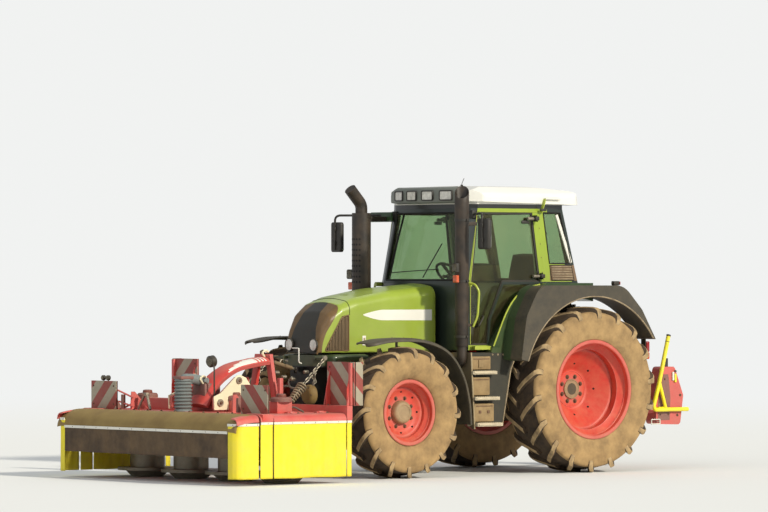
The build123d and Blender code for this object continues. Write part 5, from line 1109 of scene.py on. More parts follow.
def plan_path(points, step=0.012):
    """Places at even steps along a plan of (x, y) points, with the way out of each place."""
    places = []
    for (x0, y0), (x1, y1) in zip(points, points[1:]):
        length = math.hypot(x1 - x0, y1 - y0)
        count = max(1, round(length / step))
        for index in range(count):
            share = index / count
            places.append((x0 + (x1 - x0) * share, y0 + (y1 - y0) * share))
    places.append(points[-1])
    out = []
    for index, place in enumerate(places):
        before = places[max(0, index - 1)]
        after = places[min(len(places) - 1, index + 1)]
        run = Vector((after[0] - before[0], after[1] - before[1], 0)).normalized()
        out.append((Vector((place[0], Y(place[1]), 0)), Vector((run.y, -run.x, 0))))
    return out


def curtain_mesh(points, top, bottom, pitch, depth, seed, lines=26):
    """A sheet that hangs along a plan of (x, y) points, with soft folds that open towards its hem."""
    bm = bmesh.new()
    places = plan_path(points)
    made = []
    for line in range(lines + 1):
        down = line / lines
        row = []
        for place, out in places:
            along = place.x + place.y
            turn = 2 * math.pi * along / pitch
            fold = math.sin(turn + 1.3 * math.sin(turn * 0.31 + seed)) + 0.45 * math.sin(turn * 2.3 + seed * 2)
            drift = noise.noise(Vector((along * 3.0, down * 1.5, seed)))
            push = depth * (0.15 + 0.85 * down ** 0.8) * (fold * 0.45 + drift * 0.6)
            z = top + (bottom - top) * down + 0.004 * noise.noise(Vector((along * 4, seed, 0))) * down
            row.append(bm.verts.new(place + out * push + Vector((0, 0, z))))
        made.append(row)
    for low, high in zip(made, made[1:]):
        for i in range(len(places) - 1):
            bm.faces.new((low[i], low[i + 1], high[i + 1], high[i]))
    return bm


def hang_curtain(name, points, top, bottom, body, finish, pitch=0.17, depth=0.008, seed=1.0):
    """A curtain piece with its real thickness."""
    bm = curtain_mesh(points, top, bottom, pitch, depth, seed)
    sheet = add_piece(name, bm, body, (finish,), smooth=60)
    add_skin(sheet, CURTAIN_THICKNESS, offset=0.0)


CURTAIN_THICKNESS = 0.003
SIDE_Y = (-4.458, -3.571)
CURTAIN_TOP = 0.585
CURTAIN_HEM = 0.065
# Section of the guards' rolled outer edge: (x, z), from the deck out and down
ROLLED_EDGE = ((1.214, 0.680), (1.400, 0.680), (1.436, 0.677), (1.462, 0.667), (1.478, 0.650), (1.486, 0.628),
               (1.488, 0.609), (1.480, 0.609), (1.476, 0.630), (1.466, 0.652), (1.448, 0.664), (1.214, 0.668))
CURTAIN_X = 1.4795
LIP_X = 1.484
FRONT_SIDE_Y = (-4.905, -4.640)
BEAM_Y = (-4.618, -4.472)
REAR_END_Y = (-3.560, -3.503)


def rolled_plate(bm, side, y0, y1, inner, front_drop=0.0):
    """A length of the rolled red edge between two places along Y, from an inner place out."""
    profile = [(max(x, inner), z) for x, z in ROLLED_EDGE]
    rows = []
    steps = 10
    for step in range(steps + 1):
        share = step / steps
        y = y0 + (y1 - y0) * share
        drop = front_drop * (1 - share) ** 2
        rows.append([bm.verts.new(Vector((side * (x - drop * 0.25 * (x - inner)), Y(y), z - drop)))
                     for x, z in profile])
    close_rows(bm, rows)


def lip_strip(bm, points, z0=0.586, z1=0.6085, material=0):
    """A lip's flat strip along a plan of (x, y) points, with small bolts of material 1."""
    places = plan_path(points, 0.02)
    rows = []
    for place, out in places:
        rows.append([bm.verts.new(place + out * a + Vector((0, 0, z)))
                     for a, z in ((0.004, z0), (0.004, z1), (-0.004, z1), (-0.004, z0))])
    close_rows(bm, rows, material)
    for place, out in places[4::7]:
        spot = place + out * 0.004 + Vector((0, 0, (z0 + z1) / 2))
        add_hex(bm, spot, out, 0.005, 0.002, washer=False, material=1)


def lip_ends(side, reach):
    """A lip's two ends in plan, in the order that turns its strip outward."""
    ends = [(side * LIP_X, y) for y in reach]
    return ends if side > 0 else ends[::-1]


def make_side_guards():
    """Folding side guards with their curtains, the deck's fixed edges, the front corners, and the front curtain painted
    dark brown as yellow cloth in shade.
    """
    for side, hand in SIDES:
        body = f"side_guard_{hand}"
        bm = bmesh.new()
        rolled_plate(bm, side, *SIDE_Y, 1.214)
        for y in (-4.38, -4.02, -3.66):
            add_cylinder(bm, (side * 1.200, Y(y - 0.030), 0.684), (side * 1.200, Y(y + 0.030), 0.684), 0.014, sides=24,
                         chamfer=0.002)
            add_box(bm, span(side, 1.204, 1.245), stretch(y - 0.030, y + 0.030), (0.668, 0.684),
                    bevel=0.002)
            add_hex(bm, (side * 1.30, Y(y), 0.680), (0, 0, 1), 0.009, 0.008, material=1)
        plate = add_piece(f"guard_plate_{hand}", bm, body, ("red", "bolt"), smooth=50)
        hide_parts(f"side_guard_{hand}")
        bm = bmesh.new()
        lip_strip(bm, lip_ends(side, SIDE_Y))
        lip = add_piece(f"guard_lip_{hand}", bm, body, ("pale", "bolt"))
        hang_curtain(f"guard_curtain_{hand}", [(side * CURTAIN_X, SIDE_Y[0] + 0.002), (side * CURTAIN_X, SIDE_Y[1])],
                     CURTAIN_TOP + 0.014, CURTAIN_HEM, body, "yellow", seed=2.0 + side)
        # the fixed stretches at the deck's two beams carry their own short curtains
        for label, reach in (("beam", BEAM_Y), ("tail", REAR_END_Y)):
            bm = bmesh.new()
            rolled_plate(bm, side, *reach, 1.30)
            lip_strip(bm, lip_ends(side, reach), material=2)
            holder = add_piece(f"{label}_edge_{hand}", bm, "mower", ("red", "bolt", "pale"),
                               smooth=50)
            hang_curtain(f"{label}_curtain_{hand}", [(side * CURTAIN_X, reach[0]), (side * CURTAIN_X, reach[1])],
                         CURTAIN_TOP + 0.014, CURTAIN_HEM, "mower", "yellow",
                         seed=3.0 + side, depth=0.004)
        make_front_corner(side, hand)
    path = [(-1.34, -4.9115), (1.34, -4.9115)]
    # The front curtain is painted dark brown as yellow cloth in shade.
    hang_curtain("front_curtain", path, 0.520, 0.265, "front_guard", "curtain_in_painted_shade",
                 pitch=0.19, depth=0.006, seed=4.0)


def corner_path(side, x, y_rear, y_front, radius):
    """A plan line along the side and round the front corner, for the left side or mirrored."""
    points = [(x, y_rear), (x, y_front + radius)]
    for step in range(1, 9):
        angle = math.pi / 2 * step / 8
        points.append((x - radius + radius * math.cos(angle), y_front + radius - radius * math.sin(angle)))
    points.append((1.345, y_front))
    points = [(side * x, y) for x, y in points]
    return points[::-1] if side > 0 else points


def make_front_corner(side, hand):
    """The front guard's end: rolled red edge, lip and a yellow curtain that rounds the corner."""
    bm = bmesh.new()
    rolled_plate(bm, side, *FRONT_SIDE_Y, 1.39, front_drop=0.030)
    lip_strip(bm, corner_path(side, LIP_X, FRONT_SIDE_Y[1], -4.914, 0.10), 0.574, 0.598, material=2)
    holder = add_piece(f"corner_edge_{hand}", bm, "front_guard", ("red", "bolt", "pale"),
                       smooth=50)
    hang_curtain(f"corner_curtain_{hand}", corner_path(side, CURTAIN_X, FRONT_SIDE_Y[1], -4.909, 0.10),
                 CURTAIN_TOP + 0.004, CURTAIN_HEM, "front_guard", "yellow",
                 seed=5.0 + side, depth=0.006)


def coil_points(start, end, first_radius, last_radius, turns, steps=20):
    """The line of a tapered coil spring between two points."""
    start, end = Vector(start), Vector(end)
    run = end - start
    turn = frame_of(run)
    points = []
    for index in range(turns * steps + 1):
        share = index / (turns * steps)
        angle = 2 * math.pi * turns * share
        radius = first_radius + (last_radius - first_radius) * share
        local = Vector((radius * math.cos(angle), radius * math.sin(angle), run.length * share))
        points.append(start + turn @ local)
    return points


def add_link(bm, middle, along, across, length, width, wire, material=0):
    """One oval chain link."""
    along, across = Vector(along).normalized(), Vector(across).normalized()
    points = []
    count = 20
    straight = (length - width) / 2
    for index in range(count):
        angle = 2 * math.pi * index / count
        shift = straight if math.cos(angle) > 0 else -straight
        points.append(Vector(middle) + along * (shift + width / 2 * math.cos(angle))
                      + across * (width / 2 * math.sin(angle)))
    rows = []
    up = along.cross(across).normalized()
    for index, point in enumerate(points):
        ahead = (points[(index + 1) % count] - points[index - 1]).normalized()
        side = ahead.cross(up).normalized()
        rows.append([bm.verts.new(point + side * (wire * math.cos(2 * math.pi * k / 8))
                                  + up * (wire * math.sin(2 * math.pi * k / 8))) for k in range(8)])
    for low, high in zip(rows, rows[1:] + rows[:1]):
        for k in range(8):
            bm.faces.new((low[k], low[(k + 1) % 8], high[(k + 1) % 8], high[k])).material_index = material


# Springs: x, then (y, z) of the pin, of the coil's top and of its foot
SPRING_X = 0.440
SPRING_ANCHOR = (-3.010, 1.195)
SPRING_TOP = (-3.295, 0.922)
SPRING_FOOT = (-3.435, 0.782)


def make_springs():
    """Relief springs: chain from the bolster, tapered coil, and end fittings."""
    bm = bmesh.new()
    for side in (1, -1):
        x = side * SPRING_X
        anchor = Vector((x, Y(SPRING_ANCHOR[0]), SPRING_ANCHOR[1]))
        top = Vector((x, Y(SPRING_TOP[0]), SPRING_TOP[1]))
        foot = Vector((x, Y(SPRING_FOOT[0]), SPRING_FOOT[1]))
        add_cylinder(bm, anchor - Vector((0.012, 0, 0)), anchor + Vector((0.012, 0, 0)), 0.024, sides=24,
                     chamfer=0.003)
        run = top - anchor
        along = run.normalized()
        flat = Vector((1, 0, 0))
        other = along.cross(flat).normalized()
        pitch = 0.034
        count = int((run.length - 0.02) / pitch)
        for index in range(count):
            middle = anchor + along * (0.02 + (index + 0.5) * pitch)
            add_link(bm, middle, along, flat if index % 2 else other, 0.050, 0.030, 0.0052)
        coil = coil_points(top, foot, 0.050, 0.029, 7)
        add_tube(bm, coil, 0.0080, bend=0, sides=10, material=1)
        add_cylinder(bm, top - along * 0.012, top + along * 0.006, 0.046, sides=28, chamfer=0.004)
        add_cylinder(bm, foot - along * 0.006, foot + along * 0.004, 0.026, sides=28, chamfer=0.003)
        add_cylinder(bm, top, foot, 0.009, sides=12)
        loose = anchor + along * run.length * 0.52 + Vector((side * 0.012, 0, 0))
        for index in range(6):
            middle = loose + Vector((0.006 * math.sin(index * 2.1), 0.010 * math.cos(index * 1.7), -0.022 * index))
            add_link(bm, middle, (0.15, 0.2 * math.sin(index), -1), (1, 0, 0) if index % 2 else (0, 1, 0), 0.040,
                     0.026, 0.0045)
    piece = add_piece("chains_and_springs", bm, "relief_springs", ("steel", "dust_and_highlight_edge"))
    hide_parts("relief_springs")


ARCH_LINE = ((-3.470, 1.170), (-3.640, 1.150), (-3.900, 1.090), (-4.130, 0.940), (-4.270, 0.735))


def make_arch():
    """The arched cover: a rounded strap with a tapering pale flank each side, crossed by thin red lines."""
    path = smooth_line([(0.0, Y(y), z) for y, z in ARCH_LINE], 10)
    bm = bmesh.new()
    half = 0.148
    rows = []
    for index, point in enumerate(path):
        here = Vector(point)
        ahead = Vector(path[min(index + 1, len(path) - 1)]) - Vector(path[max(index - 1, 0)])
        ahead.normalize()
        up = Vector((1, 0, 0)).cross(ahead).normalized()
        if up.z < 0:
            up = -up
        row = []
        for step in range(17):
            share = step / 16
            angle = math.pi * share
            across = -half * math.cos(angle)
            lift = 0.044 * (1 - abs(math.cos(angle)) ** 3.2)
            row.append(bm.verts.new(here + Vector((across, 0, 0)) + up * (lift - 0.006)))
        for across in (half - 0.012, -half + 0.012):
            row.append(bm.verts.new(here + Vector((across, 0, 0)) - up * 0.040))
        rows.append(row)
    count = len(rows[0])
    for index, (low, high) in enumerate(zip(rows, rows[1:])):
        share = index / (len(rows) - 1)
        first = 9 + int(max(0.0, share - 0.26) / 0.07)
        thin = index in (4, 6, 8)
        for i in range(count):
            face = bm.faces.new((low[i], low[(i + 1) % count], high[(i + 1) % count], high[i]))
            pale = 0.05 < share < 0.56 and (first <= i <= 13 or 2 <= i <= 15 - first)
            face.material_index = 1 if pale and not thin else 0
    bm.faces.new(rows[0][::-1])
    bm.faces.new(rows[-1])
    piece = add_piece("arch_shell", bm, "mower", ("red", "pale"), smooth=50)
    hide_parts("arch_cover")


def make_drive_cover():
    """Folded rubber bellows from the deck up to the bevel gearbox, and the gearbox itself."""
    base = Vector((0.0, Y(-4.440), 0.680))
    bm = bmesh.new()
    folds = 9
    profile = [(0.0, 0.060), (0.0, 0.090)]
    for index in range(folds):
        low = index / folds * 0.30
        profile += [(low + 0.30 / folds * 0.30, 0.092), (low + 0.30 / folds * 0.5, 0.086),
                    (low + 0.30 / folds * 0.80, 0.074), (low + 0.30 / folds, 0.086)]
    profile += [(0.305, 0.088), (0.318, 0.080), (0.322, 0.060)]
    place = Matrix.Translation(base) @ Matrix.Rotation(-math.pi / 2, 4, "Y")
    add_lathe(bm, profile, segments=48, materials=[0] * len(profile), place=place)
    piece = add_piece("drive_bellows", bm, "mower", ("grey_rubber",), smooth=60)
    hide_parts("drive_cover")
    bm = bmesh.new()
    add_box(bm, (-0.075, 0.075), stretch(-4.52, -4.36), (0.995, 1.028), bevel=0.012)
    add_tube(bm, line(1, (0, -4.44, 0.97), (0, -4.42, 1.0), (0, -4.30, 0.995), (0, -4.16, 0.96)), 0.052,
             bend=0.06, sides=24, material=1)
    add_box(bm, (-0.10, 0.10), stretch(-4.25, -4.05), (0.79, 0.955), bevel=0.022)
    for y in (-4.22, -4.08):
        for x in (-0.075, 0.075):
            add_hex(bm, (x, Y(y), 0.955), (0, 0, 1), 0.010, 0.009, material=2)
    add_tube(bm, line(1, (0.06, -4.24, 0.95), (0.06, -4.28, 1.00), (0.06, -4.24, 1.03), (0.06, -4.20, 1.01)),
             0.010, bend=0.02, sides=8, material=3)
    add_piece("bevel_gearbox", bm, "mower", ("deep_red", "grey_rubber", "bolt", "cream"))


def make_arms():
    """Pale swing arms on each side of the headstock, with pivot discs and pins."""
    bm = bmesh.new()
    outline = ((-3.80, 0.700), (-4.18, 0.700), (-4.34, 0.700), (-4.345, 0.830), (-4.26, 0.862), (-4.06, 1.035),
               (-4.02, 1.040), (-3.95, 1.010), (-3.72, 0.705))
    for side in (1, -1):
        x = side * 0.366
        side_plate(bm, side, 0.366, outline, 0.012)
        for y, z, r in ((-4.04, 0.985, 0.034), (-4.27, 0.770, 0.036), (-3.86, 0.75, 0.024)):
            add_cylinder(bm, (x, Y(y), z), (x + side * 0.028, Y(y), z), r, sides=28, material=1, chamfer=0.004)
            add_cylinder(bm, (x, Y(y), z), (x + side * 0.040, Y(y), z), r * 0.45, sides=16, material=2,
                         chamfer=0.003)
    add_piece("mower_arms", bm, "mower", ("cream", "steel", "bolt"))


def make_headstock_trim():
    """Pins, clips and hooks on the headstock's tower, and the top link's adjuster."""
    bm = bmesh.new()
    for side in (1, -1):
        add_box(bm, span(side, 0.255, 0.300), stretch(-3.47, -3.425), (0.60, 1.00), bevel=0.006)
        add_cylinder(bm, (side * 0.240, Y(-3.44), 0.60), (side * 0.385, Y(-3.44), 0.60), 0.020, sides=20, material=1,
                     chamfer=0.004)
        add_tube(bm, line(side, (0.375, -3.44, 0.60), (0.40, -3.44, 0.62), (0.40, -3.44, 0.66), (0.375, -3.44,
                                                                                                 0.67)), 0.005,
                                                                                                 bend=0.01, sides=8,
                                                                                                 material=1)
    add_tube(bm, line(1, (0.05, -3.46, 1.20), (0.05, -3.50, 1.245), (0.05, -3.46, 1.275), (0.05, -3.42, 1.255)),
             0.012, bend=0.02, sides=10, material=2)
    add_piece("headstock_trim", bm, "mower", ("red", "steel", "cream"))
    bm = bmesh.new()
    low = Vector((0, Y(-3.390), 1.170))
    high = Vector((0, Y(-3.010), 1.070))
    run = (high - low).normalized()
    add_cylinder(bm, low + run * 0.08, high - run * 0.08, 0.021, sides=20, chamfer=0.003)
    add_cylinder(bm, low + run * 0.03, low + run * 0.11, 0.013, sides=14, material=1)
    add_cylinder(bm, high - run * 0.11, high - run * 0.03, 0.013, sides=14, material=1)
    for end in (low, high):
        add_cylinder(bm, end - Vector((0.020, 0, 0)), end + Vector((0.020, 0, 0)), 0.026, sides=24, material=1,
                     chamfer=0.003)
    add_tube(bm, [low + run * 0.16 + Vector((0, 0, 0.02)), low + run * 0.18 + Vector((0, 0, 0.055)),
                  low + run * 0.26 + Vector((0, 0, 0.055))], 0.006, bend=0.015, sides=8, material=1)
    piece = add_piece("front_top_rod", bm, "front_top_link", ("vent", "steel"))
    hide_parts("front_top_link")


# Cab: paint by place with painted shade by facing, doors, lamps, wipers, handles and roof fittings

def cab_paint_and_shade():
    """Green on the pillars and sill, near black below the doors, inside and on faces that turn to the front or the
    rear, brown louvres. On those faces the near black is painted shade as well as the dark frame round the windscreen.
    """
    material = surface("cab_paint_and_shade", GREEN, 0.30, vary=0.07, scale=3.0, grain=220, bump=0.04, coat=0.5, dust=0.22,
                       dust_low=0.9, dust_high=2.4, dust_colour=srgb(150, 140, 90))
    tree, socket, colour = painted(material)
    place = split(tree, object_place(tree))
    facing = split(tree, node(tree, "ShaderNodeNewGeometry").outputs["Normal"])

    def between(value, low, high):
        return maths(tree, "MULTIPLY", maths(tree, "LESS_THAN", value, high), maths(tree, "GREATER_THAN", value, low))

    # Faces that turn to the front or the rear are painted near black as shade.
    front_faces_shade = maths(tree, "LESS_THAN", facing["Y"], -0.45)
    rear_faces_shade = maths(tree, "GREATER_THAN", facing["Y"], 0.45)
    inside = maths(tree, "LESS_THAN", maths(tree, "ABSOLUTE", place["X"]), 0.66)
    low = between(place["Z"], 1.312, 1.952)
    dark = maths(tree, "MAXIMUM", maths(tree, "MAXIMUM", front_faces_shade, rear_faces_shade),
                 maths(tree, "MAXIMUM", low, inside))
    louvres = maths(tree, "MULTIPLY", between(place["Z"], 1.962, 2.124),
                    maths(tree, "GREATER_THAN", place["Y"], Y(-0.272)))
    shade = mixed(tree, dark, colour, srgb(36, 46, 38))
    tree.links.new(mixed(tree, louvres, shade, srgb(122, 98, 72)), socket)
    return material


def by_place(material, colour, *tests):
    """Repaints a finish where all tests hold: (axis, how, limit) rows, with the axis in bars for both sides."""
    tree, socket, shade = painted(material)
    place = split(tree, object_place(tree))
    share = None
    for axis, how, limit in tests:
        value = place[axis.strip("|")]
        if axis[0] == "|":
            value = maths(tree, "ABSOLUTE", value)
        test = maths(tree, how, value, limit)
        share = test if share is None else maths(tree, "MULTIPLY", share, test)
    tree.links.new(mixed(tree, share, shade, colour), socket)
    return material


def roof_paint():
    """White gel coat, with the lining under the roof's edge near black."""
    material = surface("roof_paint", srgb(229, 228, 218), 0.33, vary=0.03, scale=2.5, grain=200, bump=0.03, coat=0.4,
                       top_dust=0.06)
    return by_place(material, srgb(34, 36, 33), ("Z", "LESS_THAN", 2.7425))


CAB_WAIST = 1.940
CAB_TOP = 2.700
# The cab's side in plan: (x, y) of its front corner and its widest place, at the waist and under the roof
CAB_CORNER = ((0.695, -1.362), (0.670, -1.218))
CAB_WIDE = ((0.710, -0.340), (0.690, -0.440))
DOOR_OUTLINE = ((-1.322, 1.318), (-1.322, 1.940), (-1.217, 2.652), (-0.513, 2.652), (-0.421, 1.960),
                (-0.912, 1.960), (-1.088, 1.573), (-1.112, 1.318))


def cab_side(y, z, out=0.0):
    """A place on the cab's left side, moved out by a little."""
    share = min(1.0, max(0.0, (z - CAB_WAIST) / (CAB_TOP - CAB_WAIST)))
    corner = [a + (b - a) * share for a, b in zip(*CAB_CORNER)]
    wide = [a + (b - a) * share for a, b in zip(*CAB_WIDE)]
    along = (y - corner[1]) / (wide[1] - corner[1])
    return Vector((corner[0] + (wide[0] - corner[0]) * along + out, Y(y), z))


def mirrored_points(points, side):
    """The points as they are for the left side, or mirrored for the right."""
    return [Vector((p[0] * side, p[1], p[2])) for p in points]


def make_doors():
    """Doors: a slim dark frame with its seal, a tinted pane, hinge barrels and a handle."""
    for side, hand in SIDES:
        bm = bmesh.new()
        outline = []
        for start, end in zip(DOOR_OUTLINE, DOOR_OUTLINE[1:] + DOOR_OUTLINE[:1]):
            steps = 6
            for step in range(steps):
                share = step / steps
                outline.append(cab_side(start[0] + (end[0] - start[0]) * share,
                                        start[1] + (end[1] - start[1]) * share, -0.013))
        loop = mirrored_points(outline + outline[:2], side)
        add_tube(bm, loop, 0.0, bend=0, flat=(0.011, 0.009, (1, 0, 0)))
        for z in (2.010, 2.600):
            y = -0.412 + (-0.505 + 0.412) * (z - 1.952) / (2.660 - 1.952) + 0.016
            rounded_block(bm, span(side, 0.700, 0.764), stretch(y - 0.036, y + 0.016),
                          (z - 0.022, z + 0.022), 0.010)
            add_cylinder(bm, (side * 0.722, Y(y - 0.115), z - 0.002), (side * 0.722, Y(y - 0.030), z - 0.002), 0.017,
                         sides=24, material=1, chamfer=0.004)
        handle = [cab_side(-1.25, 1.50, 0.002), cab_side(-1.25, 1.51, 0.035), cab_side(-1.19, 1.60, 0.035),
                  cab_side(-1.19, 1.61, 0.002)]
        add_tube(bm, mirrored_points(handle, side), 0.008, bend=0.015, sides=10)
        piece = add_piece(f"door_frame_{hand}", bm, f"door_{hand}", ("black", "steel"), smooth=40)
        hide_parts(f"door_{hand}")
        bm = bmesh.new()
        waist_front = (-1.322, CAB_WAIST)
        upper = [waist_front, (-1.217, 2.652), (-0.513, 2.652), (-0.421, 1.960), (-0.912, 1.960), (-0.922, CAB_WAIST)]
        lower = [waist_front, (-0.922, CAB_WAIST), (-1.088, 1.573), (-1.112, 1.318), (-1.322, 1.318)]
        for part in (upper, lower):
            points = mirrored_points([cab_side(y, z, -0.012) for y, z in part], side)
            add_plate(bm, points, (-side * 0.005, 0, 0))
        add_piece(f"door_glass_{hand}", bm, f"door_{hand}", ("glass",), smooth=30)


def make_cab_trim():
    """Bright edge lines painted as highlights, the windows' seals, the louvres' frame and the wipers."""
    bm = bmesh.new()
    # Thin lime tubes along the pillars and the door's top are painted highlights.
    for side in (1, -1):
        pillar = mirrored_points([cab_side(-1.336 + 0.106 * s, 1.950 + 0.70 * s, 0.003) for s in (0, 0.5, 1)], side)
        add_tube(bm, pillar, 0.0045, bend=0, sides=8)
        low_pillar = mirrored_points([cab_side(-1.338, 1.320, 0.003), cab_side(-1.338, 1.940, 0.003)], side)
        add_tube(bm, low_pillar, 0.0045, bend=0, sides=8)
        top = mirrored_points([cab_side(-1.21 + 0.16 * s, 2.668, 0.003) for s in range(6)], side)
        add_tube(bm, top, 0.004, bend=0, sides=8)
    add_piece("cab_highlight_edges", bm, "chassis", ("lime",))
    bm = bmesh.new()
    quarter = ((-0.345, 2.660), (-0.070, 2.660), (0.060, 2.140), (-0.275, 2.140), (-0.345, 2.660), (-0.200, 2.660))
    panel = ((-0.272, 2.122), (0.064, 2.122), (0.095, 1.965), (-0.250, 1.965), (-0.272, 2.122), (-0.180, 2.122))
    for side in (1, -1):
        for outline, thick in ((quarter, 0.007), (panel, 0.004)):
            points = []
            for (y0, z0), (y1, z1) in zip(outline, outline[1:]):
                for step in range(5):
                    s = step / 5
                    points.append(rear_side(y0 + (y1 - y0) * s, z0 + (z1 - z0) * s, 0.001))
            add_tube(bm, mirrored_points(points, side), thick, bend=0, sides=8)
    screen = [(-0.572, 1.972), (-0.550, 2.655), (0.550, 2.655), (0.572, 1.972), (-0.572, 1.972), (-0.40, 1.972)]
    points = []
    for (x0, z0), (x1, z1) in zip(screen, screen[1:]):
        for step in range(12):
            s = step / 12
            points.append(windscreen_place(x0 + (x1 - x0) * s, z0 + (z1 - z0) * s, 0.002))
    add_tube(bm, points, 0.009, bend=0, sides=8)
    for top, bottom in (((0.30, 2.34), (0.10, 1.995)), ((-0.42, 2.52), (-0.46, 2.02))):
        arm = [windscreen_place(*bottom, 0.030), windscreen_place(*top, 0.022)]
        add_tube(bm, arm, 0.006, bend=0, sides=8)
    for (x, z), (x_step, z_step) in (((-0.50, 2.10), (0.008, 0.045)), ((-0.48, 2.045), (0.065, 0.003))):
        blade = [windscreen_place(x + x_step * s, z + z_step * s, 0.014) for s in range(13)]
        add_tube(bm, blade, 0.0, bend=0, flat=(0.004, 0.010, (0, -1, 0)))
    add_piece("cab_seals", bm, "chassis", ("near_black_and_painted_shade",), smooth=40)


# The cab's plan, for its front and its rear corner
CAB_FRONT = ((0.620, -1.400, -1.452), (0.600, -1.250, -1.300))
CAB_REAR = ((0.650, 0.150), (0.610, -0.030))


def rear_side(y, z, out=0.0):
    """A place on the cab's left side behind its widest place."""
    share = min(1.0, max(0.0, (z - CAB_WAIST) / (CAB_TOP - CAB_WAIST)))
    wide = [a + (b - a) * share for a, b in zip(*CAB_WIDE)]
    rear = [a + (b - a) * share for a, b in zip(*CAB_REAR)]
    along = max(0.0, (y - wide[1]) / (rear[1] - wide[1]))
    return Vector((wide[0] + (rear[0] - wide[0]) * along + out, Y(y), z))


def windscreen_place(x, z, out=0.0):
    """A place on the curved windscreen, moved out by a little."""
    share = min(1.0, max(0.0, (z - CAB_WAIST) / (CAB_TOP - CAB_WAIST)))
    half, edge, middle = [a + (b - a) * share for a, b in zip(*CAB_FRONT)]
    return Vector((x, Y(middle + (edge - middle) * (x / half) ** 2 - out), z))


LAMP_PLACES = ((-0.375, -0.20), (-0.125, -0.07), (0.125, 0.07), (0.375, 0.20))


def bar_front(x):
    """The lamp bar's front along Y at a place across it."""
    rise, half = 0.110, 0.600
    radius = (half ** 2 + rise ** 2) / (2 * rise)
    return -1.322 - (math.sqrt(radius ** 2 - x ** 2) - (radius - rise))


def make_roof_fittings():
    """The antenna, and a bent bracket with a round bar on each side of the roof."""
    bm = bmesh.new()
    add_tube(bm, line(1, (0.10, -0.95, 2.93), (0.10, -0.95, 2.96), (0.10, -0.92, 3.015)), 0.0035, bend=0.01, sides=8)
    add_cylinder(bm, (0.10, Y(-0.95), 2.928), (0.10, Y(-0.95), 2.950), 0.014, sides=16, chamfer=0.004)
    for side in (1, -1):
        bracket = line(side, (0.705, -0.40, 2.66), (0.735, -0.40, 2.72), (0.745, -0.38, 2.80))
        add_tube(bm, bracket, 0.0, bend=0.02, flat=(0.018, 0.004, (0, 1, 0)), material=1)
        add_cylinder(bm, (side * 0.742, Y(-0.375), 2.803), (side * 0.742, Y(-0.17), 2.800), 0.012, sides=16,
                     material=2, chamfer=0.003)
        add_box(bm, span(side, 0.722, 0.748), stretch(-0.43, -0.36), (2.675, 2.70), bevel=0.005)
    add_piece("roof_fittings", bm, "chassis", ("black", "lime", "pale"))


INTAKE = (0.775, -1.515)


def make_pipes():
    """The near intake pipe with its slanted mouth, clamps and lamps, and the holes in the far exhaust's shield, as near
    black discs of painted shade.
    """
    bm = bmesh.new()
    x, y = INTAKE
    sides = 40
    rows = []
    for z, r, slant in ((1.30, 0.060, 0), (1.315, 0.066, 0), (1.62, 0.066, 0), (1.635, 0.071, 0), (2.55, 0.071, 0),
                        (2.565, 0.0735, 0), (2.76, 0.0735, 0.2), (2.85, 0.0735, 0.75), (2.858, 0.071, 0.8),
                        (2.852, 0.066, 0.8), (2.60, 0.064, 0)):
        row = []
        for step in range(sides):
            angle = 2 * math.pi * step / sides
            px, py = r * math.cos(angle), r * math.sin(angle)
            row.append(bm.verts.new(Vector((x + px, Y(y) + py, z + slant * (py - px) * 0.80))))
        rows.append(row)
    close_rows(bm, rows)
    for z in (1.40, 1.96, 2.575):
        add_lathe(bm, ((-0.012, 0.076), (0.012, 0.076), (0.012, 0.066), (-0.012, 0.066)), segments=40,
                  materials=[1] * 4,
                  place=Matrix.Translation(Vector((x, Y(y), z))) @ Matrix.Rotation(-math.pi / 2, 4, "Y"))
        add_box(bm, (x + 0.06, x + 0.095), (Y(y) - 0.010, Y(y) + 0.010), (z - 0.010, z + 0.010), bevel=0.003,
                material=1)
    add_tube(bm, [(x, Y(y), 1.36), (x, Y(y), 1.16), (x - 0.10, Y(y + 0.06), 1.14), (0.24, Y(-1.46), 1.15)], 0.050,
             bend=0.10, sides=24)
    add_box(bm, (x - 0.10, x + 0.015), stretch(-1.45, -1.33), (2.52, 2.56), bevel=0.008)
    add_box(bm, (0.69, x), stretch(-1.46, -1.36), (1.50, 1.53), bevel=0.006)
    piece = add_piece("intake_stack", bm, "chassis", ("pipe", "black"), smooth=35)
    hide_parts("air_intake_pipe")
    bm = bmesh.new()
    add_box(bm, (x - 0.02, x + 0.055), stretch(y - 0.115, y - 0.075), (2.05, 2.14), bevel=0.008)
    add_box(bm, (x - 0.012, x + 0.047), stretch(y - 0.120, y - 0.113), (2.06, 2.13), bevel=0.004, material=1)
    add_box(bm, (x - 0.01, x + 0.050), stretch(y - 0.112, y - 0.075), (1.945, 2.020), bevel=0.008, material=2)
    add_tube(bm, line(1, (x, y - 0.08, 2.0), (x, y - 0.05, 2.0)), 0.02, bend=0, sides=12)
    add_piece("intake_lamps", bm, "chassis", ("black", "lens", "amber"))
    bm = bmesh.new()
    # The shield's holes are near black discs, painted shade.
    far_x, far_y = -0.650, -1.670
    for index in range(9):
        for step in range(7):
            angle = -2.9 + step * 0.34
            z = 1.95 + index * 0.055
            spot = Vector((far_x + 0.0975 * math.cos(angle), Y(far_y) + 0.0975 * math.sin(angle), z))
            away = Vector((math.cos(angle), math.sin(angle), 0))
            add_cylinder(bm, spot - away * 0.003, spot + away * 0.0012, 0.011, sides=10)
    add_piece("exhaust_holes", bm, "chassis", ("near_black_and_painted_shade",))


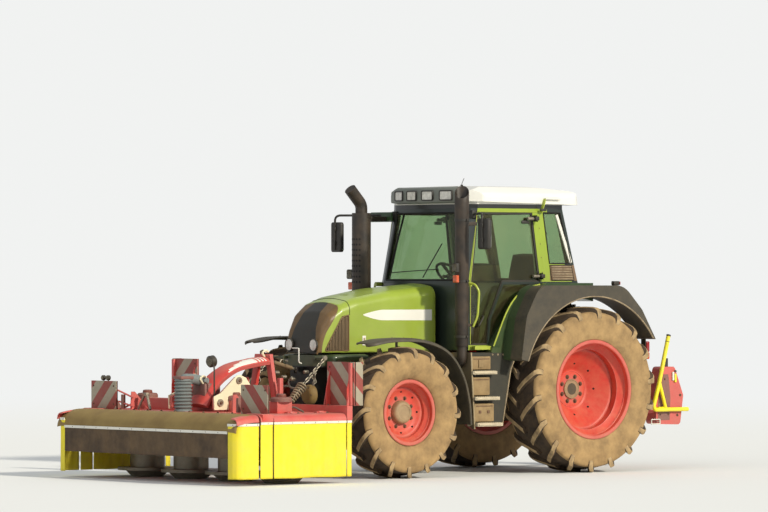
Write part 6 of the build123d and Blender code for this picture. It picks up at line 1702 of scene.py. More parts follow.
def make_far_lamps():
    """The far lamp cluster beside the exhaust, and a small lamp on each rear fender."""
    bm = bmesh.new()
    add_box(bm, (-0.86, -0.76), stretch(-1.70, -1.62), (1.98, 2.08), bevel=0.012)
    add_box(bm, (-0.852, -0.768), stretch(-1.707, -1.699), (1.99, 2.07), bevel=0.005, material=1)
    add_tube(bm, line(1, (-0.76, -1.66, 2.02), (-0.66, -1.66, 2.01)), 0.012, bend=0, sides=10)
    add_box(bm, (-0.85, -0.77), stretch(-1.69, -1.63), (1.87, 1.95), bevel=0.012, material=2)
    for side in (1, -1):
        add_box(bm, span(side, 1.02, 1.07), stretch(0.28, 0.36), (1.915, 1.960), bevel=0.010)
        add_box(bm, span(side, 1.018, 1.072), stretch(0.355, 0.366), (1.922, 1.955), bevel=0.004,
                material=3)
    add_piece("side_lamps", bm, "chassis", ("black", "lens", "amber", "tail_red"))


def make_handles():
    """The lime grab handles beside the pipes, each with its upper foot."""
    bm = bmesh.new()
    for side in (1, -1):
        points = line(side, (0.735, -1.40, 1.930), (0.80, -1.37, 1.935), (0.84, -1.34, 1.86), (0.825, -1.35, 1.60),
                      (0.79, -1.38, 1.50))
        add_tube(bm, points, 0.012, bend=0.05, sides=12)
        add_box(bm, span(side, 0.700, 0.745), stretch(-1.42, -1.35), (1.905, 1.950), bevel=0.006)
    add_piece("grab_handles", bm, "chassis", ("lime",))


def cushion(bm, x, y, z, crown, seams, turn=None, material=0, columns=28, rows_count=28):
    """A stuffed pad with sides that pull in at its corners, and sewn channels across it."""
    wide, long, thick = x[1] - x[0], y[1] - y[0], z[1] - z[0]
    middle = Vector(((x[0] + x[1]) / 2, (y[0] + y[1]) / 2, (z[0] + z[1]) / 2))
    for face in (1, -1):
        grid = []
        for i in range(columns + 1):
            row = []
            for j in range(rows_count + 1):
                a = -1 + 2 * i / columns
                b = -1 + 2 * j / rows_count
                edge = (1 - abs(a) ** 5) * (1 - abs(b) ** 5)
                lift = (edge ** 0.32) * (0.5 + (crown if face > 0 else crown * 0.25) * (1 - a * a * 0.6 - b * b * 0.5))
                dip = 0.0
                for seam in seams:
                    dip += 0.14 * math.exp(-((a - seam) / 0.035) ** 2) * edge
                px = a * wide / 2 * (1 - 0.04 * b * b)
                py = b * long / 2 * (1 - 0.04 * a * a)
                pz = face * thick * (lift * 0.8 - (dip if face > 0 else 0))
                point = Vector((px, py, pz))
                row.append(bm.verts.new((turn @ point if turn else point) + middle))
            grid.append(row)
        for low, high in zip(grid, grid[1:]):
            for j in range(rows_count):
                corners = (low[j], high[j], high[j + 1], low[j + 1])
                bm.faces.new(corners if face > 0 else corners[::-1]).material_index = material
    bmesh.ops.remove_doubles(bm, verts=bm.verts, dist=0.0004)


def make_seat():
    """The driver's seat: two stuffed cushions on a pan, with its arm rests."""
    bm = bmesh.new()
    cushion(bm, (-0.225, 0.225), stretch(-0.585, -0.095), (1.625, 1.700), 0.24, (-0.55, 0.55))
    pad = add_piece("seat_cushion", bm, "chassis", ("seat",), smooth=60)
    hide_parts("driver_seat")
    bm = bmesh.new()
    lean = Matrix.Rotation(math.radians(-101), 3, "X")
    cushion(bm, (-0.215, 0.215), stretch(-0.315, 0.225), (1.945, 2.015), 0.22, (-0.55, 0.55), turn=lean)
    back = add_piece("seat_back", bm, "chassis", ("seat",), smooth=60)
    bm = bmesh.new()
    add_box(bm, (-0.215, 0.215), stretch(-0.57, -0.11), (1.602, 1.640), bevel=0.012)
    for side in (1, -1):
        add_tube(bm, line(side, (0.225, -0.10, 1.74), (0.225, -0.12, 1.86), (0.225, -0.38, 1.86)),
                 0.020, bend=0.05, sides=14)
    add_piece("seat_pan", bm, "chassis", ("dash",))


# Fenders, steps, mirrors, lamp bar and small parts

def rear_fender_paint():
    """Dusty black, with the inner third green like the cab's own fender."""
    base = surface("rear_fender", srgb(50, 48, 41), 0.55, vary=0.15, scale=5, grain=300, bump=0.22, dust=0.42,
                   dust_low=0.8, dust_high=2.6, dust_colour=srgb(118, 104, 78), top_dust=0.5)
    return by_place(base, srgb(52, 70, 38), ("|X|", "LESS_THAN", 0.925), ("Y", "LESS_THAN", Y(-0.60)))


def mask_paint_with_light_and_shade():
    """A near black middle between two creases that close toward the top, painted as shade, and brown flanks painted as
    sunlit.
    """
    material = surface("mask", srgb(36, 36, 31), 0.38, vary=0.15, scale=5, grain=260, bump=0.08, dust=0.25,
                       dust_low=1.1, dust_high=2.0, dust_colour=srgb(92, 80, 60))
    tree, socket, shade = painted(material)
    place = object_place(tree)
    parts = split(tree, place)
    # Painted light: the near black middle stands for shade and the brown flanks for sunlight.
    crease = maths(tree, "MULTIPLY_ADD", parts["Z"], 0.25, maths(tree, "ABSOLUTE", parts["X"]))
    flank = maths(tree, "GREATER_THAN", crease, 0.545)
    brown = mixed(tree, cloudy(tree, place, 9.0, 5.0, 0.6), srgb(84, 64, 34), srgb(126, 98, 60))
    tree.links.new(mixed(tree, flank, shade, brown), socket)
    return material


def front_frame_paint():
    """The green bolster over a near black casting."""
    base = surface("front_frame", srgb(46, 62, 38), 0.45, vary=0.12, scale=4.0, grain=180, bump=0.10, dust=0.4,
                   dust_low=0.9, dust_high=2.2, dust_colour=srgb(110, 100, 70), coat=0.15)
    return by_place(base, srgb(26, 25, 21), ("Z", "LESS_THAN", 1.112))


FRONT_FENDER_LINE = ((-0.503, 0.697), (-0.200, 0.742), (0.207, 0.728), (0.520, 0.610), (0.712, 0.380),
                     (0.800, 0.110), (0.824, -0.135))
FENDER_SECTION = (
    # x and height over the fender's line, round its section from the inner edge out, then back underneath
    (0.763, -0.014), (0.763, 0.000), (0.775, 0.003), (0.840, 0.006), (0.920, 0.008), (1.000, 0.006), (1.036, 0.002),
    (1.050, -0.004), (1.058, -0.014), (1.060, -0.030), (1.052, -0.034), (1.048, -0.022), (1.040, -0.012),
    (1.000, -0.005), (0.920, -0.003), (0.840, -0.005), (0.780, -0.008), (0.773, -0.014),
)


def make_front_fenders():
    """Curved strips over the front wheels, with a rolled outer lip and their stays' bolts."""
    centre_y, centre_z = FRONT_Y - REAR_Y, 0.655
    path = [Vector(point) for point in smooth_line([(0, y, z) for y, z in FRONT_FENDER_LINE], 9)]
    for side, hand in SIDES:
        bm = bmesh.new()
        rows = []
        for index, point in enumerate(path):
            tip = min(1.0, (point - path[0]).length / 0.11)
            width = 0.45 + 0.55 * math.sqrt(1 - (1 - tip) ** 2)
            ahead = (path[min(index + 1, len(path) - 1)] - path[max(index - 1, 0)]).normalized()
            up = Vector((0, -ahead.z, ahead.y))
            place = Vector((0, Y(centre_y + point.y), centre_z + point.z))
            rows.append([bm.verts.new(place + Vector((side * (0.911 + (x - 0.911) * width), 0, 0))
                                      + up * (height - 0.010)) for x, height in FENDER_SECTION])
        close_rows(bm, rows)
        piece = add_piece(f"fender_strip_{hand}", bm, f"knuckle_{hand}", ("fender",), smooth=50)
        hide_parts(f"front_fender_{hand}")
        bm = bmesh.new()
        for x in (0.82, 1.00):
            for y, z in ((-0.040, 0.742), (0.060, 0.738)):
                add_hex(bm, (side * x, Y(centre_y + y), centre_z + z - 0.006), (0, 0, 1), 0.009, 0.006)
        add_piece(f"fender_bolts_{hand}", bm, f"knuckle_{hand}", ("bolt",))


GREEN_EDGE = ((-1.120, 1.300), (-1.026, 1.494), (-0.950, 1.640), (-0.860, 1.760), (-0.760, 1.842), (-0.620, 1.900),
              (-0.500, 1.925))
PANEL_BACK = ((-0.500, 1.905), (-0.640, 1.890), (-0.760, 1.800), (-0.860, 1.690), (-0.925, 1.560), (-0.965, 1.380),
              (-0.985, 1.300))


def make_fender_trim():
    """The green panel ahead of each rear fender with its bright edge, a painted highlight, and the fenders' rolled
    lips, coloured light as a painted highlight.
    """
    for side, hand in SIDES:
        bm = bmesh.new()
        front = smooth_line(GREEN_EDGE, 4)
        back = smooth_line(PANEL_BACK, 4)[::-1]
        rows = []
        for (y0, z0), (y1, z1) in zip(front, back):
            rows.append([bm.verts.new(Vector((side * x, Y(y), z)))
                         for x, y, z in ((0.807, y0, z0), (0.8065, (y0 + y1) / 2, (z0 + z1) / 2), (0.801, y1, z1),
                                         (0.793, y1, z1), (0.797, (y0 + y1) / 2, (z0 + z1) / 2), (0.799, y0, z0))])
        close_rows(bm, rows)
        add_piece(f"green_panel_{hand}", bm, "chassis", ("inner_green",), smooth=50)
    bm = bmesh.new()
    for side in (1, -1):
        # The lime tube along the green panel's front edge is a painted highlight.
        add_tube(bm, [(side * 0.805, Y(y), z) for y, z in smooth_line(GREEN_EDGE, 6)], 0.0085, bend=0, sides=10)
        add_tube(bm, line(side, (0.740, -1.335, 1.297), (0.740, -1.105, 1.297)), 0.0, bend=0,
                 flat=(0.026, 0.005, (0, 0, 1)))
        add_tube(bm, line(side, (0.764, -1.335, 1.284), (0.764, -1.105, 1.284)), 0.0, bend=0,
                 flat=(0.004, 0.018, (0, 0, 1)))
    add_piece("green_edges", bm, "chassis", ("lime",))
    bm = bmesh.new()
    # The fenders' lips are coloured light as a painted highlight.
    for side in (1, -1):
        arch = []
        for step in range(41):
            angle = math.radians(161.7 - (161.7 - 33.0) * step / 40)
            arch.append((side * 1.094, Y(0.9534 * math.cos(angle)), 0.850 + 0.9534 * math.sin(angle)))
        add_tube(bm, arch, 0.0085, bend=0, sides=10)
    add_piece("rear_fender_lips", bm, "chassis", ("dust_and_highlight_edge",))


STEP_PLATE_Y = -1.472
# Outline of the front plate: (x, z)
STEP_PLATE = ((0.600, 1.240), (0.862, 1.240), (0.872, 1.04), (0.915, 0.470), (0.880, 0.470), (0.780, 0.62), (0.640,
                                                                                                             1.00))
TREAD_INNER = 0.800
STEP_TREADS = (
    # outer x, low z, high z, front y, rear y
    (0.905, 1.020, 1.052, -1.470, -1.145),
    (0.935, 0.760, 0.792, -1.468, -1.135),
    (0.965, 0.496, 0.530, -1.462, -1.120),
)
STEP_BOXES = (
    # low z, high z, front y, rear y, outer x
    (1.066, 1.200, -1.445, -1.190, 0.845),
    (0.806, 0.990, -1.445, -1.205, 0.850),
    (0.540, 0.724, -1.425, -1.165, 0.868),
)
SKIRT_X = 0.812
SKIRT_LINE = ((-1.452, 1.238), (-0.835, 1.232), (-0.850, 1.170), (-0.905, 1.050), (-1.012, 0.505), (-1.430, 0.490))


def rounded_tread(outer, y0, y1):
    """A tread's outline in plan, with its two outer corners taken round."""
    outline = []
    for corner_x, corner_y, radius, turns in ((outer - 0.02, y1 - 0.02, 0.02, range(0, 91, 15)),
                                              (TREAD_INNER, y1, 0.0, (0,)), (TREAD_INNER, y0, 0.0, (0,)),
                                              (outer - 0.012, y0 + 0.012, 0.012, range(-90, 1, 15))):
        outline += [(corner_x + radius * math.cos(math.radians(turn)), corner_y + radius * math.sin(math.radians(turn)))
                    for turn in turns]
    return outline


def make_treads():
    """The front plate with its bright edge, and ribbed treads with round outer corners."""
    bm = bmesh.new()
    for side in (1, -1):
        add_plate(bm, [Vector((side * x, Y(STEP_PLATE_Y), z)) for x, z in STEP_PLATE], (0, 0.016, 0))
        add_tube(bm, [(side * x, Y(STEP_PLATE_Y + 0.008), z) for x, z in STEP_PLATE[1:4]], 0.0085, bend=0.03, sides=8,
                 material=1)
        for outer, z0, z1, y0, y1 in STEP_TREADS:
            points = [Vector((side * x, Y(y), z0)) for x, y in rounded_tread(outer, y0, y1)]
            add_plate(bm, points, (0, 0, z1 - z0), material=2)
            rib_y = y0 + 0.03
            while rib_y < y1 - 0.03:
                add_box(bm, span(side, TREAD_INNER + 0.006, outer - 0.012), stretch(rib_y, rib_y + 0.010),
                        (z1 - 0.001, z1 + 0.004), material=2)
                rib_y += 0.026
            middle = (z0 + z1) / 2
            add_tube(bm, line(side, (outer + 0.0015, y0 + 0.012, middle), (outer + 0.0015, y1 - 0.03, middle)),
                     (z1 - z0) / 2 * 0.55, bend=0, sides=8, material=2)
    treads = add_piece("step_treads", bm, "chassis", ("step_dark", "step", "tread_grey"), smooth=40)
    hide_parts("side_steps")


def make_tool_boxes():
    """The boxes behind the treads, each with its lid's seam, a catch on the upper one and two on the lower one."""
    bm = bmesh.new()
    for side in (1, -1):
        for index, (z0, z1, y0, y1, outer) in enumerate(STEP_BOXES):
            add_box(bm, span(side, 0.74, outer), stretch(y0, y1), (z0, z1), bevel=0.014)
            add_box(bm, span(side, outer - 0.012, outer + 0.004), stretch(y0 + 0.02, y1 - 0.02),
                    (z1 - 0.030, z1 - 0.022), bevel=0.002, material=1)
            spot = (y0 + y1) / 2
            if index == 0:
                add_box(bm, span(side, outer - 0.010, outer + 0.012), stretch(spot - 0.04, spot + 0.02),
                        (z0 + 0.02, z1 - 0.035), bevel=0.006)
            if index == 2:
                for shift in (-0.075, 0.035):
                    add_box(bm, span(side, outer - 0.004, outer + 0.007), stretch(spot + shift, spot + shift + 0.03),
                            (z0 + 0.085, z0 + 0.115), bevel=0.003, material=1)
    add_piece("tool_boxes", bm, "chassis", ("tank", "bolt"))


def make_skirt():
    """The black plate between steps and wheel, with a light tube along its edge and a row of bolts."""
    bm = bmesh.new()
    for side in (1, -1):
        side_plate(bm, side, SKIRT_X, SKIRT_LINE, -0.010)
        edge = [(side * (SKIRT_X + 0.003), Y(y + 0.001), z) for y, z in SKIRT_LINE[1:5]]
        add_tube(bm, edge, 0.0075, bend=0.03, sides=8, material=1)
        for y in (-0.93, -1.00, -1.07, -1.14):
            add_hex(bm, (side * SKIRT_X, Y(y), 1.215), (side, 0, 0), 0.007, 0.005, material=1)
    add_piece("step_skirt", bm, "chassis", ("skirt", "dust_and_highlight_edge"))


def rounded_block(bm, x, y, z, radius, material=0):
    """A box with well rounded upright edges."""
    corners = []
    for cx, cy, start in ((x[1] - radius, y[1] - radius, 0), (x[0] + radius, y[1] - radius, 90),
                          (x[0] + radius, y[0] + radius, 180), (x[1] - radius, y[0] + radius, 270)):
        for step in range(5):
            angle = math.radians(start + 90 * step / 4)
            corners.append((cx + radius * math.cos(angle), cy + radius * math.sin(angle)))
    middle = Vector(((x[0] + x[1]) / 2, (y[0] + y[1]) / 2, 0))
    rows = []
    for height, shrink in ((z[0], 0.80), (z[0] + radius * 0.35, 0.95), (z[0] + radius, 1.0), (z[1] - radius, 1.0),
                           (z[1] - radius * 0.35, 0.95), (z[1], 0.80)):
        rows.append([bm.verts.new(middle + (Vector((px, py, 0)) - middle) * shrink + Vector((0, 0, height)))
                     for px, py in corners])
    close_rows(bm, rows, material)


MIRRORS = (
    # side, arm's start, arm's outer end x and y, head's low and high z
    (1, (0.640, -1.236, 2.640), (1.050, -1.480), (2.280, 2.590)),
    (-1, (-0.585, -1.236, 2.640), (-1.150, -1.620), (2.260, 2.570)),
)


def make_mirrors():
    """Rounded mirror heads with their glass behind, arms and clamps, and the far arm's broad blade."""
    bm = bmesh.new()
    for side, pivot, (x, y), (z0, z1) in MIRRORS:
        add_tube(bm, [(pivot[0], Y(pivot[1]), pivot[2]), (x, Y(y), pivot[2]), (x, Y(y), z0 + 0.02)], 0.012, bend=0.06,
                 sides=12)
        rounded_block(bm, (x - 0.085, x + 0.085), stretch(y + 0.004, y + 0.060), (z0, z1), 0.024)
        add_box(bm, (x - 0.070, x + 0.070), stretch(y + 0.0585, y + 0.0625), (z0 + 0.020, z1 - 0.020), bevel=0.002,
                material=1)
        for z in (z0 + 0.09, z1 - 0.07):
            add_box(bm, (x - 0.018, x + 0.018), stretch(y - 0.016, y + 0.014), (z - 0.020, z + 0.020), bevel=0.005)
        px = pivot[0]
        add_box(bm, (px - 0.045, px + 0.030), stretch(pivot[1] - 0.050, pivot[1] + 0.010), (2.600, 2.680), bevel=0.010)
    piece = add_piece("mirror_heads", bm, "chassis", ("black", "mirror"), smooth=50)
    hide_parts("mirrors")
    bm = bmesh.new()
    add_box(bm, (-0.905, -0.560), stretch(-1.345, -1.325), (2.570, 2.672), bevel=0.008)
    add_piece("far_mirror_blade", bm, "chassis", ("inner_green",))


def make_lamp_bar():
    """The roof's lamp bar: a rounded grey housing that follows the roof's front, and its four lamps, whose panes are
    painted pale as the light they catch.
    """
    bm = bmesh.new()
    rows = []
    steps = 56
    for step in range(steps + 1):
        x = -0.592 + 1.184 * step / steps
        front = bar_front(x)
        taper = max(0.0, (abs(x) - 0.47) / 0.122)
        low, high = 2.752 + 0.012 * taper, 2.918 - 0.050 * taper ** 1.5
        section = ((-1.318, low), (front + 0.030, low), (front + 0.010, low + 0.006), (front + 0.001, low + 0.018),
                   (front + 0.001, high - 0.032), (front + 0.008, high - 0.014), (front + 0.026, high - 0.004),
                   (front + 0.055, high), (-1.318, high + 0.004))
        rows.append([bm.verts.new(Vector((x, Y(min(y, -1.3175 - 0.0002 * i)), z)))
                     for i, (y, z) in enumerate(section)])
    close_rows(bm, rows)
    piece = add_piece("lamp_bar_shell", bm, "chassis", ("lamp_grey",), smooth=45)
    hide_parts("lamp_bar")
    bm = bmesh.new()
    for x, lean in LAMP_PLACES:
        turn = Matrix.Translation(Vector((x, Y(bar_front(x)), 2.832))) @ Matrix.Rotation(lean, 4, "Z")
        half, tall, ring = 0.086, 0.053, 0.011

        def outline(across, up, y, radius):
            points = []
            for cx, cz, start in ((across - radius, up - radius, 0), (-across + radius, up - radius, 90),
                                  (-across + radius, -up + radius, 180), (across - radius, -up + radius, 270)):
                for k in range(5):
                    angle = math.radians(start + 90 * k / 4)
                    points.append(turn @ Vector((cx + radius * math.cos(angle), y, cz + radius * math.sin(angle))))
            return [bm.verts.new(p) for p in points]
        loops = [outline(half, tall, 0.012, 0.018), outline(half, tall, -0.010, 0.018),
                 outline(half - 0.003, tall - 0.003, -0.014, 0.016), outline(half - ring, tall - ring, -0.014, 0.012),
                 outline(half - ring - 0.002, tall - ring - 0.002, 0.004, 0.010)]
        for first, second in zip(loops, loops[1:]):
            for i in range(20):
                bm.faces.new((first[i], first[(i + 1) % 20], second[(i + 1) % 20], second[i])).material_index = 0
        bm.faces.new(loops[-1]).material_index = 1
        bm.faces.new(loops[0]).material_index = 0
        pane = [outline(half - ring - 0.001, tall - ring - 0.001, -0.008, 0.011),
                outline(half - ring - 0.001, tall - ring - 0.001, -0.0065, 0.011)]
        for i in range(20):
            bm.faces.new((pane[0][i], pane[0][(i + 1) % 20], pane[1][(i + 1) % 20], pane[1][i])).material_index = 2
        bm.faces.new(pane[0]).material_index = 2
        bm.faces.new(pane[1]).material_index = 2
        bowl = turn @ Matrix.Translation(Vector((0, 0.0035, -0.004))) @ Matrix.Rotation(-math.pi / 2, 4, "Z")
        add_lathe(bm, ((0.0, 0.030), (0.004, 0.029), (0.001, 0.020), (-0.001, 0.008), (0.005, 0.007), (0.006, 0.0)),
                  segments=24, materials=[1] * 6, closed=False, place=bowl)
    add_piece("roof_lamps", bm, "chassis", ("black", "reflector", "lens_glint_and_pale_plate"), smooth=45)


def make_cab_details():
    """Louvres, pillar bolts, the pale bars in the quarter windows and the door latches."""
    bm = bmesh.new()
    for side in (1, -1):
        for index in range(6):
            z = 1.982 + index * 0.0255
            share = (z - 1.965) / (2.122 - 1.965)
            y0, y1 = -0.235 - 0.018 * share, 0.078 - 0.028 * share
            points = [rear_side(y0 + (y1 - y0) * s / 4, z, 0.006) for s in range(5)]
            add_tube(bm, mirrored_points(points, side), 0.0, bend=0, flat=(0.006, 0.0062, (0, 0, 1)))
        for y, z in ((-0.385, 2.05), (-0.395, 2.20), (-0.405, 2.34), (-0.415, 2.50)):
            spot = rear_side(y, z, 0.001)
            add_hex(bm, (side * spot.x, spot.y, spot.z), (side, 0, 0), 0.006, 0.003, washer=False, material=1)
        bar = line(side, (0.628, -0.125, 2.640), (0.640, 0.062, 2.145))
        add_tube(bm, bar, 0.0, bend=0, flat=(0.016, 0.008, (1, 0, 0)), material=2)
        post = line(side, (0.650, -0.50, 2.60), (0.655, -0.42, 2.00))
        add_tube(bm, post, 0.012, bend=0, sides=10, material=2)
        latch = cab_side(-0.60, 2.560, 0.008)
        add_box(bm, span(side, latch.x - 0.010, latch.x + 0.008), (latch.y - 0.055, latch.y + 0.045),
                (2.545, 2.580), bevel=0.010, material=3)
    add_piece("cab_small_parts", bm, "chassis", ("dust_and_highlight_edge", "bolt", "pale", "black"))


def make_nose_parts():
    """The pale rod under the near headlamp, round housings behind the springs, and pipes under the bolster."""
    bm = bmesh.new()
    add_tube(bm, line(1, (0.095, -3.150, 1.291), (0.197, -3.150, 1.291), (0.197, -3.150, 1.150),
                      (0.197, -3.118, 1.140)), 0.0065, bend=0.015, sides=10)
    for side in (1, -1):
        place = Matrix.Translation(Vector((side * 0.330, Y(-3.105), 0.830))) @ Matrix.Rotation(-math.pi / 2, 4, "Z")
        add_lathe(bm, ((-0.01, 0.100), (0.020, 0.100), (0.045, 0.092), (0.062, 0.072), (0.066, 0.050), (0.066, 0.0),
                       (-0.01, 0.0)), segments=40, materials=[1] * 7, place=place)
        for angle, spot in round_places(6, 0.078):
            add_hex(bm, (side * 0.330 + spot.y, Y(-3.105) - 0.052, 0.830 + spot.z), (0, -1, 0), 0.008, 0.007,
                    washer=False, material=2)
    for x, z, r in ((-0.20, 1.04, 0.022), (-0.08, 1.00, 0.018), (0.06, 0.98, 0.020), (0.28, 1.055, 0.018)):
        add_cylinder(bm, (x, Y(-3.150), z), (x, Y(-3.095), z), r, sides=20, material=3, chamfer=0.004)
        add_cylinder(bm, (x, Y(-3.157), z), (x, Y(-3.148), z), r * 0.62, sides=6, material=2)
    for x0, x1, z in ((-0.30, -0.02, 0.93), (0.02, 0.22, 0.90)):
        add_tube(bm, [(x0, Y(-3.098), z + 0.10), (x0, Y(-3.145), z + 0.06), (x0 + 0.03, Y(-3.150), z),
                      (x1 - 0.03, Y(-3.150), z - 0.02), (x1, Y(-3.098), z - 0.02)], 0.011, bend=0.03, sides=12,
                      material=3)
    add_piece("nose_fittings", bm, "chassis", ("pale", "cover", "bolt", "steel"))


def make_side_covers():
    """Dark green covers on the frame's sides, under the bonnet's lower edge."""
    bm = bmesh.new()
    for side in (1, -1):
        rounded_block(bm, span(side, 0.250, 0.425), stretch(-2.880, -2.420), (1.105, 1.228), 0.030)
        for y in (-2.82, -2.65, -2.48):
            add_hex(bm, (side * 0.425, Y(y), 1.165), (side, 0, 0), 0.010, 0.007, washer=False, material=1)
        add_tube(bm, line(side, (0.36, -2.425, 1.16), (0.36, -2.30, 1.16), (0.30, -2.18, 1.10)),
                 0.020, bend=0.05, sides=14, material=2)
    add_piece("frame_side_covers", bm, "chassis", ("inner_green", "bolt", "pipe"), smooth=50)


REAR_COVER_X = 0.585


def make_rear_parts():
    """Rear lamps under the fenders, the cover's small fittings with the hoop's cap, and a deep red plate painted as
    shade on the cover's side.
    """
    bm = bmesh.new()
    for side in (1, -1):
        rounded_block(bm, span(side, 0.850, 0.945), stretch(0.842, 0.888), (1.225, 1.335), 0.012)
        rounded_block(bm, span(side, 0.850, 0.945), stretch(0.842, 0.888), (1.150, 1.222), 0.012, material=1)
        add_box(bm, span(side, 0.862, 0.933), stretch(0.836, 0.844), (1.150, 1.372), bevel=0.003, material=2)
    add_piece("rear_lamps", bm, "chassis", ("tail_red", "amber", "black"), smooth=50)
    bm = bmesh.new()
    out = REAR_COVER_X
    add_box(bm, (out - 0.040, out - 0.004), stretch(1.420, 1.475), (1.052, 1.150), bevel=0.008)
    # The deep red plate on the cover's side is painted shade over its inner part.
    add_plate(bm, [Vector((out + 0.003, Y(y), z)) for y, z in ((1.325, 0.700), (1.400, 0.980), (1.470, 0.980),
                                                               (1.500, 0.740), (1.490, 0.500), (1.325, 0.500))],
              (-0.004, 0, 0), material=1)
    add_box(bm, (out, out + 0.016), stretch(1.520, 1.545), (0.915, 1.005), bevel=0.005, material=2)
    add_box(bm, (out, out + 0.020), stretch(1.550, 1.575), (0.895, 0.985), bevel=0.005, material=3)
    add_cylinder(bm, (out, Y(1.565), 1.012), (out + 0.018, Y(1.565), 1.012), 0.010, sides=20)
    for y, z in ((1.355, 0.56), (1.47, 0.56), (1.42, 0.93), (1.60, 0.55), (1.64, 0.76)):
        add_hex(bm, (out + 0.001, Y(y), z), (1, 0, 0), 0.010, 0.007, material=4)
    frame = [(out + 0.010, Y(1.225), 0.462), (out + 0.010, Y(1.345), 0.462), (out + 0.010, Y(1.345), 0.510),
             (out + 0.010, Y(1.225), 0.510), (out + 0.010, Y(1.225), 0.462), (out + 0.010, Y(1.260), 0.462)]
    add_tube(bm, frame, 0.006, bend=0.008, sides=10, material=2)
    add_box(bm, (out - 0.004, out + 0.010), stretch(1.300, 1.345), (0.478, 0.494), bevel=0.003, material=1)
    add_piece("rear_cover_parts", bm, "rear_carrier", ("black", "deep_red", "pale", "hoop", "bolt"),
              smooth=40)
    bm = bmesh.new()
    start, end = Vector((0.625, Y(1.440), 1.390)), Vector((0.625, Y(1.300), 0.870))
    along = (start - end).normalized()
    for at, radius, run in ((start - along * 0.012, 0.0238, 0.020), (start - along * 0.075, 0.0232, 0.010)):
        add_cylinder(bm, at, at + along * run, radius, sides=24, chamfer=0.003)
    add_piece("hoop_cap", bm, "rear_carrier", ("black",), smooth=50)


def soften_nodes():
    """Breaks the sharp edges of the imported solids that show, so that they catch the light."""
    for name, width in (("rear_fenders", 0.010), ("front_frame", 0.006), ("rear_headstock", 0.005),
                        ("mower_deck", 0.004), ("mower_headstock", 0.004), ("engine_block", 0.008),
                        ("side_tanks", 0.008), ("inner_fenders", 0.006), ("cab_roof", 0.012)):
        edge = NODES[name].modifiers.new("edge", "BEVEL")
        edge.width = width
        edge.segments = 2
        edge.limit_method = "ANGLE"
        edge.angle_limit = math.radians(40)
        edge.harden_normals = False


REAR_WALL_Y = 0.140


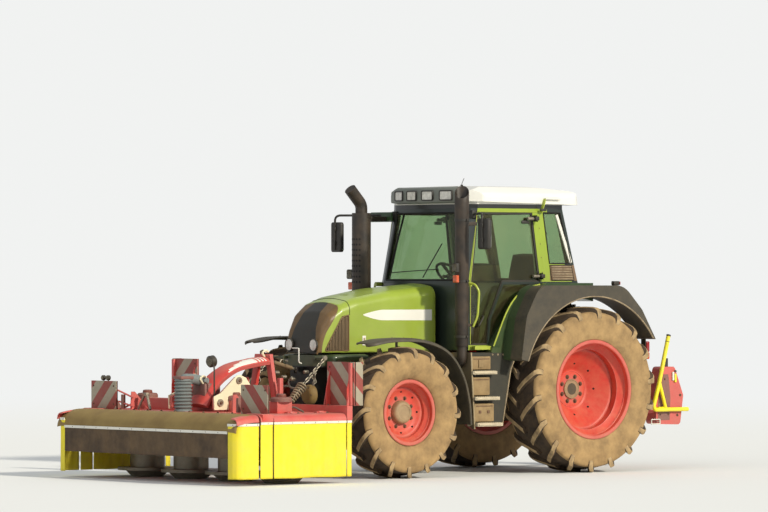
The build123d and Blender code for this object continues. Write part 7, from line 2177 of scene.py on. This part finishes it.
def make_rear_wall():
    """The cab's back: ribbed panel, valve block with couplings, blank plate, sockets, roof lamps and a wiper."""
    bm = bmesh.new()
    wall = REAR_WALL_Y
    for z in (1.31, 1.38, 1.45, 1.52):
        add_tube(bm, line(1, (-0.62, wall + 0.004, z), (0.62, wall + 0.004, z)), 0.0, bend=0,
                 flat=(0.010, 0.008, (0, 0, 1)))
    for x in (-0.625, 0.625):
        add_tube(bm, line(1, (x, wall + 0.004, 1.28), (x, wall + 0.004, 1.56)), 0.0, bend=0,
                 flat=(0.012, 0.010, (1, 0, 0)))
    rounded_block(bm, (-0.28, 0.28), stretch(wall, wall + 0.075), (1.60, 1.72), 0.020)
    for index in range(6):
        x = -0.225 + 0.09 * index
        add_cylinder(bm, (x, Y(wall + 0.070), 1.66), (x, Y(wall + 0.100), 1.66), 0.026, sides=28, material=1,
                     chamfer=0.005)
        add_cylinder(bm, (x, Y(wall + 0.098), 1.66), (x, Y(wall + 0.112), 1.66), 0.017, sides=24,
                     material=2 + index // 2, chamfer=0.003)
        add_tube(bm, [(x, Y(wall + 0.03), 1.605), (x, Y(wall + 0.055), 1.50), (x * 0.8, Y(wall + 0.065), 1.36),
                      (x * 0.7, Y(wall + 0.070), 1.255)], 0.010, bend=0.06, sides=10, material=5)
    add_box(bm, (0.36, 0.62), stretch(wall, wall + 0.012), (1.60, 1.72), bevel=0.004, material=6)
    for x in (0.385, 0.595):
        add_hex(bm, (x, Y(wall + 0.012), 1.66), (0, 1, 0), 0.006, 0.004, washer=False, material=1)
    add_cylinder(bm, (-0.42, Y(wall), 1.66), (-0.42, Y(wall + 0.045), 1.66), 0.034, sides=28, material=5, chamfer=0.006)
    add_box(bm, (-0.446, -0.394), stretch(wall + 0.040, wall + 0.052), (1.642, 1.690), bevel=0.005, material=5)
    add_cylinder(bm, (-0.53, Y(wall), 1.66), (-0.53, Y(wall + 0.030), 1.66), 0.022, sides=24, material=5, chamfer=0.004)
    for side in (1, -1):
        rounded_block(bm, span(side, 0.430, 0.570), stretch(0.090, 0.172), (2.742, 2.818), 0.016, material=5)
        # The lamp's face is painted pale as the light that its glass catches.
        add_box(bm, span(side, 0.442, 0.558), stretch(0.168, 0.176), (2.754, 2.806), bevel=0.005, material=6)

    def on_window(x, z, out):
        return (x, Y(0.150 - 0.25 * (z - 1.940) + out), z)
    add_cylinder(bm, on_window(0.0, 2.600, -0.004), on_window(0.0, 2.600, 0.024), 0.020, sides=24, material=5,
                 chamfer=0.004)
    add_tube(bm, [on_window(0.0, 2.600, 0.020), on_window(0.10, 2.45, 0.024), on_window(0.16, 2.34, 0.016)], 0.006,
             bend=0.03, sides=8, material=5)
    add_tube(bm, [on_window(0.02, 2.22, 0.009), on_window(0.30, 2.46, 0.009)], 0.0, bend=0,
             flat=(0.006, 0.006, (0, 1, 0)), material=5)
    add_piece("rear_wall_parts", bm, "chassis",
              ("skirt", "bolt", "tail_red", "lime", "pale", "black", "lens_glint_and_pale_plate"), smooth=40)


bpy.context.scene.view_settings.view_transform = "Standard"
make_camera()
make_lights()
make_floor()
M["cab"] = cab_paint_and_shade()
M["roof"] = roof_paint()
M["rear_fender"] = rear_fender_paint()
M["front_frame"] = front_frame_paint()
M["mask"] = mask_paint_with_light_and_shade()
dress_nodes()
for side, hand in SIDES:
    M[f"stripe_{hand}"] = striped(f"stripe_{hand}", side)
make_wheels()
make_bonnet()
make_grilles()
make_bonnet_trim()
make_headlamps()
make_boards()
make_deck()
make_brackets()
make_front_cover()
make_side_guards()
make_springs()
make_arch()
make_drive_cover()
make_arms()
make_headstock_trim()
make_doors()
make_cab_trim()
make_lamp_bar()
make_roof_fittings()
make_pipes()
make_far_lamps()
make_handles()
make_seat()
make_front_fenders()
make_fender_trim()
make_treads()
make_tool_boxes()
make_skirt()
make_mirrors()
make_cab_details()
make_nose_parts()
make_side_covers()
make_rear_parts()
make_rear_wall()
soften_nodes()
